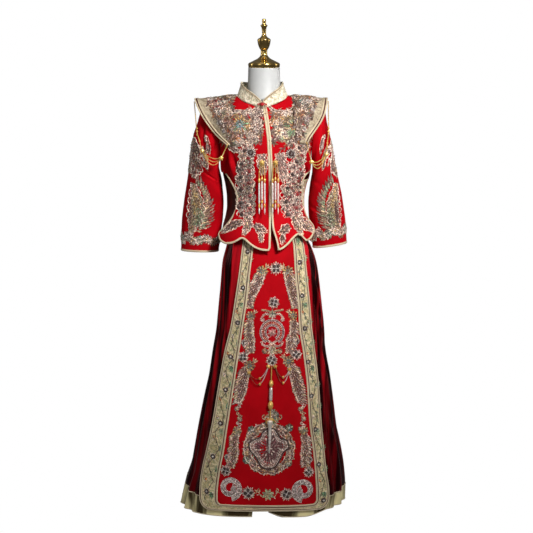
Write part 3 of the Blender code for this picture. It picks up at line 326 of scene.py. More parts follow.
# The skirt's smooth outline by height, and the depths under the panel and at the back
SKIRT = Table("z left right front back", """
10 -279 268 231 235, 78 -263 270 224 228, 139 -243 265.5 216 219, 200 -231.5 256 207 210,
273 -218.5 240 196 199, 360 -201 229 184 187, 447 -181.6 217 172 176, 533 -168.2 202 160 165,
606 -155.3 197 149 156, 723 -144.2 184.5 132 142, 810 -137.6 172.5 119 130, 860 -125.2 156 110.5 120,
920 -111 126 96 101, 955 -107.8 117.8 89.6 89.6""")
SLIT = Table("z left right", "10 -39 13, 500 5 30, 955 24 30")
PANEL_LIFT = Table("z lift", "600 6, 900 4.5, 955 2.4")
PANEL = Table("z outer_left inner_left inner_right outer_right", """
30 -208.5 -149 167.2 210, 90 -208 -148.6 167.2 209.8, 150 -201.6 -142.2 164 201.6,
220 -186 -128.7 157.5 194, 320 -165 -113.5 144.7 184, 440 -144.6 -94.5 136.6 175.6,
540 -126.5 -79.2 124.7 163.6, 620 -107 -66.8 112.2 153.3, 700 -94 -54.5 108.2 147,
780 -82 -45.8 99.7 138.8, 880 -69 -33.5 93.5 127, 955 -56 -27 70 93""")
FORM = Table("z left right front back", """
800 -106 120 85 94, 944 -103 113 85.5 86, 955 -106.5 116.5 88.5 88.5, 985 -106.5 116.5 88.5 88.5,
1080 -112 124 95 90, 1150 -126 136 112 100, 1200 -138 146 115 104, 1250 -152 155 107 104""")
NECK = {1.3475: 0.0585, 1.366: 0.0562, 1.385: 0.054, 1.415: 0.052, NECK_TOP: 0.0512}


def rounded_share(share, square):
    """A superellipse's other coordinate, from 1 in the middle to 0 at its end."""
    return (1 - np.clip(np.abs(share), 0, 1) ** square) ** (1 / square)


def bowed(part, square):
    """A superellipse's coordinate: a sine or cosine to the power of 2 by square, with its sign."""
    return np.sign(part) * np.abs(part) ** (2 / square)


def joined(*parts):
    """Points from their coordinates."""
    return np.stack(parts, -1)


def middle_half(left, right):
    """The middle between two values, and half of the way from one to the other."""
    return (left + right) / 2, (right - left) / 2


def unit(vectors):
    """Each vector divided by its own length."""
    return vectors / np.maximum(np.linalg.norm(vectors, axis=-1, keepdims=True), 1e-12)


def lengths(path):
    """How far along a path each of its points lies."""
    return np.concatenate([[0], np.cumsum(np.linalg.norm(np.diff(path, axis=0), axis=1))])


def circle(count):
    """Even angles of a full turn, without its end."""
    return np.linspace(0, 2 * math.pi, count, endpoint=False)


def shoulder_line(x):
    """The height of the shoulder seam's line above x, the same on both sides."""
    return SHOULDER("z", np.abs(x))


def body_depth(x, z, face):
    """How far the jacket stands out from the shoulder line's plane, always positive."""
    table = BODY[face][0]
    middle, half = middle_half(table("left", z), table("right", z))
    share = (x - middle) / half
    drop = np.clip((shoulder_line(x) - z) / SHOULDER_ROUND, 0, 1)
    return table("depth", z) * rounded_share(share, BODY_SQUARE) * np.sqrt(1 - (1 - drop) ** 2)


def depth_of(facing_front, x, z):
    """The jacket's depth from its front table or its back one."""
    return np.where(facing_front, body_depth(x, z, "front"), body_depth(x, z, "back"))


def drop_after(travel):
    """How far down the cloth has come after a way round the shoulder's curve."""
    bend = np.minimum(travel / SHOULDER_ROUND, math.pi / 2)
    return SHOULDER_ROUND * (1 - np.cos(bend)) + np.maximum(travel - SHOULDER_ROUND * math.pi / 2, 0)


def travel_for(drop):
    """The way down the cloth that a drop takes, the inverse of drop_after."""
    bend = np.arccos(np.clip(1 - drop / SHOULDER_ROUND, 0, 1))
    return SHOULDER_ROUND * bend + np.maximum(drop - SHOULDER_ROUND, 0)


def neckline(x, face):
    """The neckline's height: low at the front, nearly level at the back."""
    turn = np.arcsin(np.clip(np.abs(x - NECKLINE_X) / NECKLINE_HALF, 0, 1)) / (math.pi / 2)
    if face == "front":
        return NECKLINE_FRONT + (NECKLINE_SIDE - NECKLINE_FRONT) * turn**1.15
    return NECKLINE_BACK + (NECKLINE_SIDE - NECKLINE_BACK) * turn**2


def panel_grid(x_of, hem, shares, face):
    """A jacket panel: columns run down the cloth from the neck or the shoulder seam to the hem."""
    share = shares[None, :]
    x = x_of(share, np.full_like(share, ARMHOLE_TOP))
    top = shoulder_line(x)
    inside_neck = np.abs(x - NECKLINE_X) < NECKLINE_HALF
    start = travel_for(np.where(inside_neck, top - neckline(x, face), 0)) + SEAM / 4
    bust = travel_for(top - ARMHOLE_FOOT)
    foot = travel_for(top - hem(share))
    above = np.linspace(0, 1, ROWS_ABOVE + 1)[:, None]
    below = np.append(np.linspace(0, 1 - BINDING / LENGTH_BELOW, ROWS_BELOW), 1)[1:, None]
    travel = np.concatenate([start + (bust - start) * above, bust + (foot - bust) * below])
    z = top - drop_after(travel)
    x = x_of(share, z)
    return joined(x, body_depth(x, z, face) * BODY[face][1], z)


def front_x(side):
    """The x of a front, by its share of the way from the centre edge to the side edge and its height."""

    def x_of(share, z):
        centre = CENTRE_EDGE(side, z)
        edge = (np.maximum if side == "left" else np.minimum)(SIDE_EDGE(side, z), FRONT(side, z))
        return centre + (edge - centre) * share

    return x_of


def back_x(share, z):
    """The x of the back, from -1 at its left edge to 1 at its right edge."""
    left, right = (np.where(z > ARMHOLE_FOOT, SIDE_EDGE(side, z), BACK(side, z)) for side in SIDES)
    middle, half = middle_half(np.maximum(left, BACK("left", z)), np.minimum(right, BACK("right", z)))
    return middle + half * share


def front_grid(side, columns=56):
    """The columns are closer together towards the side edge, where the section turns quickly."""
    shares = np.sin(np.linspace(0, math.pi / 2, columns))
    return panel_grid(front_x(side), lambda share: HEM[side]("z", share), shares, "front")


def back_grid(columns=90):
    """The back: columns even in angle, as on the front, and a hem that is a shallow cosine."""
    shares = np.sin(np.linspace(-math.pi / 2, math.pi / 2, columns))
    return panel_grid(back_x, lambda share: 0.875 - 0.006 * np.cos(4 * share), shares, "back")


def lining_grid(side, columns=24, rows=40):
    """The side lining: from under the front's hollowed edge back to the side, set in a little."""
    sign = SIDES[side]
    z = np.linspace(1.088, 0.912, rows)[:, None]
    share = np.linspace(0, 1, columns)[None, :]
    seam = BACK(side, z)
    start = SIDE_EDGE(side, z) - sign * 0.022
    x = start + (seam - start) * np.sin(share * math.pi / 2)
    inset = 0.0003 + 0.0065 * np.sqrt(1 - share)
    depth = body_depth(x + sign * inset, z, "front") * np.sqrt(1 - share**6)
    return joined(x - sign * SEAM / 2, np.minimum(-depth + inset, -SEAM), z + 0 * x)


def armhole_ring(side):
    """The edges of the front and the back round the armhole, from the top down the front and up."""
    front = front_grid(side)[: ROWS_ABOVE + 1, -1]
    back = back_grid()[: ROWS_ABOVE + 1, 0 if side == "left" else -1]
    ring = np.concatenate([front, back[-2:0:-1]])
    ring[0, 1] = 0
    low = (1 - np.cos(circle(len(ring)))) / 2
    ring[:, 0] += SIDES[side] * (ARM_SEAM + UNDERARM * low)
    return ring


def sleeve_point(side, along, turn):
    """An ellipse between the sleeve's outer and inner lines, by angle from its top round the front."""
    table = SLEEVE[side]
    outer = joined(table("outer_x", along), 0 * along, table("outer_z", along))
    inner = joined(table("inner_x", along), 0 * along, table("inner_z", along))
    point = (outer + inner) / 2 + (outer - inner) / 2 * np.cos(turn)[..., None]
    point[..., 1] = table("y", along) - table("depth", along) * np.sin(turn)
    return point


SLEEVE_ROWS = np.concatenate([[0, 0.02, 0.04, 0.06, 0.08, 0.1], np.linspace(0.13, 1, 84)])


def sleeve_grid(side):
    """The first ring is the armhole's, and the next ones pass from it into the ellipses."""
    along, turn = np.meshgrid(SLEEVE_ROWS, circle(2 * ROWS_ABOVE), indexing="ij")
    grid = sleeve_point(side, along, turn)
    fade = np.clip(1 - along / 0.15, 0, 1)[..., None] ** 2
    return grid + (armhole_ring(side) - grid[0]) * fade


def collar_grid(columns=120, rows=12):
    """The stand collar, from the centre front round the back: its foot follows the neckline."""
    turn = np.radians(np.linspace(1.5, 358.5, columns))[None, :]
    up = np.linspace(0, 1, rows)[:, None]
    part = 1 - np.abs(1 - turn / math.pi)
    foot_x = NECKLINE_X + (NECKLINE_HALF + 0.0005) * np.sin(turn)
    facing_front = np.cos(turn) > 0
    foot_z = np.where(facing_front, neckline(foot_x, "front"), neckline(foot_x, "back"))
    depth = depth_of(facing_front, foot_x, foot_z) * np.where(facing_front, -1, 1)
    top_x = -0.0065 + 0.065 * np.sin(turn)
    top_y = np.where(facing_front, -0.072, -0.06) * np.cos(turn)
    top_z = 1.3375 + 0.065 * np.minimum(2 * part, 1) ** 0.62 - 0.005 * np.maximum(2 * part - 1, 0)
    foot = joined(foot_x, depth, foot_z + 0.0022)
    top = joined(top_x, top_y, top_z)
    return foot + (top - foot) * up[..., None]


def wing_depth(facing_front, x, z):
    """How far a wing stands out: the fourth root of the summed fourth powers of two depths."""
    return (depth_of(facing_front, x, z) ** 4 + WING_DEPTH**4) ** 0.25 + WING_LIFT


def wing_grid(side, columns=30, rows=70):
    """A shoulder wing: folded over its ridge, lying on the chest and standing out over the sleeve."""
    sign, table = SIDES[side], WING[side]
    foot = table.stops[-1]
    travel = np.linspace(-1, 1, rows)[:, None]
    drop = foot * np.abs(travel) ** 1.8
    inner, outer = table("inner", drop), table("outer", drop)
    band = np.minimum(WING_BAND / (outer - inner), 0.45)
    share = np.linspace(0, 1, columns - 1)[None, :] * (1 - band)
    share = np.concatenate([share, np.ones_like(band)], 1)
    reach = inner + (outer - inner) * share
    z = RIDGE("z", reach) - drop
    x = sign * reach
    depth = wing_depth(travel > 0, x, z)
    bend = np.clip(drop / WING_ROUND, 0, 1)
    y = -np.sign(travel) * depth * np.sqrt(1 - (1 - bend) ** 2)
    return joined(x, y, z)


def skirt_point(turn, z, folds=1.0):
    """The satin's surface by angle from the front, towards +X, and height."""
    middle, half = middle_half(SKIRT("left", z), SKIRT("right", z))
    facing_front = np.cos(turn) >= 0
    square = np.where(facing_front, SKIRT_SQUARE_FRONT, SKIRT_SQUARE_BACK)
    depth = np.where(facing_front, SKIRT("front", z), SKIRT("back", z))
    x, y = half * bowed(np.sin(turn), square), -depth * bowed(np.cos(turn), square)
    deep = FOLD_DEEP * smooth(z, (0.012, 0.35, 0.75, 0.955), (1.0, 0.62, 0.3, 0.01))
    deep = deep * (0.75 + 0.25 * np.sin(3 * turn + 0.8)) * folds
    wave = (1 - np.cos(FOLDS * turn + 0.7 * np.sin(2 * turn))) / 2
    shrink = 1 - deep * wave / np.sqrt(x**2 + y**2)
    return joined(middle + x * shrink, y * shrink, z + 0 * turn)


def turn_at(x, z):
    """The angle at which the skirt's front passes through x."""
    middle, half = middle_half(SKIRT("left", z), SKIRT("right", z))
    share = np.clip((x - middle) / half, -1, 1)
    return np.sign(share) * np.arcsin(np.abs(share) ** (SKIRT_SQUARE_FRONT / 2))


def gore_grid(gore, heights, columns):
    """One of the four gores, from the slit or the centre back to the side seam."""
    face, side = gore.split("_")
    sign = SIDES[side]
    share = np.linspace(0, 1, columns)[None, :] ** 0.75
    z = heights
    if face == "front":
        start = turn_at(SLIT(side, z), z) * np.ones_like(share)
        turn = start + (sign * (math.pi / 2 - SEAM_TURN) - start) * share
        edge = turn_at(PANEL(f"outer_{side}", z), z)
        covered = np.clip((np.abs(turn) - np.abs(edge) + 0.02) / 0.25, 0, 1)
        folds = covered**2 * (3 - 2 * covered)
    else:
        turn = sign * (math.pi / 2 + SEAM_TURN + (math.pi / 2 - 2 * SEAM_TURN) * share)
        folds = 1.0
    return skirt_point(turn, z + 0 * share, folds)


def hem_band_top(gore, columns):
    """The band is higher at the sides than beside the panel."""
    share = np.linspace(0, 1, columns)
    if gore.startswith("back"):
        return np.full(columns, SKIRT_HEM + HEM_BAND_SIDE)
    rise = smooth(share, (0, 0.6, 1), (0, 0.1, 1))
    return SKIRT_HEM + HEM_BAND_FRONT + (HEM_BAND_SIDE - HEM_BAND_FRONT) * rise


def panel_surface(x, z, lift=0.0):
    """The front panel's points at x and z, just outside the satin."""
    clear = PANEL_LIFT("lift", z)
    middle, half = middle_half(SKIRT("left", z) - clear, SKIRT("right", z) + clear)
    y = -(SKIRT("front", z) + clear) * rounded_share((x - middle) / half, SKIRT_SQUARE_FRONT)
    return joined(x, y - lift, z + 0 * x)


def panel_x(column, z):
    """The x of a panel column: -1 to 1 across the red cloth, to -2 and 2 over the border."""
    inner = np.where(column < 0, PANEL("inner_left", z), PANEL("inner_right", z))
    outer = np.where(column < 0, PANEL("outer_left", z), PANEL("outer_right", z))
    middle = (PANEL("inner_left", z) + PANEL("inner_right", z)) / 2
    within = middle + (inner - middle) * np.minimum(np.abs(column), 1)
    return within + (outer - inner) * np.clip(np.abs(column) - 1, 0, 1)


def form_ring(turn, z, inset=0.0):
    """The form's section by angle from the front and height, set in by inset."""
    middle, half = middle_half(FORM("left", z) + inset, FORM("right", z) - inset)
    depth = np.where(np.cos(turn) >= 0, FORM("front", z), FORM("back", z)) - inset
    x = middle + half * bowed(np.sin(turn), BODY_SQUARE)
    return joined(x, -depth * bowed(np.cos(turn), BODY_SQUARE), z + 0 * turn)


def shoulder_ring(turn, z):
    """The form's shoulders under the jacket's own surface, running into the round neck."""
    reach = np.interp(-z - RIDGE_CLEAR, -SHOULDER.columns["z"], SHOULDER.stops)
    x = min(reach, 0.166) * bowed(np.sin(turn), BODY_SQUARE)
    inner = depth_of(np.cos(turn) >= 0, x, z + FORM_CLEAR)
    depth = np.minimum(inner - FORM_CLEAR, 0.12 * np.abs(bowed(np.cos(turn), BODY_SQUARE)))
    ridge = RIDGE_SHARE * body_depth(x, z + RIDGE_CLEAR, "back")
    depth = np.maximum(depth, np.where(np.abs(np.cos(turn)) > 1e-6, ridge, 0))
    neck = NECK_FLAT * max(NECK.values())
    depth = np.maximum(depth, np.sqrt(np.maximum(neck**2 - x**2, 0)))
    return joined(x, -np.sign(np.cos(turn)) * depth, z + 0 * turn)


# Meshes


def quads_of(rows, columns, wrap=False):
    """Corner numbers of every cell of a grid that is stored row by row."""
    i, j = np.meshgrid(np.arange(rows - 1), np.arange(columns if wrap else columns - 1), indexing="ij")
    a, b = i * columns + j, i * columns + (j + 1) % columns
    return joined(a, b, b + columns, a + columns).reshape(-1, 4)


def grid_normals(grid, wrap=False):
    """Unit normals from the cross product of the differences along the columns and along the rows."""
    if wrap:
        across = np.roll(grid, -1, axis=1) - np.roll(grid, 1, axis=1)
    else:
        across = np.gradient(grid, axis=1)
    return unit(np.cross(across, np.gradient(grid, axis=0)))


def facing_out(normal, grid, inside):
    """Normals turned over where their sum points towards a place inside the piece."""
    return normal if (normal * (grid - inside)).sum() > 0 else -normal


def made(name, points, quads, finish, slot, nodes=(), uv=None, tint=None, weld=False):
    """A mesh object at the origin from points and corners, with a value per point for uv and tint."""
    mesh = bpy.data.meshes.new(name)
    mesh.from_pydata(points.reshape(-1, 3).tolist(), [], quads.tolist())
    mesh.shade_smooth()
    corners = quads.ravel()
    if uv is not None:
        layer = mesh.uv_layers.new(name="flat")
        layer.data.foreach_set("uv", uv.reshape(-1, 2)[corners].astype(np.float32).ravel())
    if tint is not None:
        layer = mesh.color_attributes.new(name="thread", type="FLOAT_COLOR", domain="POINT")
        rgba = np.concatenate([tint.reshape(-1, 3), np.ones((points.size // 3, 1))], 1)
        layer.data.foreach_set("color", rgba.astype(np.float32).ravel())
    if weld:
        shape = bmesh.new()
        shape.from_mesh(mesh)
        bmesh.ops.remove_doubles(shape, verts=shape.verts, dist=1e-6)
        shape.to_mesh(mesh)
        shape.free()
    piece = bpy.data.objects.new(name, mesh)
    bpy.context.scene.collection.objects.link(piece)
    mesh.materials.append(finish)
    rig.ride(piece, "root")
    if nodes:
        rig.replaces(piece, *nodes)
    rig.slot(piece, slot)
    return piece


def fold_height(folds, u, v):
    """Soft troughs and ridges: each is a bell across its own line, fading towards both of its ends."""
    total = np.zeros(np.broadcast(u, v).shape)
    for u0, v0, u1, v1, width, depth in folds:
        length = math.hypot(u1 - u0, v1 - v0)
        along = ((u - u0) * (u1 - u0) + (v - v0) * (v1 - v0)) / length**2
        across = ((u - u0) * (v1 - v0) - (v - v0) * (u1 - u0)) / length
        bend = 0.12 * length * (along - along**2)
        fade = np.sin(math.pi * np.clip(along * 0.86 + 0.07, 0, 1)) ** 1.4
        fade = fade * ((along > -0.08) & (along < 1.08))
        bell = np.exp(-(((across - bend) / width) ** 2))
        shoulder = np.exp(-(((across - bend - 1.9 * width) / (1.2 * width)) ** 2))
        total = total + depth * fade * (bell - 0.4 * shoulder)
    return total


def cloth(
    name, grid, inside, finish, nodes, slot, wall=0.0011, out=CLOTH, uv=None, folds=(), wrap=False, shift=0.0
):
    """A thin shell whose outer face lies where the solid's does, with folds added along its normals."""
    normal = facing_out(grid_normals(grid, wrap), grid, inside)
    high = out - wall + fold_height(folds, uv[..., 0], uv[..., 1]) + shift
    points = grid + normal * high[..., None]
    rows, columns = grid.shape[:2]
    quads = quads_of(rows, columns, wrap)
    corner = points.reshape(-1, 3)[quads]
    facing = np.cross(corner[:, 1] - corner[:, 0], corner[:, 3] - corner[:, 0])
    if (facing * normal.reshape(-1, 3)[quads[:, 0]]).sum() < 0:
        quads = quads[:, ::-1]
    piece = made(name, points, quads, finish, slot, nodes, uv)
    solid = piece.modifiers.new("wall", "SOLIDIFY")
    solid.thickness = wall
    solid.offset = 1
    return piece


def lofted(name, bodies, finish, slot, nodes=(), tints=None):
    """Closed bodies, each from rings of points whose ends are drawn together to a welded pole."""
    points, quads, colours, count = [], [], [], 0
    for number, rings in enumerate(bodies):
        poles = np.repeat(rings[[0, -1]].mean(1, keepdims=True), rings.shape[1], 1)
        whole = np.concatenate([poles[:1], rings, poles[1:]])
        cells = quads_of(*whole.shape[:2], wrap=True)
        flat = whole.reshape(-1, 3)
        corner = flat[cells]
        facing = np.cross(corner[:, 2] - corner[:, 0], corner[:, 3] - corner[:, 1])
        middle = whole.mean(1, keepdims=True).repeat(whole.shape[1], 1).reshape(-1, 3)
        if (facing * (corner.mean(1) - middle[cells[:, 0]])).sum() < 0:
            cells = cells[:, ::-1]
        points.append(flat)
        quads.append(cells + count)
        count += len(flat)
        if tints is not None:
            tint = tints[number]
            tint = np.concatenate([tint[:1], tint, tint[-1:]])
            colours.append(np.repeat(tint, whole.shape[1], 0))
    tint = np.concatenate(colours) if tints is not None else None
    points, quads = np.concatenate(points), np.concatenate(quads)
    return made(name, points, quads, finish, slot, nodes, tint=tint, weld=True)


class Ground:
    """A cloth surface in its flat measure, which maps u and v, and a height over the cloth, to points."""

    def __init__(self, point, flat, folds=(), lift=CLOTH):
        self.point, self.flat, self.folds, self.lift = point, flat, folds, lift

    def __call__(self, u, v, high=0.0):
        """The point, moved along its normal, which is the cross product of central differences in u and v."""
        across = self.point(u + NORMAL_STEP, v) - self.point(u - NORMAL_STEP, v)
        up = self.point(u, v + NORMAL_STEP) - self.point(u, v - NORMAL_STEP)
        total = self.lift + high + fold_height(self.folds, u, v)
        return self.point(u, v) + unit(np.cross(across, up)) * total[..., None]

    def seen(self, pixels):
        """Flat places of spots given by where they show in the photograph's frame, in pixels."""
        pixels = np.atleast_2d(np.asarray(pixels, float))
        right = (pixels[:, 0] - FRAME_PIXELS / 2) / FOCAL_PIXELS
        up = (FRAME_PIXELS / 2 - pixels[:, 1]) / FOCAL_PIXELS
        along = np.cos(PITCH) + up * np.sin(PITCH)
        rise = up * np.cos(PITCH) - np.sin(PITCH)
        y = np.full(len(pixels), FIRST_DEPTH)
        for _ in range(6):
            reach = (y - CAMERA[1]) / along
            x, z = CAMERA[0] + right * reach, CAMERA[2] + rise * reach
            u, v = self.flat(x, z)
            y = self(u, v)[..., 1]
        return joined(u, v)


def smoothed(path, times=2):
    """A path with each inner point drawn towards the mean of its neighbours."""
    for _ in range(times):
        path = np.concatenate([path[:1], (path[:-2] + 2 * path[1:-1] + path[2:]) / 4, path[-1:]])
    return path


def curved(points, count):
    """A smooth path through a few points, as monotone cubics over the length."""
    points = np.asarray(points, float)
    far = lengths(points)
    where = np.linspace(0, far[-1], count)
    return np.stack([smooth(where, far, points[:, k]) for k in range(points.shape[1])], -1)


def spaced(path, count):
    """The path's points at even steps of its length."""
    far = lengths(path)
    where = np.linspace(0, far[-1], count)
    return np.stack([np.interp(where, far, path[:, k]) for k in range(path.shape[1])], -1)


def tube(path, radius, sides, flat, up):
    """Rings round a path: the radius times two unit vectors across its direction, one of them near up."""
    along = unit(np.gradient(path, axis=0))
    side = np.cross(along, np.broadcast_to(up, path.shape))
    weak = np.linalg.norm(side, axis=1, keepdims=True) < 1e-3
    side = unit(np.where(weak, np.cross(along, (1.0, 0.2, 0.0)), side))
    turn = circle(sides)[None, :, None]
    ring = side[:, None, :] * np.cos(turn) + np.cross(side, along)[:, None, :] * np.sin(turn) * flat
    return path[:, None, :] + np.broadcast_to(radius, (len(path),))[:, None, None] * ring


def ray(turn):
    """Unit steps along angles from straight up towards the right."""
    return joined(np.sin(turn), np.cos(turn))


def across(turn):
    """Unit steps a quarter turn to the right of those angles."""
    return joined(np.cos(turn), -np.sin(turn))


class Work:
    """Raised embroidery on one ground, gathered as petals, cords and beads and built as one piece."""

    def __init__(self, name, ground, seed=1):
        self.name, self.ground = name, ground
        self.random = np.random.default_rng(seed)
        self.flats, self.highs, self.tints, self.uvs, self.quads, self.count = [], [], [], [], [], 0

    def keep(self, flat, high, tint, uv, quads):
        self.flats.append(flat.reshape(-1, 2))
        self.highs.append(high.reshape(-1))
        self.tints.append(tint.reshape(-1, 3))
        self.uvs.append(uv.reshape(-1, 2))
        self.quads.append(quads + self.count)
        self.count += flat.size // 2

    def petals(self, at, length, width, angle, tint, bend=0.0, high=0.0012):
        """Pointed leaves from their foot at at, along angle from straight up: 4 by 3 points each."""
        at = np.atleast_2d(at)
        n = len(at)
        length, width, angle, bend, high = (
            np.broadcast_to(v, (n,))[:, None, None] for v in (length, width, angle, bend, high)
        )
        s = np.array([0, 0.3, 0.7, 1.0])[None, :, None]
        t = np.array([-1, 0, 1.0])[None, None, :]
        profile = np.array([0.35, 1.0, 0.88, 0.07])[None, :, None]
        sideways = bend * length * s**2 + width / 2 * t * profile
        flat = at[:, None, None, :] + ray(angle) * (length * s)[..., None]
        flat = flat + across(angle) * sideways[..., None]
        rise = high * np.array([0.45, 1.0, 0.95, 0.35])[None, :, None] * (1 - t**2) - 0.0003 * t**2
        rise = np.broadcast_to(rise, flat.shape[:3])
        tint = np.broadcast_to(tint, (n, 3))[:, None, None, :]
        # painted shade: each petal is darker at its foot and towards its edges, lighter near its tip
        shade = np.array([0.3, 1.0, 1.25, 1.15])[None, :, None, None] * (1 - 0.4 * np.abs(t))[..., None]
        uv = np.stack(np.broadcast_arrays(s * length, t * width / 2), -1)
        cell = quads_of(4, 3)
        quads = (cell[None] + 12 * np.arange(n)[:, None, None]).reshape(-1, 4)
        self.keep(flat, rise, np.broadcast_to(tint * shade, flat.shape[:3] + (3,)), uv, quads)

    def cord(self, path, width, tint, high=0.0011):
        """A couched cord: five points across, highest in the middle, with its edges set into the cloth."""
        along = unit(np.gradient(path, axis=0))
        side = joined(-along[:, 1], along[:, 0])
        t = np.array([-1, -0.6, 0, 0.6, 1])
        wide = np.broadcast_to(width, (len(path),))[:, None, None] / 2
        flat = path[:, None, :] + side[:, None, :] * wide * t[None, :, None]
        rise = np.broadcast_to(high * np.array([-0.3, 0.75, 1.0, 0.75, -0.3]), flat.shape[:2])
        tint = np.broadcast_to(tint, flat.shape[:2] + (3,))
        uv = np.stack(np.broadcast_arrays(t[None, :] * wide[..., 0], lengths(path)[:, None]), -1)
        self.keep(flat, rise, tint, uv, quads_of(len(path), 5)[:, ::-1])

    def beads(self, at, radius, tint, high=1.0):
        """Domes of seven sides in three rings."""
        at = np.atleast_2d(at)
        n = len(at)
        radius = np.broadcast_to(radius, (n,))[:, None, None]
        ring = np.array([1.0, 0.72, 0.03])[None, :, None]
        uv = (radius * ring)[..., None] * ray(circle(7))
        flat = at[:, None, None, :] + uv
        rise = np.broadcast_to(radius * high * np.array([-0.1, 0.68, 1.0])[None, :, None], flat.shape[:3])
        tint = np.broadcast_to(np.reshape(tint, (-1, 1, 1, 3)), flat.shape[:3] + (3,))
        quads = (quads_of(3, 7, wrap=True)[None, :, ::-1] + 21 * np.arange(n)[:, None, None]).reshape(-1, 4)
        self.keep(flat, rise, tint, uv, quads)

    def build(self, finish, slot, nodes=()):
        flat = np.concatenate(self.flats)
        points = self.ground(flat[:, 0], flat[:, 1], np.concatenate(self.highs))
        quads, uvs, tints = (np.concatenate(kept) for kept in (self.quads, self.uvs, self.tints))
        return made(self.name, points, quads, finish, slot, nodes, uvs, tints)


# Finishes


class Wire:
    """A number socket that takes part in Python arithmetic: each operator adds one Math node."""

    def __init__(self, finish, socket):
        self.finish, self.socket = finish, socket

    def math(self, operation, *others):
        return self.finish.node("ShaderNodeMath", {"operation": operation}, [self, *others])

    def __add__(self, other):
        return self.math("ADD", other)

    def __mul__(self, other):
        return self.math("MULTIPLY", other)

    __radd__, __rmul__ = __add__, __mul__

    def __sub__(self, other):
        return self.math("SUBTRACT", other)

    def __rsub__(self, other):
        return self.finish.node("ShaderNodeMath", {"operation": "SUBTRACT"}, [other, self])

    def between(self, low, high):
        """0 below low, 1 above high, and a smooth step between them."""
        settings = {"interpolation_type": "SMOOTHSTEP"}
        values = {"Value": self, "From Min": low, "From Max": high}
        return self.finish.node("ShaderNodeMapRange", settings, values)


class Finish:
    """A material with one Principled BSDF, whose constants sit on its own sockets."""

    def __init__(self, name, **constants):
        self.material = bpy.data.materials.new(name)
        self.material.use_nodes = True
        self.tree = self.material.node_tree
        self.shader = self.tree.nodes["Principled BSDF"]
        for key, value in constants.items():
            self.shader.inputs[key.replace("_", " ").title().replace("Ior", "IOR")].default_value = value

    def put(self, socket, value):
        if isinstance(value, Wire):
            self.tree.links.new(value.socket, socket)
        elif isinstance(value, (tuple, list)) and socket.type == "RGBA":
            socket.default_value = (*value, 1)
        else:
            socket.default_value = value

    def node(self, kind, settings=None, values=None, output=0):
        """Any node: settings are set first, and then the values or links of its sockets."""
        made_node = self.tree.nodes.new(kind)
        for key, value in (settings or {}).items():
            setattr(made_node, key, value)
        pairs = enumerate(values) if isinstance(values, list) else (values or {}).items()
        for key, value in pairs:
            self.put(made_node.inputs[key], value)
        return Wire(self, made_node.outputs[output])

    def flat(self):
        return self.node("ShaderNodeUVMap", {"uv_map": "flat"})

    def place(self):
        return self.node("ShaderNodeTexCoord", output=3)

    def thread(self):
        return self.node("ShaderNodeVertexColor", {"layer_name": "thread"})

    def scaled(self, vector, scale, turn=0.0):
        values = {"Vector": vector, "Scale": scale, "Rotation": (0, 0, turn)}
        return self.node("ShaderNodeMapping", None, values)

    def noise(self, vector, scale, detail=3.0, distortion=0.0):
        values = {"Vector": vector, "Scale": scale, "Detail": detail, "Distortion": distortion}
        return self.node("ShaderNodeTexNoise", None, values)

    def wave(self, vector, scale, direction="X", distortion=0.0, detail=0.0, detail_scale=1.0):
        values = {"Vector": vector, "Scale": scale, "Distortion": distortion, "Detail": detail}
        values["Detail Scale"] = detail_scale
        return self.node("ShaderNodeTexWave", {"bands_direction": direction}, values)

    def cells(self, vector, scale, output=0):
        """Voronoi cells: the distance to each cell's middle, or with output 1 a colour of its own."""
        return self.node("ShaderNodeTexVoronoi", None, {"Vector": vector, "Scale": scale}, output)

    def mix(self, share, low, high, blend="MIX"):
        """Colours mixed by a share; sockets 6 and 7 are the colour pair of the Mix node."""
        settings = {"data_type": "RGBA", "blend_type": blend}
        return self.node("ShaderNodeMix", settings, {0: share, 6: low, 7: high}, output=2)

    def bump(self, height, distance, strength=1.0):
        values = {"Height": height, "Distance": distance, "Strength": strength}
        return self.node("ShaderNodeBump", None, values)

    def dress(self, **wires):
        for key, value in wires.items():
            self.put(self.shader.inputs[key.replace("_", " ").title()], value)
        return self.material


def woven(name, dark, light, rough, thread=0.0008, **constants):
    """A plain weave: crossed waves of one thread's width for the bump, with slow colour drift."""
    f = Finish(name, **constants)
    flat = f.flat()
    warp = f.wave(flat, 0.314 / thread, "X", 0.6, 1.0, 40.0)
    weft = f.wave(flat, 0.314 / thread, "Y", 0.6, 1.0, 40.0)
    drift = f.noise(flat, 9.0, 4.0)
    fine = f.noise(flat, 900.0, 2.0)
    return f.dress(
        base_color=f.mix(drift.between(0.3, 0.7) * 0.75 + fine * 0.25, dark, light),
        roughness=fine * 0.18 + rough,
        normal=f.bump(warp * weft + fine * 0.4, 0.00022, 0.55),
    )


def satin(name, dark, light, rough, metallic, edge, low, high, across, bright=0.0):
    """Satin: long fine floats, and streaks of painted fold shade running down it, from deep shade to full colour,
    lighter towards the top as painted light.
    """
    f = Finish(name, metallic=metallic, specular_tint=(*edge, 1.0))
    flat = f.flat()
    floats = f.wave(flat, 900.0, "X", 1.5, 2.0, 30.0)
    # painted fold shade: streaks that darken the colour as shade in the folds
    streak = f.noise(f.scaled(flat, (across, 2.6, 1.0), 0.05), 1.0, 3.0, 0.4).between(low, high)
    # painted light: the colour grows lighter with the height, by bright
    height = f.node("ShaderNodeSeparateXYZ", None, [flat], 1).between(0.05, 0.95)
    drift = f.noise(flat, 14.0, 3.0)
    creases = f.noise(f.scaled(flat, (24.0, 9.0, 1.0)), 1.0, 2.0, 0.6)
    return f.dress(
        base_color=f.mix(streak * (drift + 0.5) * (height * bright + (0.92 - bright * 0.5)), dark, light),
        roughness=streak * 0.12 + rough,
        normal=f.bump(creases * 6.0 + floats * 0.08, 0.0009, 0.6),
    )


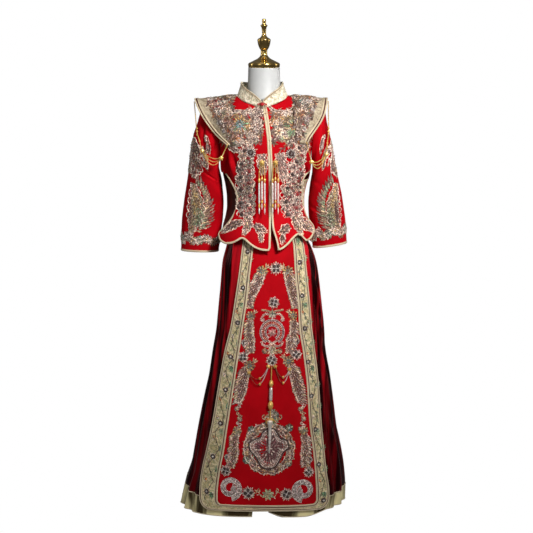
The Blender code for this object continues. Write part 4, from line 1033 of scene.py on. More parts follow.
def brocade(name, ground, dark, pale, green):
    """Brocade: curling stems from bent waves, small flower cells in a paler thread, and a ribbed ground."""
    f = Finish(name, metallic=0.15, specular_ior_level=0.4)
    flat = f.flat()
    bent = f.noise(flat, 55.0, 2.0, 1.5)
    stems = f.wave(flat, 26.0, "DIAGONAL", 9.0, 2.0, 3.0)
    flower = f.cells(flat, 75.0)
    petals = 1.0 - flower.between(0.12, 0.42)
    leaf = f.noise(flat, 120.0, 1.0).between(0.56, 0.64)
    rib = f.wave(flat, 330.0, "Y")
    line = stems.between(0.72, 0.9) - stems.between(0.94, 1.0)
    colour = f.mix(bent.between(0.35, 0.65), ground, pale)
    colour = f.mix(petals * 0.8, colour, pale)
    colour = f.mix(line * 0.75, colour, dark)
    colour = f.mix(leaf * 0.55, colour, green)
    return f.dress(
        base_color=colour,
        roughness=0.62 - petals * 0.18,
        normal=f.bump(petals + line * 0.7 + leaf * 0.5 + rib * 0.15, 0.0008, 0.7),
    )


def ribbed(name, pale, dark, turns=260.0):
    """Twisted cord or ribbed trim: a slanting wave for the strands, which also darkens the grooves between them as
    painted shade.
    """
    f = Finish(name, metallic=0.05, specular_ior_level=0.35)
    place = f.place()
    # the strand wave also darkens the colour in the grooves between strands: painted shade, with worn tone
    strand = f.wave(place, turns, "DIAGONAL", 1.2, 1.0, 8.0)
    worn = f.noise(place, 60.0, 3.0)
    return f.dress(
        base_color=f.mix(strand * 0.6 + worn * 0.4, dark, pale),
        roughness=worn * 0.2 + 0.5,
        normal=f.bump(strand, 0.0004, 0.5),
    )


def embroidered(name, metallic, rough):
    """Silk, metal thread and fine beads: the piece's own colour in small cells of random brightness, each darker
    towards its edge as painted shade between the beads, with painted glints.
    """
    f = Finish(name, metallic=metallic, specular_ior_level=0.45)
    flat, place = f.flat(), f.place()
    stitch = f.wave(flat, 480.0, "Y", 1.0, 1.0, 20.0)
    # painted shade: each bead cell darkens towards its edge, down to a near-black gap
    bead = 1.0 - f.cells(place, 290.0).between(0.3, 0.75)
    own = f.cells(place, 290.0, 1).between(0.3, 0.74)
    # painted glints: pale spots mixed into the colour
    glint = f.noise(place, 420.0, 2.0).between(0.58, 0.7)
    colour = f.mix((bead * 0.6 + 0.45) * (own * 1.0 + 0.26), (0.05, 0.012, 0.009), f.thread())
    colour = f.mix(glint * 0.38, colour, (1.0, 0.93, 0.84))
    return f.dress(
        base_color=colour,
        roughness=rough - glint * 0.2,
        normal=f.bump(bead + stitch * 0.4, 0.0007, 0.8),
    )


def beaded(name, metallic, rough):
    """Polished beads and bugles whose colour is the piece's own."""
    f = Finish(name, metallic=metallic, coat_weight=0.4, coat_roughness=0.1)
    worn = f.noise(f.place(), 240.0, 2.0)
    return f.dress(
        base_color=f.mix(worn.between(0.3, 0.8) * 0.35, f.thread(), (0.25, 0.15, 0.04)),
        roughness=worn * 0.12 + rough,
        normal=f.bump(worn, 0.0002, 0.3),
    )


def plain(name, colour, dark, rough, scale=40.0, depth=0.0001, **constants):
    """A smooth moulded or polished face with faint drift in its colour and gloss."""
    f = Finish(name, **constants)
    drift = f.noise(f.place(), scale, 4.0)
    fine = f.noise(f.place(), scale * 16, 2.0)
    return f.dress(
        base_color=f.mix(drift.between(0.35, 0.75) * 0.5, colour, dark),
        roughness=drift * 0.1 + rough,
        normal=f.bump(fine, depth, 0.25),
    )


RED_SILK = woven("red silk", (0.31, 0.0008, 0.0034), (0.44, 0.0014, 0.006), 0.6, specular_ior_level=0.04)
# The satins' near-black dark colours are painted fold shade; the wine satin also grows lighter towards the top as
# painted light.
WINE_SATIN = satin(
    "wine satin", (0.016, 0.0004, 0.0012), (0.6, 0.0085, 0.017), 0.25, 0.56, (0.5, 0.03, 0.04), 0.43, 0.66,
    30.0, 1.2,
)
GOLD_SATIN = satin(
    "gold satin", (0.045, 0.028, 0.01), (0.98, 0.86, 0.46), 0.2, 0.22, (0.9, 0.8, 0.5), 0.42, 0.535, 13.0
)
# The side linings are one cream cloth; this dark copy for the left one is painted shade.
LINING = woven("dark lining", (0.04, 0.01, 0.007), (0.075, 0.02, 0.014), 0.5, specular_ior_level=0.2)
CREAM_LINING = woven("cream lining", (0.5, 0.4, 0.24), (0.62, 0.52, 0.34), 0.5, specular_ior_level=0.2)
RED_CORD = woven("red cord", (0.3, 0.003, 0.005), (0.5, 0.006, 0.009), 0.42)
BROCADE = brocade(
    "gold brocade", (0.62, 0.53, 0.36), (0.15, 0.11, 0.06), (0.9, 0.82, 0.64), (0.22, 0.26, 0.14)
)
BORDER_BROCADE = brocade(
    "border brocade", (0.5, 0.4, 0.2), (0.07, 0.055, 0.022), (0.74, 0.62, 0.38), (0.2, 0.27, 0.12)
)
WING_BROCADE = brocade(
    "wing brocade", (0.34, 0.27, 0.18), (0.12, 0.07, 0.04), (0.5, 0.42, 0.29), (0.3, 0.22, 0.13)
)
RIB = ribbed("cream rib", (0.7, 0.6, 0.42), (0.42, 0.32, 0.19))
DARK_RIB = ribbed("dark red cord", (0.1, 0.01, 0.008), (0.035, 0.004, 0.004))
THREAD = embroidered("embroidery thread", 0.12, 0.38)
BEADS = beaded("beads", 0.45, 0.22)
FORM_WHITE = plain("form white", (0.5, 0.5, 0.487), (0.45, 0.45, 0.44), 0.42)
GILT = plain("gilt metal", (0.62, 0.42, 0.14), (0.4, 0.24, 0.06), 0.14, scale=25.0, metallic=1.0)

# Thread and bead colours, linear RGB
SILVER = np.array([0.96, 0.76, 0.62])
ROSE = np.array([0.6, 0.32, 0.28])
BLUSH = np.array([0.86, 0.48, 0.37])
GOLD = np.array([0.66, 0.42, 0.12])
STRAW = np.array([0.8, 0.58, 0.32])
SAGE = np.array([0.2, 0.25, 0.14])
MOSS = np.array([0.09, 0.13, 0.06])
TEAL = np.array([0.06, 0.22, 0.2])
SKY = np.array([0.18, 0.36, 0.44])
AMBER = np.array([0.72, 0.24, 0.06])
# Near black: as a ground a little wider than a shape it is painted shadow round it; as hearts, openings, stems and
# zones it is dark thread
DUSK = np.array([0.085, 0.026, 0.02])
MAGENTA = np.array([0.26, 0.05, 0.07])
BRASS = np.array([0.78, 0.48, 0.12])
PEARL = np.array([0.95, 0.88, 0.82])


# Grounds

WING_TURN = 0.062
SLEEVE_ROUND = 0.055
PIXEL_FOLDS = (1, 1, 1, 1, MILLI, MILLI)


def chest_flat(x, z):
    """The jacket's flat measure: x, and minus the way down the cloth from the shoulder line."""
    return x, -travel_for(shoulder_line(x) - z)


def body_point(sign, face):
    """A side of the jacket's body in its own flat measure, with u to the right of someone who faces it."""

    def point(u, v):
        x, z = sign * u, shoulder_line(u) - drop_after(-v)
        return joined(x, BODY[face][1] * body_depth(x, z, face), z)

    return point


def wing_point(u, v):
    """A wing by x and by the way down from its ridge, to the front where v is below 0."""
    way = np.abs(v)
    bend = np.minimum(way / WING_TURN, math.pi / 2)
    drop = WING_ROUND * (1 - np.cos(bend)) + np.maximum(way - WING_TURN * math.pi / 2, 0)
    z = RIDGE("z", np.abs(u)) - drop
    return joined(u, np.sign(v) * wing_depth(v < 0, u, z) * np.sin(bend), z)


def wing_flat(x, z):
    """A wing's flat measure, the inverse of wing_point on its front face."""
    drop = RIDGE("z", np.abs(x)) - z
    bend = np.arccos(np.clip(1 - drop / WING_ROUND, 0, 1))
    return x, -(WING_TURN * bend + np.maximum(drop - WING_ROUND, 0))


def sleeve_ground(side):
    """A sleeve by the way round from its front line, to the right, and the way down it."""
    sign, table = SIDES[side], SLEEVE[side]

    def point(u, v):
        return sleeve_point(side, np.clip(-v / SLEEVE_LENGTH, 0, 1), math.pi / 2 - sign * u / SLEEVE_ROUND)

    def flat(x, z):
        along = np.full_like(np.asarray(x, float), 0.5)
        for _ in range(20):
            middle_x, half_x = middle_half(table("inner_x", along), table("outer_x", along))
            middle_z, half_z = middle_half(table("inner_z", along), table("outer_z", along))
            share = np.clip((x - middle_x) / half_x, -0.98, 0.98)
            along = np.clip(along + (middle_z + half_z * share - z) / SLEEVE_LENGTH, 0.02, 0.99)
        return -sign * (np.arccos(share) - math.pi / 2) * SLEEVE_ROUND, -along * SLEEVE_LENGTH

    return Ground(point, flat)


def crease(ground, pixels="", flat=""):
    """Folds by their two ends, width and depth, with the ends in pixels or in the flat measure."""
    marks = rows_of(pixels, 6, PIXEL_FOLDS)
    ends = np.concatenate([ground.seen(marks[:, :2]), ground.seen(marks[:, 2:4]), marks[:, 4:]], 1)
    ground.folds = np.concatenate([ends, rows_of(flat, 6)])


CHEST = Ground(body_point(1, "front"), chest_flat)
crease(CHEST, """
225 147 232 184 7 -8, 229 150 236 182 4.2 5.5, 232 152 240 176 5 -7, 221 162 231 194 4.5 5,
223 170 235 198 5 -6, 305 160 299 192 4.5 -4, 309 172 297 184 3.5 -2.6, 258 176 250 228 6 -2.4,
281 170 286 226 6 -2.2, 241 196 232 232 5 2.2, 297 196 309 230 5 2.4, 268 150 262 200 5 1.6,
262 204 255 236 4 -2.2, 288 208 292 232 4 -2""")
BACK_CLOTH = Ground(body_point(-1, "back"), chest_flat)
crease(BACK_CLOTH, flat="""
-118 -170 -60 -340 8 -5, -130 -240 -85 -420 7 -4, -70 -100 -40 -300 10 -3, 112 -160 70 -360 8 -5,
126 -260 80 -400 6 -3.6, 45 -120 30 -330 10 -2.8, -30 -340 -52 -500 8 -4, 15 -360 34 -500 7 -3.4,
85 -380 108 -490 6 3, -95 -400 -112 -490 6 3.2, -80 -345 70 -360 6 -2.6""")
WINGS = Ground(wing_point, wing_flat, lift=WING_WALL)
SLEEVES = {side: sleeve_ground(side) for side in SIDES}
crease(SLEEVES["left"], """
211 110 203 152 7 -11, 214.5 114 206 158 4 5.5, 217 124 209 170 6 -11, 220 134 213 176 4.5 5,
203 172 217 180 4.5 -5.5, 196 190 215 172 3.5 -2.8, 192 196 205 206 4.5 -2.4, 212 196 203 236 5 -3.4,
190 214 188 240 4.5 -2.6, 204 214 198 247 4 2.6""", """
100 -100 130 -240 7 -4.5, 140 -160 105 -340 6 -3.6, 150 -260 120 -420 7 -4,
-80 -140 -95 -300 7 -3.6, -100 -280 -85 -440 6 -3""")
crease(SLEEVES["right"], """
317 118 329 158 5 -4.2, 311 140 320 172 4.5 -3.8, 311 205 321 213 4.5 -4.4, 313 178 327 190 4 -3,
318 214 322 238 4.5 -3.2, 334 196 340 236 5 -3.4, 327 208 331 240 4 2.6""", """
-100 -100 -130 -240 7 -4.5, -140 -180 -105 -320 6 -3.6, -150 -280 -120 -440 7 -4,
80 -120 95 -280 7 -3.6, 100 -300 85 -420 6 -3""")
PANEL_CLOTH = Ground(panel_surface, lambda x, z: (x, z))
crease(PANEL_CLOTH, flat="""
28 920 20 660 12 -1.6, -30 520 -60 160 16 -2, 85 600 105 240 15 -1.8, 15 420 0 100 14 1.4""")


# The jacket


def edge_of(grid, inside, loop, inset, wrap=False):
    """Points and normals a way in from a grid's edge: the edge's direction crossed with the normal."""
    normal = facing_out(grid_normals(grid, wrap), grid, inside)
    rows, columns = np.array(loop).T
    path, up = grid[rows, columns], normal[rows, columns]
    inward = unit(np.cross(up, np.gradient(path, axis=0)))
    middle = grid.reshape(-1, 3).mean(0)
    return path + facing_in(inward, middle - path) * inset, up


def facing_in(inward, towards):
    """Steps turned over where they lead away from the middle of the piece."""
    return inward if (inward * towards).sum() >= 0 else -inward


def strip(path, up, width, thick, lift, sides, count):
    """A flat cord along a cloth's edge: an ellipse carried along it, its long axis on the cloth."""
    path, up = smoothed(path, 1), smoothed(up, 2)
    both = spaced(np.concatenate([path, up], 1), count)
    path, up = both[:, :3], unit(both[:, 3:])
    return tube(path + up * lift, width / 2, sides, thick / width, up)


def cut_of(grid, wrap=False):
    """The flat size that a surface takes: its longest row, its longest column and its area."""
    if wrap:
        grid = np.concatenate([grid, grid[:, :1]], 1)
    across, down = (np.linalg.norm(np.diff(grid, axis=way), axis=-1).sum(way).max() for way in (1, 0))
    right, up = grid[:-1, 1:], grid[1:, :-1]
    halves = (np.cross(up - base, right - base) for base in (grid[:-1, :-1], grid[1:, 1:]))
    area = sum(np.linalg.norm(half, axis=-1).sum() / 2 for half in halves)
    return {"flat": (float(across), float(down)), "area": float(area)}


def bound(name, grid, inside, loop, count, node):
    """The rib that binds a front or the back: a strip half its width in from the cloth's edge."""
    path, up = edge_of(grid, inside, loop, BINDING / 2)
    ribs = strip(path, up, BINDING, 0.003, CLOTH + 0.0004, 12, count)
    return lofted(name, [ribs], RIB, "cream_binding", [node])


def build_jacket_body():
    """The fronts and the back: cloth on their panel grids, with ribs on the free edges."""
    axis = np.array([0, 0, 1.1])
    for side in SIDES:
        grid = front_grid(side)
        uv = np.stack(CHEST.flat(grid[..., 0], grid[..., 2]), -1)
        front = cloth(
            f"front_cloth_{side}", grid, axis, RED_SILK, [f"jacket_front_{side}"], "red_cloth", uv=uv,
            folds=CHEST.folds,
        )
        rows, columns = grid.shape[:2]
        loop = [(i, 0) for i in range(rows)]
        loop += [(rows - 1, j) for j in range(1, columns)]
        loop += [(i, columns - 1) for i in range(rows - 2, ROWS_ABOVE, -1)]
        binding = bound(f"front_rib_{side}", grid, axis, loop, 340, f"front_binding_{side}")
        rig.sheet(front, held="draped", rests_on=["form_torso"], with_pieces=[binding], **cut_of(grid))
    grid = back_grid()
    uv = np.stack(BACK_CLOTH.flat(-grid[..., 0], grid[..., 2]), -1)
    folds = BACK_CLOTH.folds
    back = cloth("back_cloth", grid, axis, RED_SILK, ["jacket_back"], "red_cloth", uv=uv, folds=folds)
    loop = [(len(grid) - 1, j) for j in range(grid.shape[1])]
    binding = bound("back_rib", grid, axis, loop, 200, "back_binding")
    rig.sheet(back, held="draped", rests_on=["form_torso"], with_pieces=[binding], **cut_of(grid))


def build_linings():
    """The linings of the side slits: thin cloth on their own grids."""
    # painted shade: the left lining takes a dark copy of the cream lining
    for side, finish in (("left", LINING), ("right", CREAM_LINING)):
        grid = lining_grid(side)
        piece = cloth(
            f"lining_cloth_{side}", grid, np.array([0, 0, 1.0]), finish, [f"side_lining_{side}"],
            "dark_lining", wall=0.0009, out=0.001, uv=grid[..., [0, 2]] * (1.3, 1.0),
        )
        rests = [f"front_cloth_{side}", "back_cloth"]
        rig.sheet(piece, held="stretched", rests_on=rests, **cut_of(grid))


def build_sleeves():
    """Each sleeve: cloth round its rings, and a rib set in by half its width from the cuff."""
    for side, sign in SIDES.items():
        grid = sleeve_grid(side)
        inside = grid.mean(axis=1, keepdims=True)
        along, turn = np.meshgrid(SLEEVE_ROWS, circle(grid.shape[1]), indexing="ij")
        uv = joined(-sign * (turn - math.pi / 2) * SLEEVE_ROUND, -along * SLEEVE_LENGTH)
        piece = cloth(
            f"sleeve_cloth_{side}", grid, inside, RED_SILK, [f"sleeve_{side}"], "red_cloth", uv=uv,
            folds=SLEEVES[side].folds, wrap=True,
        )
        normal = facing_out(grid_normals(grid, wrap=True), grid, inside)
        path = grid[-1] - unit(grid[-1] - grid[-2]) * CUFF_BINDING / 2
        path, up = (np.concatenate([a, a[:1]]) for a in (path, normal[-1]))
        ribs = strip(path, up, CUFF_BINDING, 0.0028, CLOTH, 12, 120)
        binding = lofted(f"cuff_rib_{side}", [ribs], RIB, "cream_binding", [f"cuff_binding_{side}"])
        cut = cut_of(grid, wrap=True)
        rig.sheet(piece, held="hung", rests_on=["form_torso"], with_pieces=[binding], **cut)


def build_collar():
    """The collar: cloth with two ribs and a dark piping between them along its free edges."""
    grid = collar_grid()
    inside = np.array([0, 0, 1.37])
    far = lengths(grid[0])
    uv = joined(far[None, :] + 0 * grid[..., 0], grid[..., 2])
    piece = cloth("collar_cloth", grid, inside, BROCADE, ["collar"], "gold_brocade", uv=uv)
    last, columns = grid.shape[0] - 1, grid.shape[1]
    loop = [(i, 0) for i in range(last)] + [(last, j) for j in range(columns)]
    loop += [(i, columns - 1) for i in range(last - 1, -1, -1)]

    def edging(inset, width, thick, rise, sides=12):
        return strip(*edge_of(grid, inside, loop, inset), width, thick, CLOTH + rise, sides, 260)

    bands = [edging(0.0016, 0.0032, 0.003, 0.0006), edging(0.0056, 0.003, 0.003, 0.0004)]
    ribs = lofted("collar_rib", bands, RIB, "cream_binding", ["collar_binding"])
    dark = lofted("collar_piping", [edging(0.0036, 0.0016, 0.002, 0.0006, 8)], DARK_RIB, "red_cloth")
    rests = ["front_cloth_left", "back_cloth"]
    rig.sheet(piece, held="stretched", rests_on=rests, with_pieces=[ribs, dark], **cut_of(grid))
    build_knot_button((grid[-1, 0] + grid[0, -1]) / 2)


def build_knot_button(middle):
    """A ball knot: three closed turns of cord that swing in and out twice, with a loop each side."""
    turn = np.linspace(0, 2 * math.pi, 49)
    centre = middle + (0, -0.0075, 0)
    bodies = []
    for tilt in (0.0, 2.1, 4.2):
        x, y, z = 0.004 * np.cos(turn), 0.004 * np.sin(turn), 0.0014 * np.sin(2 * turn)
        cos, sin = math.cos(tilt), math.sin(tilt)
        path = joined(x, y * cos - z * sin, y * sin + z * cos)
        bodies.append(tube(centre + path, 0.0019, 10, 1.0, (0.3, 0.2, 1)))
    for sign in (-1, 1):
        reach = 0.003 + 0.0115 * np.sin(turn / 2)
        path = joined(sign * reach, 0.004 + 0 * turn, 0.0026 * np.cos(turn / 2))
        bodies.append(tube(centre + path, 0.0013, 8, 1.0, (0, 1, 0.1)))
    lofted("button_knot", bodies, RED_CORD, "red_cloth", ["knot_button"])


def build_wings():
    """Each wing: cloth over the ridge, with two ribs and a dark piping down its outer edge."""
    for side, sign in SIDES.items():
        grid = wing_grid(side)
        inside = np.array([sign * 0.14, 0, 1.15])
        far = lengths(grid[:, 8])
        uv = joined(grid[..., 0], (far[len(far) // 2] - far)[:, None] + 0 * grid[..., 0])
        piece = cloth(
            f"wing_cloth_{side}", grid, inside, WING_BROCADE, [f"shoulder_wing_{side}"], "gold_brocade",
            wall=0.0018, out=WING_WALL, uv=uv,
        )
        normal = facing_out(grid_normals(grid), grid, inside)[:, -1]

        def edging(share, thick, rise, sides=12):
            path = grid[:, -1] + (grid[:, -2] - grid[:, -1]) * share
            return strip(path, normal, 0.005, thick, WING_WALL + rise, sides, 150)

        bands = [edging(0.16, 0.0034, 0.001), edging(0.8, 0.0034, 0.0008)]
        ribs = lofted(f"wing_rib_{side}", bands, RIB, "cream_binding", [f"wing_band_{side}"])
        dark = lofted(f"wing_piping_{side}", [edging(0.48, 0.0026, 0.0006, 8)], DARK_RIB, "red_cloth")
        rests = [f"front_cloth_{side}"]
        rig.sheet(piece, held="folded", rests_on=rests, with_pieces=[ribs, dark], **cut_of(grid))


# The skirt

SATIN_COLUMNS = {"front_left": 90, "front_right": 90, "back_left": 110, "back_right": 110}
SKIRT_AXIS = np.array([0.01, 0, 0.4])
SATIN_TOP = 0.9545
SATIN_FOLDS = {
    "front_left": """
200 860 270 550 10 -4, 240 800 330 420 12 3.6, 300 600 380 200 12 -5, 220 500 260 160 10 -3.6""",
    "front_right": """
130 840 220 660 9 -4.6, 140 760 210 600 7 3.4, 160 680 240 540 8 -4,
180 580 260 400 9 -4, 220 500 270 180 11 3.6, 190 440 300 140 10 -4.2""",
    "back_left": """
60 880 100 500 11 -4.4, 160 800 140 360 12 -3.8, 220 560 280 140 12 4, 100 420 70 120 10 -3.6""",
    "back_right": """
50 840 80 460 10 -4, 130 900 180 520 11 3.6, 200 700 180 300 12 -4.4, 280 460 330 120 11 -3.6""",
}


def lengths_along(grid):
    """How far along its row each point of a grid lies."""
    step = np.linalg.norm(np.diff(grid, axis=1), axis=-1)
    return np.concatenate([np.zeros((len(grid), 1)), np.cumsum(step, axis=1)], 1)


def hem_foot(gore, grid_x):
    """The band's lower edge: it rises a little from the slit on the left and dips on the right."""
    if gore == "front_left":
        return SKIRT_HEM + 0.004 + 0 * grid_x
    if gore == "front_right":
        return SKIRT_HEM + 0.01 * smooth(grid_x, (0.015, 0.06, 0.13, 0.2), (1.9, 0.3, 0.2, 1.8))
    return SKIRT_HEM + 0 * grid_x


def flat_of(grid):
    """The flat measure of a skirt piece: the way along each row, and the height."""
    return joined(lengths_along(grid), grid[..., 2])


def build_satin():
    """The back right gore's flat measure starts farther on, so that the two backs don't mirror each other."""
    for gore, columns in SATIN_COLUMNS.items():
        top = hem_band_top(gore, columns)[None, :]
        foot_of_satin = top - 0.002
        rows = SATIN_TOP + (foot_of_satin - SATIN_TOP) * np.linspace(0, 1, 78)[:, None]
        grid = gore_grid(gore, rows, columns)
        uv = flat_of(grid)
        folds = fold_height(rows_of(SATIN_FOLDS[gore], 6), uv[..., 0], uv[..., 1])
        start = (0.9 if gore == "back_right" else 0.0, 0)
        piece = cloth(
            f"satin_cloth_{gore}", grid, SKIRT_AXIS, WINE_SATIN, [f"satin_{gore}"], "wine_satin",
            uv=uv + start, shift=folds,
        )
        foot = hem_foot(gore, gore_grid(gore, np.full((1, columns), SKIRT_HEM), columns)[..., 0])
        rows = top + 0.001 + (foot - top - 0.001) * np.linspace(0, 1, 16)[:, None]
        band_grid = gore_grid(gore, rows, columns)
        band = cloth(
            f"hem_cloth_{gore}", band_grid, SKIRT_AXIS, GOLD_SATIN, [f"hem_band_{gore}"], "gold_satin",
            uv=flat_of(band_grid), out=CLOTH + 0.0006,
        )
        cords = []
        for row in (0, len(band_grid) - 1):
            path, up = edge_of(band_grid, SKIRT_AXIS, [(row, j) for j in range(columns)], 0.0015)
            cords.append(strip(path, up, 0.003, 0.0022, CLOTH + 0.0007, 8, 160))
        edging = lofted(f"hem_cord_{gore}", cords, RIB, "cream_binding")
        rests = ["skirt_waistband_cloth"]
        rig.sheet(piece, held="gathered", rests_on=rests, with_pieces=[band, edging], **cut_of(grid))
        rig.sheet(band, held="hung", rests_on=[f"satin_cloth_{gore}"], **cut_of(band_grid))


def build_waistband():
    """The waistband: the form's own section, drawn out by a hair, round from top to foot."""
    heights = np.linspace(WAIST_HIGH - 0.0005, WAIST_LOW + 0.0003, 10)
    z, turn = np.meshgrid(heights, circle(96), indexing="ij")
    grid = form_ring(turn, z, -0.0005)
    piece = cloth(
        "skirt_waistband_cloth", grid, np.array([0.005, 0, 0.97]), WINE_SATIN, ["skirt_waistband"],
        "wine_satin", wall=0.0022, out=0.003, uv=joined(turn * 0.11, z), wrap=True,
    )
    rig.sheet(piece, held="stretched", rests_on=["form_torso"], **cut_of(grid, wrap=True))


def panel_cloth_grid(rows=110, columns=101):
    """The panel: straight columns, whose feet rise at the corners as a quarter circle."""
    column = np.linspace(-2, 2, columns)[None, :]
    foot_x = panel_x(column, np.full_like(column, PANEL_FOOT))
    outer = np.where(column < 0, PANEL("outer_left", PANEL_FOOT), PANEL("outer_right", PANEL_FOOT))
    past = np.clip((PANEL_CORNER - np.abs(outer - foot_x)) / PANEL_CORNER, 0, 0.98)
    foot = PANEL_FOOT + PANEL_CORNER * (1 - np.sqrt(1 - past**2))
    z = foot + (WAIST_LOW - SEAM / 2 - foot) * np.linspace(0, 1, rows)[:, None]
    return panel_surface(panel_x(column + 0 * z, z), z)


def border_edge(which, foot, corner, straight=90, round_steps=14, across=70):
    """One edge of the border as x and z: down the left, round a corner, along the foot and up the right."""
    top = WAIST_LOW - SEAM / 2
    z = np.linspace(top, foot + corner, straight)
    turn = np.linspace(0, math.pi / 2, round_steps + 2)[1:-1]
    left = joined(PANEL(f"{which}_left", z), z)
    right = joined(PANEL(f"{which}_right", z), z)
    left_x, right_x = left[-1, 0], right[-1, 0]
    low_z = foot + corner * (1 - np.sin(turn))
    left_turn = joined(left_x + corner * (1 - np.cos(turn)), low_z)
    right_turn = joined(right_x - corner * (1 - np.cos(turn)), low_z)
    x = np.linspace(left_x + corner, right_x - corner, across)
    along = joined(x, np.full_like(x, foot))
    return np.concatenate([left, left_turn, along, right_turn[::-1], right[::-1]])


def build_front_panel():
    """The panel, its border between two edge lines, and three cords along each of those."""
    grid = panel_cloth_grid()
    uv = grid[..., [0, 2]]
    panel = cloth(
        "panel_cloth", grid, SKIRT_AXIS, RED_SILK, ["skirt_front_panel"], "red_cloth", uv=uv,
        folds=PANEL_CLOTH.folds,
    )
    outer = border_edge("outer", PANEL_FOOT, PANEL_CORNER)
    inner = border_edge("inner", PANEL_FOOT + BORDER_FOOT, 0.014)
    share = np.linspace(0, 1, 9)[None, :, None]
    flat = outer[:, None, :] + (inner - outer)[:, None, :] * share
    border_grid = panel_surface(flat[..., 0], flat[..., 1])
    raised = CLOTH + LAY + TRIM
    border = cloth(
        "border_cloth", border_grid, SKIRT_AXIS, BORDER_BROCADE, ["panel_border"], "gold_brocade",
        wall=0.001, out=raised, uv=flat, shift=fold_height(PANEL_CLOTH.folds, flat[..., 0], flat[..., 1]),
    )
    normal = facing_out(grid_normals(border_grid), border_grid, SKIRT_AXIS)
    pale, dark = [], []
    for column, inset, width, bodies in (
        (0, 0.0022, 0.0042, pale), (0, 0.0056, 0.0018, dark), (0, 0.0084, 0.0028, pale),
        (-1, 0.0028, 0.0056, pale), (-1, 0.0072, 0.0024, dark), (-1, 0.0102, 0.003, pale),
    ):
        other = border_grid[:, 1 if column == 0 else -2] - border_grid[:, column]
        other /= np.linalg.norm(other, axis=1, keepdims=True)
        path = border_grid[:, column] + other * inset
        bodies.append(strip(path, normal[:, column], width, 0.0024, raised + 0.0002, 8, 320))
    ribs = lofted("border_rib", pale, RIB, "cream_binding")
    piping = lofted("border_piping", dark, DARK_RIB, "red_cloth")
    along = [border, ribs, piping]
    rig.sheet(panel, held="hung", rests_on=["skirt_waistband_cloth"], with_pieces=along, **cut_of(grid))
    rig.sheet(border, held="stretched", rests_on=["panel_cloth"], **cut_of(border_grid))


# The dress form

CAP = rows_of("""
0 1604.5, 5 1604, 6.6 1600, 6.2 1588, 11.7 1583, 8 1576, 6.5 1556.7, 10 1547, 21.5 1537.5, 19.6 1523.4,
15 1510.6, 10.4 1502.6, 10.4 1491.2, 19.6 1478.3, 35 1470, 51.6 1459, 50.3 1447.8""", 2)
BASE = rows_of("19 40, 21 26, 45 19, 110 12, 115 6, 115 0", 2)


def turned(name, profile, finish, slot, nodes, steps=72, fine=70):
    """A round body: a profile of radius and height, as a smooth curve, carried round the upright axis."""
    path = np.concatenate([curved(profile, fine), np.array(profile)[-1:]])
    turn = circle(steps)[None, :]
    radius = np.maximum(path[:, :1], 0.0002)
    rings = joined(radius * np.sin(turn), -radius * np.cos(turn), path[:, 1:] + 0 * turn)
    return lofted(name, [rings], finish, slot, nodes)


def build_form():
    """The form's sections, its shoulders and rings up the neck, then the turned cap, pole and base."""
    turn = circle(96)
    rings = [form_ring(turn, z + 0 * turn) for z in np.linspace(0.8, 1.25, 40)]
    rings += [shoulder_ring(turn, z) for z in np.linspace(1.285, 1.345, 13)]
    heights = np.array(list(NECK))
    for z in np.linspace(heights[0], heights[-1], 30):
        radius = smooth(z, heights, list(NECK.values()))
        depth = radius * np.where(np.cos(turn) >= 0, 1, NECK_FLAT)
        rings.append(joined(radius * np.sin(turn), -depth * np.cos(turn), z + 0 * turn))
    lofted("form_shell", [np.array(rings)], FORM_WHITE, "form_white", ["form_torso"])
    turned("neck_cap", CAP, GILT, "gold_metal", ["form_neck_cap"])
    top = FORM_FOOT - SEAM / 2
    pole = ((POLE_RADIUS, top), (POLE_RADIUS, (top + POLE_FOOT) / 2), (POLE_RADIUS, POLE_FOOT))
    turned("stand_pole", pole, GILT, "gold_metal", ["form_pole"], 48, 12)
    turned("stand_base", BASE, GILT, "gold_metal", ["form_base"])


# Beads


def bead_string(path, radii, tints, sides=9):
    """One closed body whose radius and colour change along its path."""
    return tube(path, np.maximum(radii, 0.0002), sides, 1.0, (0.2, 1.0, 0.1)), tints


def beaded_path(path, size, tint, dark=0.45, per=6):
    """A string of small beads: the radius is the root of a half circle that repeats along the path, and each bead
    darkens towards its ends by the share dark, as painted shade.
    """
    count = max(int(lengths(path)[-1] / (size * 1.8)), 2)
    line = spaced(path, count * per + 1)
    phase = (np.arange(len(line)) % per) / per * 2 - 1
    round_share = np.sqrt(np.maximum(1 - phase**2, 0))
    radii = size * (0.3 + 0.7 * round_share)
    # painted shade: darker where the beads narrow and meet
    tints = np.asarray(tint)[None, :] * (dark + (1 - dark) * round_share)[:, None]
    return bead_string(line, radii, tints, 7)


def ball(centre, size, tint, squash=1.0, rings=11, sides=14):
    """A ball as a string: its radius is the sine of the angle from its top."""
    turn = np.linspace(0.02, math.pi - 0.02, rings)
    line = np.asarray(centre) + joined(0 * turn, 0 * turn, size * squash * np.cos(turn))
    return bead_string(line, size * np.sin(turn), np.repeat(np.asarray(tint)[None], rings, 0), sides)


# Rings of a metal flower by reach, height and brightness; the darker rim side and hollow are painted shade
PETAL_RINGS = rows_of("1 0 0.5, 1 0.35 0.8, 0.8 0.85 1, 0.5 0.65 0.55, 0.3 1.3 1.1, 0.1 1.5 1.1", 3, 1)


def petalled(centre, size, petals, tint, deep=0.35, thick=0.0022):
    """A flat flower of metal that faces the front: its rings swell with the cosine of the petals."""
    turn = circle(petals * 8)
    shape = 1 - deep * (0.5 - 0.5 * np.cos(petals * turn))
    rings, tints = [], []
    for reach, high, shade in PETAL_RINGS:
        outline = shape if reach > 0.45 else 1.0
        x, z = size * reach * outline * np.sin(turn), size * reach * outline * np.cos(turn)
        rings.append(np.asarray(centre) + joined(x, -thick * high + 0 * x, z))
        # painted shade: each ring's colour scaled by its brightness from PETAL_RINGS
        tints.append(np.asarray(tint) * shade)
    return np.array(rings), np.array(tints)


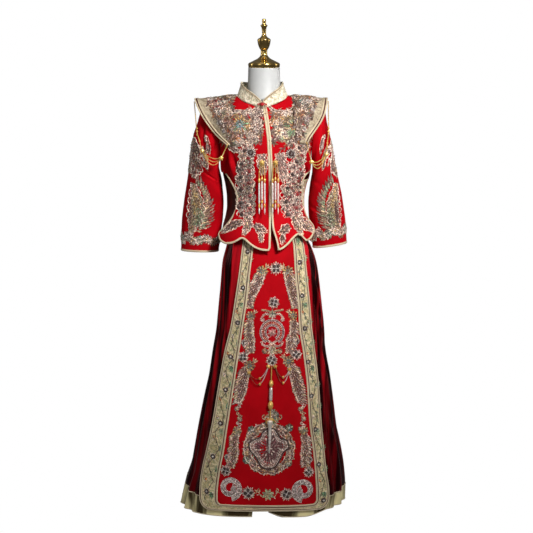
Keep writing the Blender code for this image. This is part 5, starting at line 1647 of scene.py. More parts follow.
def strung(name, parts, slot, nodes):
    """Beads on one piece, each with its own rings and colours."""
    rings, tints = zip(*parts)
    return lofted(name, rings, BEADS, slot, nodes, tints)


def hanging(start, end, sag, steps=60):
    """A string between two places: it hangs by the sag times four shares of the way times the rest."""
    points = np.linspace(start, end, steps)
    share = np.linspace(0, 1, steps)
    points[:, 2] -= 4 * sag * share * (1 - share)
    return points


TASSEL_STRING = Table("share radius metal", """
0 0.9 1, 0.02 1.2 1, 0.28 1.2 1, 0.3 0.9 1, 0.315 2.6 1, 0.345 3.6 1, 0.375 2.6 1, 0.39 1 1, 0.405 2.4 0,
0.42 2.9 0, 0.77 2.9 0, 0.79 2.2 0, 0.8 1 1, 0.815 2.6 1, 0.84 3.4 1, 0.865 2.6 1, 0.88 1 0, 0.9 2 0,
0.94 2.2 0, 1 0.6 0""", (1, MILLI, 1))


def build_chest_tassels():
    """A flower and three strings on each front, which hang down the cloth's own face."""
    share = np.linspace(0, 1, 110)
    metal = TASSEL_STRING("metal", share)[:, None]
    tints = BRASS * metal + PEARL * (1 - metal)
    for side, x in (("left", -0.0065), ("right", 0.0365)):
        top_y = -body_depth(np.array(x), np.array(1.15), "front")
        parts = [petalled((x, top_y - 0.005, 1.15), 0.0098, 6, BRASS)]
        parts.append(ball((x, top_y - 0.0088, 1.15), 0.0042, BRASS))
        for number, shift in enumerate((-0.0088, 0.0, 0.0088)):
            heights = 1.15 - (0.15 if number == 1 else 0.165) * share
            lie = -body_depth(x + shift + 0 * heights, heights, "front") - 0.0061
            sideways = x + shift * (0.45 + 0.55 * np.minimum(share / 0.18, 1))
            line = joined(sideways, np.minimum(lie, top_y - 0.006), heights)
            parts.append(bead_string(line, TASSEL_STRING("radius", share), tints, 10))
        strung(f"chest_drops_{side}", parts, "gold_bead", [f"chest_tassel_{side}"])


def build_shoulder_swags():
    """Three sagging strings on each shoulder, and one from each of their ends to the wing's edge."""
    places = {
        "left": ((-0.137, -0.105, 1.162), (-0.199, -0.074, 1.183), (-0.216, -0.056, 1.245)),
        "right": ((0.152, -0.1, 1.15), (0.2, -0.07, 1.172), (0.208, -0.056, 1.245)),
    }
    for side, (low, high, bend) in places.items():
        wing = wing_grid(side, 6, 13)
        foot = wing[-1, -1] + (0, -0.0078, 0.006)
        tip = wing[len(wing) // 2 + 1, -1] + (SIDES[side] * 0.002, -0.002, 0)
        parts = [petalled(np.array(spot) + (0, -0.004, 0), 0.0082, 5, BRASS) for spot in (low, high)]
        parts += [ball(spot, 0.0056, BRASS) for spot in (low, high)]
        for number, sag in enumerate((0.01, 0.021, 0.032)):
            points = hanging(low, high, sag)
            points[:, 1] -= 0.004 * np.sin(np.linspace(0, math.pi, len(points)))
            points[[0, -1], 2] += (number - 1) * 0.0031
            parts.append(beaded_path(smoothed(points), 0.0016, BRASS))
        high, bend = np.array(high), np.array(bend)
        up = curved([high, (high + bend) / 2, bend, (bend + tip) / 2 + (0, -0.004, 0), tip], 60)
        parts.append(beaded_path(up, 0.0018, BRASS))
        parts.append(ball(bend, 0.004, BRASS))
        for spot in (bend + (0, 0, 0.01), bend - (0, 0, 0.01), (high + bend) / 2):
            parts.append(ball(spot, 0.003, BRASS))
        parts.append(beaded_path(np.linspace(low, foot, 12), 0.0015, BRASS))
        strung(f"shoulder_strings_{side}", parts, "gold_bead", [f"shoulder_swag_{side}"])


SKIRT_TASSEL = Table("z radius metal", """
498 1.6 1, 490 1.8 1, 459 1.8 1, 456 1.2 1, 453 5 1, 445 7.2 1, 437 5 1, 434 1.6 1, 430 5 0, 426 5.8 0,
396 5.8 0, 392 5 0, 389 1.8 1, 386 6 1, 376 8.8 1, 366 6 1, 363 1.6 1, 359 2.2 1, 338 2.2 1, 335 1.6 1,
330 6 1, 322 9.8 0, 310 7 0, 300 5.2 0, 270 4.2 0, 240 3 0, 222 1 0""", (MILLI, MILLI, 1))
STRING_RED = np.array([0.22, 0.035, 0.02])
TASSEL_GREEN = np.array([0.2, 0.3, 0.12])
TASSEL_AMBER = np.array([0.62, 0.25, 0.08])


def build_skirt_beads():
    """The panel's tassel, and on each side of it two strings that sag over the cloth."""
    z = np.linspace(0.498, 0.222, 220)
    radii, metal = SKIRT_TASSEL("radius", z), SKIRT_TASSEL("metal", z)[:, None]
    x = np.interp(z, (0.222, 0.498), (0.0165, 0.0245))
    line = panel_surface(x, z, 0.0048)
    line[:, 1] -= radii
    low = z < 0.302
    fringe = 1 + 0.25 * np.sin(z * 1400) * low
    # painted shade: the pearl parts darken in 4.5 mm bands between the beads, with the wave that ripples the fringe
    tints = BRASS * metal + PEARL * (1 - metal) * (0.75 + 0.25 * np.sin(z * 1400))[:, None]
    parts = [bead_string(line, radii * fringe, tints, 12)]
    for number, tint in enumerate((BRASS, TASSEL_GREEN, TASSEL_AMBER, BRASS)):
        z_leaf = 0.322 + 0.007 * (number // 2)
        x_leaf = 0.0192 - 0.008 * (-1) ** number
        spot = panel_surface(np.array(x_leaf), np.array(z_leaf), 0.01)
        parts.append(petalled(spot, 0.0072, 4, tint))
    strung("skirt_drops", parts, "gold_bead", ["skirt_tassel"])
    for side, low, high, over in (
        ("left", (0.014, 0.499), (-0.048, 0.48), 0.0026),
        ("right", (0.036, 0.499), (0.082, 0.49), 0.0),
    ):
        parts = []
        for number, (x, z) in enumerate((low, high)):
            spot = panel_surface(np.array(x), np.array(z), 0.007 + number * over)
            parts += [ball(spot, 0.005, BRASS), petalled(spot + (0, -0.002, 0), 0.0072, 5, BRASS)]
        for number, sag in enumerate((0.03, 0.048)):
            path = hanging((low[0], 0, low[1]), (high[0], 0, high[1]), sag)
            path[[0, -1], 2] += (number - 0.5) * 0.003
            line = panel_surface(path[:, 0], path[:, 2], 0.0068)
            line[:, 1] -= over * np.linspace(0, 1, len(line)) ** 0.5
            at = len(line) * (4 if side == "left" else 5) // 9
            for stretch, outer in ((line[: at + 1], side == "right"), (line[at:], side == "left")):
                parts.append(beaded_path(stretch, 0.0014, STRING_RED if outer else PEARL * 0.8))
            parts.append(ball(line[at], 0.0036, BRASS, 1.3))
        strung(f"skirt_strings_{side}", parts, "gold_bead", [f"skirt_swag_{side}"])


# Embroidery

RED_GROUND = np.array([0.34, 0.003, 0.006])
LEAF_GREEN = np.array([0.1, 0.26, 0.12])
NET = np.array([0.4, 0.18, 0.11])
PLUME_GROUND = np.array([0.13, 0.022, 0.016])
STROKES = [AMBER, AMBER * 0.7, ROSE, SILVER * 1.2, STRAW]
PALE = [SILVER, BLUSH, STRAW]
PLUME = [np.array([0.4, 0.2, 0.14]), np.array([0.5, 0.28, 0.18]), np.array([0.34, 0.15, 0.11])]
LEAFY = [STRAW, SILVER, SAGE * 1.7, BLUSH]
# A lucky cloud's curls: their places and sizes as shares of its own, and the angles that they start at
CLOUD_CURLS = rows_of("-0.55 0 0.5 0.5, 0.1 0.38 0.55 0, 0.62 -0.05 0.45 -0.4", 4, 1)


def turned_to(path):
    """The direction of a flat path at each point, as an angle from straight up towards the right."""
    step = np.gradient(path, axis=0)
    return np.arctan2(step[:, 0], step[:, 1])


def within(points, outline):
    """Whether points lie in an outline: an odd count of its edges to their right."""
    start, end = outline, np.roll(outline, -1, axis=0)
    x, y = points[:, :1], points[:, 1:]
    crosses = (start[:, 1] > y) != (end[:, 1] > y)
    rise = end[:, 1] - start[:, 1]
    slope = (end[:, 0] - start[:, 0]) / np.where(rise == 0, 1e-9, rise)
    return (crosses & (x < start[:, 0] + (y - start[:, 1]) * slope)).sum(1) % 2 == 1


def pixels(text, mirror=None):
    """Places in the photograph's frame, turned over to its other side where a mirror's x is given."""
    rows = rows_of(text, 2, 1)
    return rows if mirror is None else joined(mirror - rows[:, 0], rows[:, 1])


def widths_along(half, count):
    """Half widths in pixels, given at even steps of a path, as metres at each of its points."""
    return np.interp(np.linspace(0, 1, count), np.linspace(0, 1, len(half)), half) * PX


class Needle(Work):
    """The stitches and motifs of this dress, with the places of some in pixels of the photograph's frame."""

    def spots(self, text, mirror=None):
        return self.ground.seen(pixels(text, mirror))

    def spot(self, x, y):
        return self.ground.seen((x, y))[0]

    def line(self, text, count=24, mirror=None):
        return spaced(curved(self.spots(text, mirror), 4 * count), count)

    def arm(self, centre, sign, text, fine=40, count=20):
        """A path through places round a centre in millimetres, with the sign for its left or right hand."""
        return spaced(curved(centre + rows_of(text, 2) * (sign, 1), fine), count)

    def draw(self, *shape):
        return self.random.random(shape)

    def shades(self, count, tints, spread=0.6):
        """A colour for each stitch, drawn from the tints, some far darker and some paler."""
        pick = self.random.integers(0, len(tints), count)
        return np.array(tints)[pick] * (1 + spread * (2 * self.draw(count) - 1))[:, None]

    def hued(self, at, tints, zones, spread):
        """Colours for stitches at some places: those of the nearest zone that reaches them, or the tints."""
        colours = self.shades(len(at), tints, spread)
        for place, reach, hues in zones:
            near = np.linalg.norm(at - place, axis=1) < reach
            colours[near] = self.shades(near.sum(), hues, spread)
        return colours

    def around(self, centre, count, reach, length, width, tints, start=0.0, high=0.0012):
        """Petals that point away from a centre, with their feet on a circle."""
        turn = start + np.arange(count) * 2 * math.pi / count
        size = length * (0.9 + 0.2 * self.draw(count))
        tint = self.shades(count, tints, 0.2)
        self.petals(np.asarray(centre) + reach * ray(turn), size, width, turn, tint, 0.0, high)

    def grains_round(self, centre, count, reach, size, high):
        self.beads(centre + reach * ray(circle(count)), size, PEARL, high)

    def flower(self, centre, size, tints, heart=BRASS, count=7):
        """Two rings of petals round a bead, the inner ring raised, on a dark round ground that shows round them as
        painted shadow.
        """
        # painted shadow: a dark disc a little wider than the petals
        self.beads(centre, size * 1.16, DUSK, 0.04)
        self.around(centre, count, size * 0.3, size * 0.72, size * 0.58, tints, 0.2)
        pale = [tint * 1.3 for tint in tints]
        self.around(centre, count, size * 0.1, size * 0.42, size * 0.26, pale, 0.65, 0.0022)
        self.beads(centre, size * 0.22, heart, 1.2)

    def rosette(self, centre, size, up=0.0):
        """A pale beaded ring round a dark heart that holds four small petals."""
        self.beads(centre, size * 1.1, DUSK * 0.3, 0.04 + up / size)
        self.around(centre, 14, size * 0.55, size * 0.52, size * 0.28, [SILVER], 0, 0.0012 + up)
        self.grains_round(centre, 14, size * 0.66, size * 0.13, 1.0 + 9 * up / size)
        self.around(centre, 4, 0, size * 0.3, size * 0.14, [PEARL], 0.4, 0.0018 + 1.4 * up)

    def coin(self, x, y, size):
        """An old coin as embroiderers lay it: four dark openings, white bars, a beaded ring, eight points."""
        centre, tilt = self.spot(x, y), 0.3 * (x % 3)
        self.around(centre, 8, size * 0.92, size * 0.34, size * 0.26, [SILVER, STRAW], tilt)
        self.beads(centre, size, SILVER * 1.1, 0.03)
        openings = tilt + math.pi / 4
        self.around(centre, 4, size * 0.12, size * 0.74, size * 0.8, [DUSK * 0.1], openings, 0.003)
        self.around(centre, 4, 0.0, size * 0.96, size * 0.2, [PEARL], tilt, 0.0046)
        self.grains_round(centre, 16, size * 0.97, size * 0.11, 2.0)
        self.beads(centre, size * 0.2, PEARL, 1.6)

    def star(self, centre, size):
        """A burst of thin white stitches round a dark heart."""
        self.beads(centre, size * 0.62, DUSK * 0.4, 0.18)
        self.around(centre, 11, size * 0.22, size * 0.8, size * 0.2, [PEARL], 0.2, 0.003)
        self.beads(centre, size * 0.17, PEARL, 1.6)

    def vine(self, path, leaf, tints, stem=None, thick=0.0018, every=0.62, spread=0.85):
        """A stem with leaves set in turn on its two sides, each angled off the stem's direction."""
        if stem is not None:
            self.cord(path, thick, stem)
        count = max(int(lengths(path)[-1] / (leaf * every)), 2)
        feet = spaced(path, count)
        side = np.where(np.arange(count) % 2, 1.0, -1.0)
        angle = turned_to(feet) + side * (spread + 0.25 * (self.draw(count) - 0.5))
        size = leaf * (0.8 + 0.4 * self.draw(count))
        self.petals(feet, size, size * 0.46, angle, self.shades(count, tints), -side * 0.25)

    def body(
        self, path, half, tints, tips, leaf=0.013, lean=0.5, ground=DUSK, grains=0.5, lobe=0.024, eyes=0.0,
        pace=0.5,
    ):
        """A full shape down a path: a dark ground a little wider than it, painted as its shadow, rows of leaves,
        silver beads and a pale cord round it.

        Each row's feet lie across the path in even steps of a bit over half a leaf's width apart, and a leaf
        leans out in proportion to how far from the middle it stands. The half width swells once a lobe.
        """
        path = spaced(path, 90)
        share = np.linspace(0, 1, 90)
        length = lengths(path)[-1]
        widths = widths_along(half, 90)
        # painted shadow: the dark ground is wider than the shape and shows round its edge
        self.cord(path, (1.85 if lobe else 2.25) * widths, ground, 0.0006)
        if lobe:
            for sign in (-1, 1):
                swell = 0.8 + 0.34 * np.abs(np.sin(math.pi * share * length / lobe + sign))
                edge = path + sign * across(turned_to(path)) * (widths * swell)[:, None]
                self.cord(edge, 0.003, SILVER * 1.2, 0.002)
        count = max(int(length / (pace * leaf)), 3)
        feet = spaced(path, count)[::-1]
        widths = np.interp(np.linspace(1, 0, count), share, widths)[:, None]
        heading = turned_to(feet) + math.pi
        beside = across(heading)
        ranks = 2 * max(int(widths.max() / (0.62 * leaf)), 1) + 1
        step = (0.62 / ranks) * (-1.0) ** np.arange(count)[:, None]
        for rank in np.linspace(-1, 1, ranks):
            at = feet + beside * widths * (rank + step) * (0.66 if lobe else 0.74)
            at = at + 0.1 * leaf * (self.draw(count, 2) - 0.5)
            size = leaf * (0.8 + (-0.15 if lobe else 0.3) * abs(rank)) * (0.75 + 0.5 * self.draw(count))
            tint = self.shades(count, tips if abs(rank) > 0.6 else tints, 0.65)
            high = 0.0013 + 0.0007 * (1 - abs(rank))
            self.petals(at, size, size * 0.56, heading + lean * rank, tint, 0.15 * rank, high)
        for chance, size, tint, high in ((grains, 0.0016, PEARL, 2.0), (eyes, 0.0033, RED_GROUND, 0.72)):
            some = self.draw(count) < chance
            at = feet[some] + beside[some] * widths[some] * 1.5 * (self.draw(some.sum()) - 0.5)[:, None]
            self.beads(at, size, tint, high)

    def blossom(self, centre, size, tint, count=6, start=0.0):
        """A large flower whose petals have a pale rim, a darker netted middle and a painted highlight down it, round a
        dark heart, on a dark disc that shows between them as painted shade.
        """
        # painted shade: a dark disc that shows between the petals
        self.beads(centre, size * 1.05, DUSK * 0.5, 0.03)
        # the third ring is a narrow painted highlight down the middle of each petal
        for reach, length, width, shade, high in (
            (0.16, 0.92, 0.74, SILVER * 1.2, 0.0016), (0.22, 0.72, 0.44, tint * 0.6, 0.0026),
            (0.26, 0.52, 0.14, tint * 1.4, 0.0032),
        ):
            self.around(centre, count, reach * size, length * size, width * size, [shade], start, high)
        self.beads(centre, size * 0.2, DUSK * 0.3, 1.3)
        self.beads(centre, size * 0.11, PEARL, 3.2)

    def plume(self, path, half, tints, side):
        """A bird's neck or wing: fine barbs on dark red, each over a larger dark copy painted as its shadow, tips down
        one edge and a cord down the other.
        """
        path = spaced(path, 60)
        width = widths_along(half, 60)[:, None] * 1.15
        heading = turned_to(path) + math.pi
        beside = across(heading)
        step = max(round(60 * 0.0078 / lengths(path)[-1]), 1)
        for sign, long, lean in ((side, 0.0185, -0.8), (-side, 0.0095, -1.2)):
            feet = (path + sign * beside * width * 0.5)[::-step]
            turn = heading[::-step] + math.pi + sign * lean
            size = long * (0.75 + 0.5 * self.draw(len(feet)))
            # painted shadow: a larger dark copy under each barb
            self.petals(feet, size * 1.1, 0.0112, turn, DUSK * 0.7, 0, 0.0009)
            self.petals(feet, size, 0.008, turn, self.shades(len(feet), tints, 0.3), 0, 0.0015)
        half = np.array(half) * 0.85
        self.body(path, half, tints, tints, 0.008, 0.9, PLUME_GROUND, 0.5, 0, pace=0.72)
        self.cord(path - side * beside * width * 0.86, 0.0026, SILVER * 1.2, 0.0022)

    def band(self, path, width, tint=SILVER, heart=BLUSH):
        """A braid: a dark ground a little wider than it, painted as its shadow, a pale cord, and rows of beads along
        it, two, or five on a wide one.
        """
        # painted shadow: the dark ground is wider than the cord
        self.cord(path, width * 1.2, DUSK, 0.0007)
        self.cord(path, width * 0.8, heart * 0.7, 0.0012)
        for share in (-0.36, 0.36) if width < 0.012 else (-0.44, -0.22, 0, 0.22, 0.44):
            row = path + share * width * across(turned_to(path))
            self.beads(spaced(row, int(lengths(row)[-1] / 0.0042)), 0.0018, tint * 1.35, 1.3)

    def curl(self, centre, size, start, sweep, tint, thick=0.0024):
        """A spiral cord whose radius falls evenly as it turns, ended by a bead, on a wider dark ground painted as its
        shadow.
        """
        turn = start + np.linspace(0, sweep, 19)
        path = np.asarray(centre) + size * np.linspace(1, 0.22, 19)[:, None] * ray(turn)
        # painted shadow: the dark ground is wider than the cord
        self.cord(path, thick * 1.7, DUSK, 0.0007)
        self.cord(path, thick, tint * 1.15, 0.0016)
        self.beads(path[-1], thick * 0.9, tint * 1.3)

    def cloud(self, at, size, tint=SILVER, flip=1.0, lean=0.0):
        """A lucky cloud: three curls and a tail."""
        for x, y, share, start in CLOUD_CURLS:
            place = x * flip * across(lean) + y * ray(lean)
            self.curl(at + size * place, size * share, start + lean, flip * 5.6, tint, size * 0.21)

    def fill(
        self, outline, tints, accents=(), keep_off=None, bare=2.0, spacing=0.0098, leaf=0.014, bloom=0.09
    ):
        """Sprigs of four leaves, and some flowers, on a loose grid inside an outline, over a dark ground.

        An accent is a place, a reach and the tints that sprigs take within that reach. Round patches of the
        red ground stay bare where two crossed waves, bent by each other, pass the level bare.
        """
        low, high = outline.min(0), outline.max(0)
        columns, rows = np.meshgrid(np.arange(low[0], high[0], spacing), np.arange(low[1], high[1], spacing))
        places = joined(columns, rows).reshape(-1, 2)
        places = places + (self.draw(*places.shape) - 0.5) * spacing * 0.8
        places = places[within(places, outline)]
        if keep_off is not None:
            places = places[~within(places, keep_off)]
        x, y = places.T
        bent = np.sin(230 * x + 2.2 * np.sin(105 * y)) * np.sin(185 * y + 1.6 * np.sin(120 * x) + 0.6) > bare
        self.beads(places[bent], spacing * 0.7, RED_GROUND, 0.03)
        places = places[~bent]
        self.beads(places, spacing * 0.78, self.hued(places, [NET], accents, 0.3) * 0.3, 0.05)
        heading = 2.4 * np.sin(places[:, 0] * 70) + 2.4 * np.cos(places[:, 1] * 64)
        blooms = self.draw(len(places)) < bloom
        for number, turn in enumerate((-1.3, -0.45, 0.4, 1.25)):
            some = ~blooms & (self.draw(len(places)) < 0.85)
            size = leaf * (0.7 + 0.6 * self.draw(some.sum()))
            tint = self.hued(places[some], tints, accents, 0.55)
            high = 0.0012 + 0.0004 * (number % 2)
            self.petals(places[some], size, size * 0.46, heading[some] + turn, tint, 0.3 * turn, high)
        colours = self.hued(places[blooms], tints, accents, 0.3) * 1.4
        for number, place in enumerate(places[blooms]):
            self.blossom(place, leaf * (0.8 + 0.15 * (number % 3)), colours[number], 5 + number % 3)
        strokes = places[self.draw(len(places)) < 0.22]
        turn = 1.3 * np.sin(strokes[:, 0] * 55 + 1.0) + 0.9 * np.cos(strokes[:, 1] * 75)
        tint = self.hued(strokes, STROKES, accents, 0.4)
        self.petals(strokes, leaf * 1.7, leaf * 0.24, turn, tint, 0.2, 0.0026)
        grains = places[self.draw(len(places)) < 0.22]
        self.beads(grains + 0.7 * spacing * (self.draw(len(grains), 2) - 0.5), 0.0017, PEARL, 2.0)

    def head(self, at, size, sign):
        """A bird's head: gold leaves about a green eye patch, with three crest leaves on a large one."""
        # painted shadow: a dark disc a little wider than the leaves
        self.beads(at, size * 1.1, DUSK, 0.04)
        self.around(at, 9, size * 0.2, size * 0.95, size * 0.55, [GOLD * 1.3, STRAW, AMBER * 0.9, GOLD], 0.2)
        self.around(at, 6, 0.001, size * 0.55, size * 0.34, [TEAL * 1.2, SAGE * 1.6], 0.5, 0.0022)
        self.beads(at, 0.0024, AMBER)
        if size > 0.014:
            foot = at + (-sign * size * 0.7, size * 0.5)
            self.petals([foot] * 3, size * 1.1, size * 0.34, -sign * np.array([0.1, 0.6, 1.1]), STRAW)

    def done(self, *nodes):
        self.build(THREAD, "metal_thread", nodes)


COINS = rows_of("""
276 268.5 18.5, 273.7 302.9 16.5, 271.7 360.5 16.5, 243.2 357.3 15.5, 296.2 354.6 15.5,
225.8 470.8 15.5, 308.6 472.3 15, 248.3 493.2 18.5, 286.6 494.5 18""", 3, (1, 1, MILLI))
# A bird vine from the top: neck, bud, breast, second head, tail, three knots, third head, last feathers
BIRDS = {
    "left": (
        "262 271.5, 258.5 281, 254 289.5, 250.6 297, 249.4 307", (250.8, 316),
        "250 320, 249.6 331, 250.2 341, 250.8 352", (249.4, 366),
        "247 368, 243.5 378, 241.4 389, 238.6 402", (238.4, 405, 426), (237.2, 431),
        "236 433, 234.4 443, 233.8 455, 230.8 466",
    ),
    "right": (
        "287.8 271.5, 289.8 281, 292.2 289.5, 293.6 297, 294.8 307", (292.8, 315.5),
        "293.5 320, 294 330, 291 341, 289 352", (288.6, 361.5),
        "291 365, 295 376, 298 388, 300.6 401", (302, 405, 425), (303.6, 431),
        "304.4 434, 305.6 444, 305 455, 304.6 466",
    ),
}
PEONY = """
267 429.5, 273 428.8, 277 433, 280 438.5, 287 441, 288.4 447, 283 452.5, 279.5 460, 274.5 467, 267 469,
260.5 465, 256 457, 250.5 450, 249.2 444, 254 440, 260.5 437.5, 263 432.5, 267 429.5"""


def embroider_coins():
    """The nine old coins, and a small rosette over four of them."""
    coins = Needle("panel_coins", PANEL_CLOTH, 11)
    for x, y, size in COINS:
        coins.coin(x, y, size)
    for at in coins.spots("244.9 343.1, 296.0 341.2, 228.2 457.6, 308.8 459.6"):
        coins.rosette(at, 0.0125)
    coins.done("coin_top", "coin_upper", "coin_middle", "coin_foot_left", "coin_foot_right")


def embroider_bat():
    """The winged lotus over the ring: a round flower with two banded arms and a curl on each side."""
    bat = Needle("panel_bat", PANEL_CLOTH, 12)
    centre = bat.spot(272.4, 314.2)
    # painted shadow: a dark disc under the petals, showing between them
    bat.beads(centre, 0.0125, DUSK, 0.04)
    bat.around(centre, 8, 0.003, 0.0145, 0.0075, [SAGE * 2.6, STRAW, SILVER])
    bat.around(centre, 5, 0.0, 0.0085, 0.0046, [SAGE * 2.0, TEAL * 1.6], 0.4, 0.0022)
    for sign in (-1, 1):
        bat.band(bat.arm(centre, sign, "4 6, 18 11, 34 13"), 0.005, STRAW, STRAW)
        bat.band(bat.arm(centre, sign, "4 -4, 20 1, 33 -10, 36 -20"), 0.0055)
        bat.curl(centre + (sign * 0.032, -0.019), 0.006, 0.5, -sign * 5.5, SILVER, 0.003)
        bat.beads(centre + (sign * 0.03, 0.013), 0.004, STRAW)
    bat.done("lotus")


def embroider_ring():
    """Two open rings of braid with petals between them, a flower in the middle and two arms under them."""
    ring = Needle("panel_ring", PANEL_CLOTH, 13)
    centre = ring.spot(272.1, 332.2)
    turn = np.linspace(-2.55, 2.55, 81)
    for reach, width in ((0.0365, 0.007), (0.0215, 0.0062)):
        ring.band(centre + reach * ray(turn) * (1, 1.04), width, PEARL, ROSE * 0.6)
    turn = turn[::3]
    ring.petals(centre + 0.0255 * ray(turn), 0.0085, 0.003, turn, ring.shades(len(turn), PALE, 0.3), 0.1)
    for number, tints in enumerate(([MAGENTA * 1.8, ROSE], [ROSE, BLUSH], [BLUSH * 1.2])):
        length, width, high = 0.015 - 0.004 * number, 0.008 - 0.002 * number, 0.0014 + 0.0007 * number
        ring.around(centre + (0, -0.002), 7 - number, 0.001, length, width, tints, 0.4 * number, high)
    for sign in (-1, 1):
        ring.band(ring.arm(centre, sign, "-17 -26, -2 -35, 18 -45, 30 -40, 34 -31", 50, 26), 0.006)
        ring.flower(centre + (sign * 0.024, -0.06), 0.009, [AMBER, STRAW])
    for step, size in ((0.0, 0.016), (0.0045, 0.011)):
        tints, high = [SAGE * 2.2, STRAW, SILVER], 0.0013 + step * 0.2
        ring.around(centre - (0, 0.06 - step), 9, 0.003, size, 0.008, tints, step * 90, high)
    ring.beads(centre - (0, 0.058), 0.003, PEARL)
    ring.done("ring_medallion")


def embroider_birds():
    """A vine of birds down each side: necks, breasts and tails as plumes, with heads between."""
    for side, (neck, bud, breast, second, tail, knots, third, last) in BIRDS.items():
        sign = SIDES[side]
        birds = Needle(f"panel_birds_{side}", PANEL_CLOTH, 20 + sign)
        for path, half in (
            (neck, (3.6, 4.4, 5.0, 3.6, 2.2)), (breast, (2.8, 3.2, 4.6, 2.4)), (tail, (3.4, 5.2, 5.2, 2.4)),
            (last, (2.8, 3.6, 4.0, 2.2)),
        ):
            birds.plume(birds.line(path, 40), half, [SILVER * 1.1, STRAW * 1.1, BLUSH], sign)
        for at, size in ((pixels(neck)[0], 0.0175), (bud, 0.0145), (second, 0.0175), (third, 0.014)):
            birds.head(birds.spot(*at), size, sign)
        x, top, foot = knots
        for number, y in enumerate(np.linspace(top, foot, 3)):
            turn = (-1) ** number
            birds.cloud(birds.spot(x, y), 0.0125, (SILVER, STRAW)[number % 2], sign * turn, 1.4)
            birds.flower(birds.spot(x - 1.5 * turn, y + 4), 0.008, PALE)
        birds.done(f"vine_{side}")


def embroider_peony():
    """A wreath with sixteen flowers round it; in it, rows of petals and beads follow a lobed outline."""
    wreath = Needle("peony_leaves", PANEL_CLOTH, 31)
    centre = wreath.spot(268.9, 448.9)
    turn = np.linspace(0, 2 * math.pi, 81)
    rim = centre + (0.07 + 0.002 * np.cos(13 * turn))[:, None] * ray(turn)
    tips = [SILVER, STRAW, SAGE * 1.8, AMBER * 0.8]
    wreath.body(rim, (3.2, 3.2), [STRAW, BLUSH, SILVER], tips, 0.015, 0.8, DUSK * 2, lobe=0.028)
    for number in range(16):
        at = centre + (0.069 + 0.005 * (number % 2)) * ray(0.2 + number * math.pi / 8)
        wreath.flower(at, 0.0125, ([SILVER, STRAW], [BLUSH, SILVER], [STRAW, AMBER])[number % 3])
    for at in wreath.spots("251.7 430, 289 428, 246.7 460, 288 463, 275 415.5"):
        wreath.flower(at, 0.013, [SAGE * 2.4, TEAL * 1.6], PEARL, 6)
    top = wreath.spot(272, 419)
    outline = top + rows_of("-18 -6, -14 12, -2 24, 10 26, 22 12, 18 -6, 10 -20, -4 -20", 2)
    wreath.fill(outline, [STRAW, AMBER * 0.9, SAGE * 1.8, SILVER], spacing=0.008, leaf=0.013, bloom=0.1)
    for sign in (-1, 1):
        wreath.curl(top + (sign * 0.024, 0.004), 0.009, 0.0, sign * 5.0, STRAW, 0.003)
    wreath.done("peony_wreath")

    peony = Needle("peony_heart", PANEL_CLOTH, 32)
    lobes = peony.line(PEONY, 110)
    middle = lobes.mean(0)
    peony.beads(middle, 0.05, MAGENTA * 0.45, 0.012)
    for share, tint in ((0.6, ROSE * 0.8), (0.42, MAGENTA), (0.26, ROSE * 0.7)):
        row = (lobes[:: int(2.2 / share)] - middle) * share
        tints = peony.shades(len(row), [MAGENTA * 1.2, ROSE, tint, SILVER * 1.2], 0.4)
        peony.petals(middle + row, 0.012, 0.006, np.arctan2(*row.T), tints, 0.1, 0.0018)
    for share, tint, size in ((0.94, PEARL, 0.0021), (0.86, SILVER, 0.0018), (0.78, PEARL, 0.0019)):
        row = middle + (lobes - middle) * share
        peony.cord(row, 0.005, BLUSH * 0.5, 0.0012)
        peony.beads(spaced(row, 62), size, tint * 1.35, 1.5)
    peony.cord(middle + (lobes - middle) * 1.02, 0.0068, DUSK * 0.25, 0.003)
    peony.around(middle, 8, 0.002, 0.011, 0.0056, [SILVER, ROSE], 0.2, 0.0026)
    peony.beads(middle, 0.0045, DUSK)
    peony.done("peony_medallion")


def embroider_foot():
    """A spiral scroll in each lower corner of the panel, and a flower with two leafy arms between them."""
    for side, x, y in (("left", 230.2, 488.6), ("right", 303.4, 490.6)):
        scroll = Needle(f"panel_scroll_{side}", PANEL_CLOTH, 34)
        share = np.linspace(0, 1, 90)
        turn = -SIDES[side] * (2.95 - 8.4 * share)
        path = scroll.spot(x, y) + (PX * (9.8 - 7.2 * share**1.4))[:, None] * ray(turn)
        scroll.band(path, 0.016, PEARL * 1.3, ROSE * 0.7)
        scroll.vine(path[:78], 0.008, [SILVER * 1.1, BLUSH], None, 0.0016, 0.6, 1.3)
        scroll.done(f"corner_scroll_{side}")

    foot = Needle("foot_garland", PANEL_CLOTH, 36)
    centre = foot.spot(268.0, 494.8)
    foot.around(centre, 8, 0.002, 0.019, 0.0105, [SAGE * 2.4, STRAW], 0.39)
    foot.around(centre, 6, 0.001, 0.011, 0.006, [STRAW, SAGE * 2.6], 0.0, 0.0022)
    foot.beads(centre, 0.003, BRASS)
    for sign in (-1, 1):
        stem = foot.arm(centre, sign, "10 4, 20 -6, 32 8, 44 3")
        foot.vine(stem, 0.0125, [STRAW, SAGE * 1.9, SILVER], STRAW, 0.0026)
        foot.curl(centre + (sign * 0.028, 0.013), 0.007, 0.0, sign * 5.5, STRAW, 0.0026)
    foot.done()


BORDER_FLOWERS = {
    "left": "248 252, 243.3 288, 238 323, 231.2 357, 226 390, 221 423.5, 213.4 456.7, 207.2 491.7",
    "right": "299 262.6, 301.4 296, 304.4 328.5, 307.5 362, 310.7 396, 314.8 429.6, 318.3 464.6, 323 500.4",
}
SPRIG_TINTS = (
    [LEAF_GREEN, LEAF_GREEN * 1.3], [STRAW, SILVER], [LEAF_GREEN * 1.2, SAGE * 1.8], [AMBER, STRAW],
)
SPRIG_LEAVES = np.array([0.018, 0.016, 0.014, 0.011])
SPRIG_FAN = np.array([-0.5, -0.1, 0.3, 0.8])


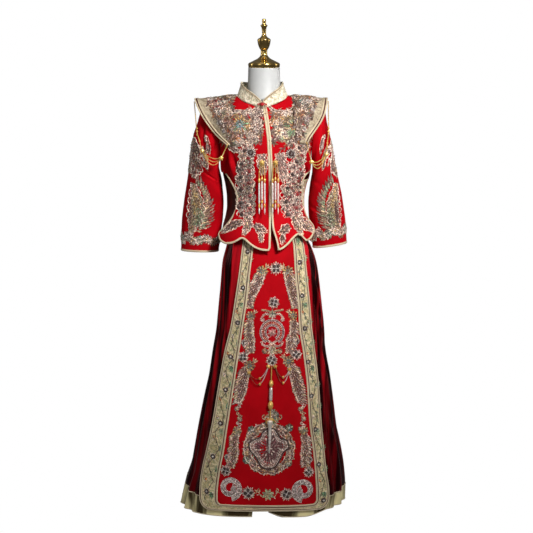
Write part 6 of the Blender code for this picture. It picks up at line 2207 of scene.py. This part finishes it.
def embroider_border():
    """On each side a stem that swings as a sine of the height, sprigs in turn left and right, and flowers."""
    ground = Ground(PANEL_CLOTH.point, PANEL_CLOTH.flat, PANEL_CLOTH.folds, CLOTH + LAY + TRIM)
    for side, flowers in BORDER_FLOWERS.items():
        work = Needle(f"border_flowers_{side}", ground, 40 + SIDES[side])
        z = np.linspace(0.93, 0.075, 34)
        middle, half = middle_half(PANEL(f"outer_{side}", z), PANEL(f"inner_{side}", z))
        half = np.abs(half)
        path = spaced(joined(middle + 0.42 * half * np.sin(z * 62), z), 240)
        work.vine(path, 0.0115, [SAGE * 1.6, STRAW, MOSS * 1.6, STRAW * 0.8], MOSS * 0.3, 0.0024, 1.3, 0.8)
        for number, level in enumerate(np.linspace(0.9, 0.09, 25)):
            reach = 0.45 * (-1) ** (number % 2)
            at = (np.interp(level, z[::-1], (middle + reach * half)[::-1]), level)
            heading = 0.5 * reach + (0.4 if number % 3 else 3.4) + SPRIG_FAN
            size = (0.8 if number % 2 else 1.25) * SPRIG_LEAVES
            work.petals([at] * 4, size, 0.0068, heading, work.shades(4, SPRIG_TINTS[number % 4], 0.3), 0.2)
            work.beads(at, 0.002, PEARL)
        for at in work.spots(flowers):
            work.around(at, 9, 0.007, 0.0058, 0.005, [STRAW * 1.4, SILVER], 0.0, 0.001)
            work.beads(at, 0.0092, DUSK * 0.06, 0.22)
            work.beads(at, 0.0037, PEARL, 1.3)
        work.done()


# The layout of each front: pixels, half widths along a path, and for accents a reach in pixels and tints
CHESTS = {
    "left": {
        "column": (
            "247 147, 245.5 158, 245.5 172, 245.2 186, 246 200, 246 216", (3, 6.5, 8.5, 8.5, 8.8, 7.6)
        ),
        "sprays": (
            ("243 222, 234 225, 223.5 232", (2.2, 4.2, 1.4)), ("248 215, 248 224, 244 234", (4.0, 4.6, 1.6)),
            ("254.5 224.5, 259.5 228.5, 265.5 231.5", (2.0, 4.4, 1.4)),
            ("259 232, 261 236, 261.5 241", (1.2, 2.6, 1.2)),
            ("230 147, 233 149, 239 151.5", (1.6, 2.4, 1.2)),
        ),
        "fan": ("262 154, 262.5 162, 263 173", (4.0, 5.4, 2.4)),
        "roses": "250.9 152.6, 250.2 166.0",
        "yoke": "264 106, 256 97, 226 96, 206 110, 222 142, 228 150, 243 146, 256 143, 262 147",
        "gap": "238 92, 247 97, 256 104, 256 108, 248 110, 236 110, 231 106",
        "hemmed": "234.5 95, 231 105, 235.5 110.5, 244 111, 252 110, 257 106",
        "stars": "230 120 2.4, 249 135 2.6, 257 131 2.6, 251 115 2.2",
        "head": (240, 124.5),
        "feathers": (GOLD * 1.2, AMBER * 0.9, GOLD * 0.9, GOLD * 1.3, LEAF_GREEN * 2.4),
        "heart": (TEAL * 2.2, SKY * 1.3),
        "wing_stars": "211 100.5 3.0, 218.5 112.5 3.6, 219 122 2.8, 224 131 2.4",
        "accents": (
            (236, 120, 8, (GOLD * 0.9, AMBER * 0.5, SAGE)), (247, 126, 5, (AMBER * 0.8, GOLD)),
            (257, 120, 5, (DUSK, SILVER)), (243, 136, 7, (SILVER, STRAW * 0.6)),
            (231.5, 135.5, 3.6, (SKY * 1.3,)),
            (236, 138, 2.2, (AMBER,)), (226, 112, 6, (SILVER * 0.8, AMBER * 0.6, DUSK)),
            (222, 98, 7, (STRAW * 0.5, DUSK, SILVER)),
        ),
    },
    "right": {
        "column": (
            "300.4 144, 299.2 156, 297 170, 292.6 184, 291.4 200, 292 216", (3, 4.4, 7.4, 10, 10.6, 8.6)
        ),
        "sprays": (
            ("299 218, 305 225, 312.5 231", (3.4, 5.0, 1.6)), ("295 216, 297 224, 301 233", (4.0, 4.6, 1.6)),
            ("289.5 226, 285.5 229, 281 233", (2.4, 4.6, 2.2)),
            ("283.5 234, 282.5 238, 282 243", (1.2, 2.8, 1.2)),
            ("304.8 139, 304.4 147, 302.5 155", (3.6, 3.4, 1.6)),
        ),
        "fan": ("280 153, 281.5 164, 284 180", (4.2, 6.4, 2.6)),
        "roses": "290.7 153.6, 291.4 165.8",
        "yoke": "270 106, 277 97, 305 96, 326 110, 311 140, 305 148, 291 146, 282 141, 271 145",
        "gap": "286 91, 278 96, 271 103, 272 108, 278 110, 288 110, 293.5 103",
        "hemmed": "290 94, 293.5 103, 289 110.5, 281 111, 275 110, 270 106",
        "stars": "303 125 2.6, 282 134 2.4, 286 115 2.4, 276 127 2.2",
        "head": (294, 127),
        "feathers": (SAGE * 2.4, LEAF_GREEN * 1.8, SAGE * 2.0, STRAW),
        "heart": (AMBER, GOLD * 1.3),
        "wing_stars": "308.6 101.5 3.2, 306.5 119 3.4, 313 110 2.4, 304 129 2.4",
        "accents": (
            (294.5, 127, 9, (SAGE * 1.8, MOSS * 2.4, LEAF_GREEN)), (276, 121, 4, (AMBER, GOLD)),
            (302.5, 135.4, 3.6, (SKY * 1.3,)), (281, 131, 5.5, (DUSK, STRAW, SILVER)),
            (286, 138, 5, (SAGE * 1.9, STRAW)), (304, 110, 6, (SILVER, AMBER * 0.6, DUSK)),
            (287, 118, 5, (GOLD, STRAW * 0.7)), (298.5, 135.5, 2.2, (AMBER,)),
            (311, 98, 7, (STRAW * 0.5, DUSK, SILVER)),
        ),
    },
}
YOKE = [STRAW * 0.6, SILVER * 0.65, BLUSH * 0.45, STRAW * 0.35, ROSE * 0.4, SAGE * 0.9, AMBER * 0.6]
YOKE_VINES = (
    "258 118, 247 112, 236 118", "262 130, 252 140, 240 138", "232 110, 226 124, 231 140",
    "262 142, 256 128, 250 120", "243 140, 248 146, 254 150",
)
YOKE_CLOUDS = "252 136, 257 123, 229 129, 243 143, 249 114"
# painted shade: the yoke and wing thread is darker at the right, the side the key lamp lights
YOKE_SHADE = {"left": 0.9, "right": 0.6}
WING_ACCENTS = (
    (0.15, 0.03, 0.018, (AMBER * 0.6, SAGE, STRAW * 0.5)), (0.128, 0.055, 0.013, (TEAL, SILVER * 0.7)),
    (0.175, 0.045, 0.016, (AMBER * 0.8, DUSK)), (0.12, 0.095, 0.014, (STRAW * 0.6, AMBER * 0.6)),
    (0.115, 0.02, 0.016, (DUSK, SILVER, GOLD)), (0.15, 0.07, 0.013, (DUSK, STRAW)),
)


def embroider_front(side, table):
    """A column of large flowers with sprays at its foot and a fan beside it, then the round rosette."""
    chest = Needle(f"chest_work_{side}", CHEST, 50 + SIDES[side])
    path, half = table["column"]
    column = chest.line(path, 70)
    tints, tips = [BLUSH, SILVER * 1.1, ROSE * 0.9, SILVER], [SILVER * 1.2, BLUSH * 1.2]
    chest.body(column, half, tints, tips, 0.01, 0.7, DUSK * 0.6, 0.5, eyes=0.9)
    for number, share in enumerate(np.linspace(0.04, 0.97, 11)):
        turn = (-1) ** number
        wide = turn * np.interp(share, np.linspace(0, 1, 6), half) * PX
        at = column[int(share * 69)] + (0.45 * wide, 0.0)
        tint = (BLUSH, SILVER, STRAW, ROSE, SAGE * 1.8)[number * 2 % 5]
        chest.blossom(at, (0.0205, 0.0165, 0.0185)[number % 3], tint, 5 + number % 3, 0.4 * number)
        for reach, down, radius in ((0.95, 0.006, 0.0078), (0.3, 0.015, 0.0046)):
            chest.beads(at - (reach * wide, down), radius, (DUSK * 0.12, RED_GROUND)[number % 2], 0.46)
        chest.cloud(at + (0.25 * wide, 0.012), 0.012, SILVER, turn)
    for path, half in table["sprays"]:
        tints = [SILVER, STRAW, BLUSH]
        chest.body(chest.line(path), half, tints, tints, 0.0115, 0.5, lobe=0.016)
    path, half = table["fan"]
    tints, tips = [BLUSH * 1.2, SILVER], [BLUSH * 1.2, SILVER * 1.2]
    chest.body(chest.line(path), half, tints, tips, 0.011, 0.6, ROSE * 0.5, 1.0, 0.018)
    chest.done(f"chest_flowers_{side}")

    button = Needle(f"chest_rose_{side}", CHEST, 52)
    upper, lower = button.spots(table["roses"])
    button.rosette(upper, 0.0165, 0.0034)
    button.flower(lower, 0.012, [MAGENTA, ROSE * 0.6], DUSK, 8)
    button.done(f"chest_rosette_{side}")


def embroider_yoke(side, table, threads):
    """Flower work round a bare place whose edge is braided, with vines, clouds, stars and a bird's head."""
    sign = SIDES[side]
    mirror = None if side == "left" else 534.5
    yoke = Needle(f"yoke_work_{side}", CHEST, 54 + sign)
    accents = [(yoke.spot(x, y), reach * PX, hues) for x, y, reach, hues in table["accents"]]
    gap = yoke.spots(table["gap"])
    middle = gap.mean(0)
    yoke.fill(yoke.spots(table["yoke"]), threads, accents, middle + 1.2 * (gap - middle), 0.36)
    braid = middle + 1.12 * (yoke.line(table["hemmed"], 40) - middle)
    yoke.body(braid, (0.9, 1.3, 1.3, 0.9), YOKE, [SILVER, STRAW], 0.0085, 0.6, DUSK, 0.5, 0.012)
    for x, y, size in rows_of(table["stars"], 3, 1):
        yoke.star(yoke.spot(x, y), size * PX)
    at = yoke.spot(*table["head"])
    # painted shadow: the first ring is a larger dark copy of the feathers, under them
    for count, reach, length, width, tints, high in (
        (15, 0.009, 0.027, 0.0092, [DUSK], 0.0022), (15, 0.009, 0.0245, 0.007, table["feathers"], 0.003),
        (9, 0.003, 0.014, 0.0066, table["heart"], 0.0036),
    ):
        yoke.around(at, count, reach, length, width, tints, 0.2, high)
    yoke.beads(at, 0.0036, PEARL)
    tints = [threads[1] * 1.3, threads[0] * 1.3, AMBER * 0.5, BLUSH * 0.7]
    for path in YOKE_VINES:
        yoke.vine(yoke.line(path, mirror=mirror), 0.0135, tints, DUSK, 0.0034, 0.5, 0.9)
    for at in yoke.spots(YOKE_CLOUDS, mirror):
        yoke.cloud(at, 0.018, SILVER * 0.8, sign)
    yoke.done()


def embroider_wing(side, table, threads):
    """The yoke's flower work on both faces of a wing, inside its ribs."""
    sign = SIDES[side]
    wing = Needle(f"wing_work_{side}", WINGS, 56 + sign)
    foot = WING[side].stops[-1] - WING_ROUND + WING_TURN * math.pi / 2
    for face in (-1, 1):
        way = np.linspace(0.004, foot - 0.003, 14)
        inner = 0.101 + 0 * way
        z = wing_point(sign * inner, face * way)[:, 2]
        inset = np.interp(way, (0, 0.04, 0.09, 0.16), (0.02, 0.027, 0.024, 0.018))
        outer = WING[side]("outer", RIDGE("z", inner) - z) - WING_BAND - inset
        outer = np.maximum(outer, inner + 0.002)
        turned = np.array([sign, face])
        outline = np.concatenate([joined(inner, way), joined(outer, way)[::-1]]) * turned
        accents = [((x, y) * turned, reach, hues) for x, y, reach, hues in WING_ACCENTS]
        wing.fill(outline, threads, accents, bare=0.42)
        for x, y, size in rows_of(table["wing_stars"], 3, 1):
            place = wing.spot(x, y)
            wing.star((place[0], face * abs(place[1])), size * PX)
        for place in ((0.165, 0.03), (0.14, 0.06), (0.122, 0.09)):
            wing.cloud(place * turned, 0.018, SILVER, sign)
    wing.done()


def embroider_chest():
    """Both fronts, yokes and wings; the yoke and wing thread is darker at the right than at the left, as painted
    shade.
    """
    for side, table in CHESTS.items():
        threads = [tint * YOKE_SHADE[side] for tint in YOKE]
        embroider_front(side, table)
        embroider_yoke(side, table, threads)
        embroider_wing(side, table, threads)


# The right sleeve's motifs are the left one's, turned over
SLEEVE_MIRROR = {"left": None, "right": 529.5}
PHOENIX_BACK = "196 184, 201.5 193, 203.5 205, 202 217, 197 228"
SLEEVE_CLOUDS = (
    ("193 139, 197 147, 193 155, 197 163, 193 175", (3.0, 6.4, 5.4, 6.4, 2.8)),
    ("205 138, 208.5 143, 208 151", (1.6, 3.6, 2.4)), ("200 152, 205 158, 206 168", (2.0, 3.4, 1.6)),
    ("188 146, 188 158, 189 170", (3.0, 4.6, 2.0)),
)
CLOUD_SPOTS = "191 145, 201 149, 189 156, 200 161, 190 168, 206 142, 205 154"


def embroider_sleeves():
    """A bird, clouds and a garland round the cuff on each sleeve."""
    for side, sign in SIDES.items():
        embroider_bird(side, sign, SLEEVE_MIRROR[side])
        embroider_clouds(side, sign, SLEEVE_MIRROR[side])
        embroider_cuff(side, sign)


def embroider_bird(side, sign, mirror):
    """A phoenix: two fans of feathers that open down its back, and its body in three layers."""
    bird = Needle(f"sleeve_phoenix_{side}", SLEEVES[side], 60 + sign)
    for rows, reach, long, wide, tints, high in (
        (17, 0.01, 0.034, 0.0098, PLUME, 0.0014),
        (19, 0.002, 0.026, 0.0092, [PLUME[1], STRAW, SAGE * 1.8], 0.0022),
    ):
        heading = -sign * np.linspace(0.3, 1.45, rows)
        feet = bird.line(PHOENIX_BACK, rows, mirror) + reach * ray(heading)
        size = long * (0.8 + 0.4 * bird.draw(rows))
        # painted shadow: a larger dark copy under each feather
        for share, tint in ((1.25, DUSK * 0.7), (1.0, bird.shades(rows, tints, 0.25) * 1.15)):
            bird.petals(feet, size * share**0.3, wide * share, heading, tint, sign * 0.3, high * share**-2)
    core = bird.line("194 183, 195 194, 195.6 207, 194.4 220, 191 230", 50, mirror)
    tints, tips = [STRAW, GOLD, BLUSH * 0.7], [SILVER, BLUSH]
    bird.body(core, (3.0, 6.8, 8.0, 7.4, 3.0), tints, tips, 0.01, 0.6, grains=0.2)
    middle = bird.line("195 190, 197 200, 198 212", 30, mirror)
    tints, tips = [GOLD * 1.2, GOLD, STRAW], [STRAW, SAGE * 1.8]
    bird.body(middle, (3.0, 5.6, 4.0), tints, tips, 0.01, 0.5, GOLD * 0.3, 0.2, 0)
    inner = bird.line("199 208, 199 216, 196 224", 12, mirror)
    tints, tips = [LEAF_GREEN * 1.6, SAGE * 1.8], [SAGE * 2, MOSS * 3]
    bird.body(inner, (2.4, 4.6, 2.6), tints, tips, 0.01, 0.5, MOSS, 0.2, 0)
    bird.vine(bird.line("188 233, 195 231.5, 203 228", 16, mirror), 0.013, [SILVER, STRAW], STRAW, 0.003)
    bird.done(f"sleeve_bird_{side}")


def embroider_clouds(side, sign, mirror):
    """Four leafy paths over the bird, with clouds and blossoms in turn."""
    cloud = Needle(f"sleeve_clouds_{side}", SLEEVES[side], 62 + sign)
    tints, tips = [STRAW * 0.8, BLUSH * 0.8, SILVER], [SILVER, BLUSH]
    for path, half in SLEEVE_CLOUDS:
        cloud.body(cloud.line(path, 40, mirror), half, tints, tips, 0.0115, 0.6, eyes=0.7)
    for number, at in enumerate(cloud.spots(CLOUD_SPOTS, mirror)):
        if number % 2:
            cloud.cloud(at, 0.0165, SILVER, -sign)
        else:
            cloud.blossom(at, 0.017, (GOLD * 1.5, BLUSH, STRAW)[number // 2 % 3], 6)
    cloud.done()


def embroider_cuff(side, sign):
    """A garland round the cuff, whose path is a sine of the way round, with sixteen flowers."""
    garland = Needle(f"cuff_garland_{side}", SLEEVES[side], 64 + sign)
    u = np.linspace(-math.pi, math.pi, 140)[:-1] * SLEEVE_ROUND
    path = joined(u, -SLEEVE_LENGTH * 0.935 + 0.0045 * np.sin(u * 110))
    garland.body(path, (1.3, 1.3), [STRAW * 0.8, SILVER], LEAFY, 0.0125, 0.9, DUSK, 0.6, 0.02)
    for number, at in enumerate(spaced(path, 17)[:-1]):
        tints = ([SILVER, BLUSH], [STRAW, AMBER * 0.8], [SAGE * 1.8, TEAL * 1.4])[number % 3]
        garland.flower(at, 0.0125, tints, BRASS if number % 2 else DUSK, 8)
        garland.cloud(at + (0.01, 0.008 * (-1) ** number), 0.0095)
    garland.done()


def embroider_back():
    """The back is finished more plainly: a round of flowers with four clouds, and a garland over the hem."""
    work = Needle("back_work", BACK_CLOTH, 70)
    turn = np.linspace(0, 2 * math.pi, 81)
    centre = np.array([0.0, -0.215])
    for reach, leaf in ((0.05, 0.017), (0.034, 0.013)):
        work.vine(centre + reach * ray(turn), leaf, LEAFY, DUSK, 0.002, 0.42, 1.0)
    work.flower(centre, 0.026, [BLUSH, SILVER, ROSE], BRASS, 10)
    for sign in (-1, 1):
        work.cloud(centre + (sign * 0.082, 0.02), 0.021, SILVER, sign)
        work.cloud(centre + (sign * 0.06, -0.075), 0.018, SILVER, -sign)
    u = np.linspace(-0.125, 0.125, 90)
    path = joined(u, -0.498 + 0.006 * np.sin(u * 90))
    work.vine(path, 0.015, LEAFY, DUSK, 0.0018, 0.42, 0.95)
    for number, at in enumerate(spaced(path, 12)):
        work.flower(at, 0.012, ([SILVER, BLUSH], [STRAW, AMBER * 0.8])[number % 2])
    work.done()


# The room

SKY_LIGHT = 0.14
FLOOR_REACH = 40.0
SENSOR = 36.0
# Each lamp's place, width and height, power, how wide it spreads in degrees and the height it aims at
LAMPS = {
    "key": ((0.9, -1.9, 2.3), (0.5, 0.5), 10.2, 60, 1.02),
    "fill": ((-1.4, -2.2, 1.8), (0.7, 1.2), 6.0, 180, 1.2),
    "overhead": ((0.0, 0.1, 3.2), (1.2, 1.2), 4.0, 180, 1.2),
    "rim_left": ((-2.2, 0.4, 1.9), (0.3, 1.6), 7.0, 180, 1.2),
    "rim_right": ((2.2, 0.4, 1.9), (0.3, 1.6), 7.0, 180, 1.2),
}


def seen_or_cast(tree, seen, cast, end):
    """One shader where the camera looks and another for the light that it gives."""
    blend, path = tree.nodes.new("ShaderNodeMixShader"), tree.nodes.new("ShaderNodeLightPath")
    tree.links.new(path.outputs["Is Camera Ray"], blend.inputs[0])
    tree.links.new(cast.outputs[0], blend.inputs[1])
    tree.links.new(seen.outputs[0], blend.inputs[2])
    tree.links.new(blend.outputs[0], end.inputs[0])


def floor_finish():
    """A floor that shows as the same white as the room and throws back a little light."""
    material = bpy.data.materials.new("pale floor")
    material.use_nodes = True
    tree = material.node_tree
    glow = tree.nodes.new("ShaderNodeEmission")
    tree.nodes["Principled BSDF"].inputs["Base Color"].default_value = (0.45, 0.45, 0.45, 1)
    seen_or_cast(tree, glow, tree.nodes["Principled BSDF"], tree.nodes["Material Output"])
    return material


def build_stage():
    """A pale floor, two soft lamps from the front and one from each side, and the photographer's camera."""
    mesh = bpy.data.meshes.new("floor")
    corners = [(x * FLOOR_REACH, y * FLOOR_REACH, 0) for x, y in ((-1, -1), (1, -1), (1, 1), (-1, 1))]
    mesh.from_pydata(corners, [], [(0, 1, 2, 3)])
    floor = bpy.data.objects.new("floor", mesh)
    bpy.context.scene.collection.objects.link(floor)
    floor.location.z = -0.0005
    mesh.materials.append(floor_finish())
    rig.stage(floor)
    world = bpy.data.worlds.new("soft sky")
    world.use_nodes = True
    tree = world.node_tree
    seen, cast = tree.nodes["Background"], tree.nodes.new("ShaderNodeBackground")
    for background, strength in ((seen, 1.0), (cast, SKY_LIGHT)):
        background.inputs["Color"].default_value = (1.0, 1.0, 1.0, 1)
        background.inputs["Strength"].default_value = strength
    seen_or_cast(tree, seen, cast, tree.nodes["World Output"])
    bpy.context.scene.world = world
    for name, (place, size, power, spread, aim) in LAMPS.items():
        light = bpy.data.lights.new(name, "AREA")
        light.shape = "RECTANGLE"
        light.size, light.size_y = size
        light.energy = power
        light.spread = math.radians(spread)
        lamp = bpy.data.objects.new(name, light)
        lamp.location = place
        way = Vector((0, 0, aim)) - Vector(place)
        lamp.rotation_euler = way.to_track_quat("-Z", "Y").to_euler()
        bpy.context.scene.collection.objects.link(lamp)
    camera = bpy.data.cameras.new("photographer")
    camera.sensor_width = SENSOR
    camera.lens = FOCAL_PIXELS / FRAME_PIXELS * SENSOR
    stand = bpy.data.objects.new("photographer", camera)
    stand.location = CAMERA
    stand.rotation_euler = (math.pi / 2 - PITCH, 0, 0)
    bpy.context.scene.collection.objects.link(stand)
    bpy.context.scene.camera = stand
    bpy.context.scene.view_settings.view_transform = "Standard"


build_form()
build_jacket_body()
build_linings()
build_sleeves()
build_collar()
build_wings()
build_waistband()
build_satin()
build_front_panel()
embroider_coins()
embroider_bat()
embroider_ring()
embroider_birds()
embroider_peony()
embroider_foot()
embroider_border()
embroider_chest()
embroider_sleeves()
embroider_back()
build_chest_tassels()
build_shoulder_swags()
build_skirt_beads()
build_stage()
with open("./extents.json", "w") as sizes:
    boxes = {"cad": cad_box, "visual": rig.bounds()}
    json.dump({name: [[float(v) for v in corner] for corner in box] for name, box in boxes.items()}, sizes)
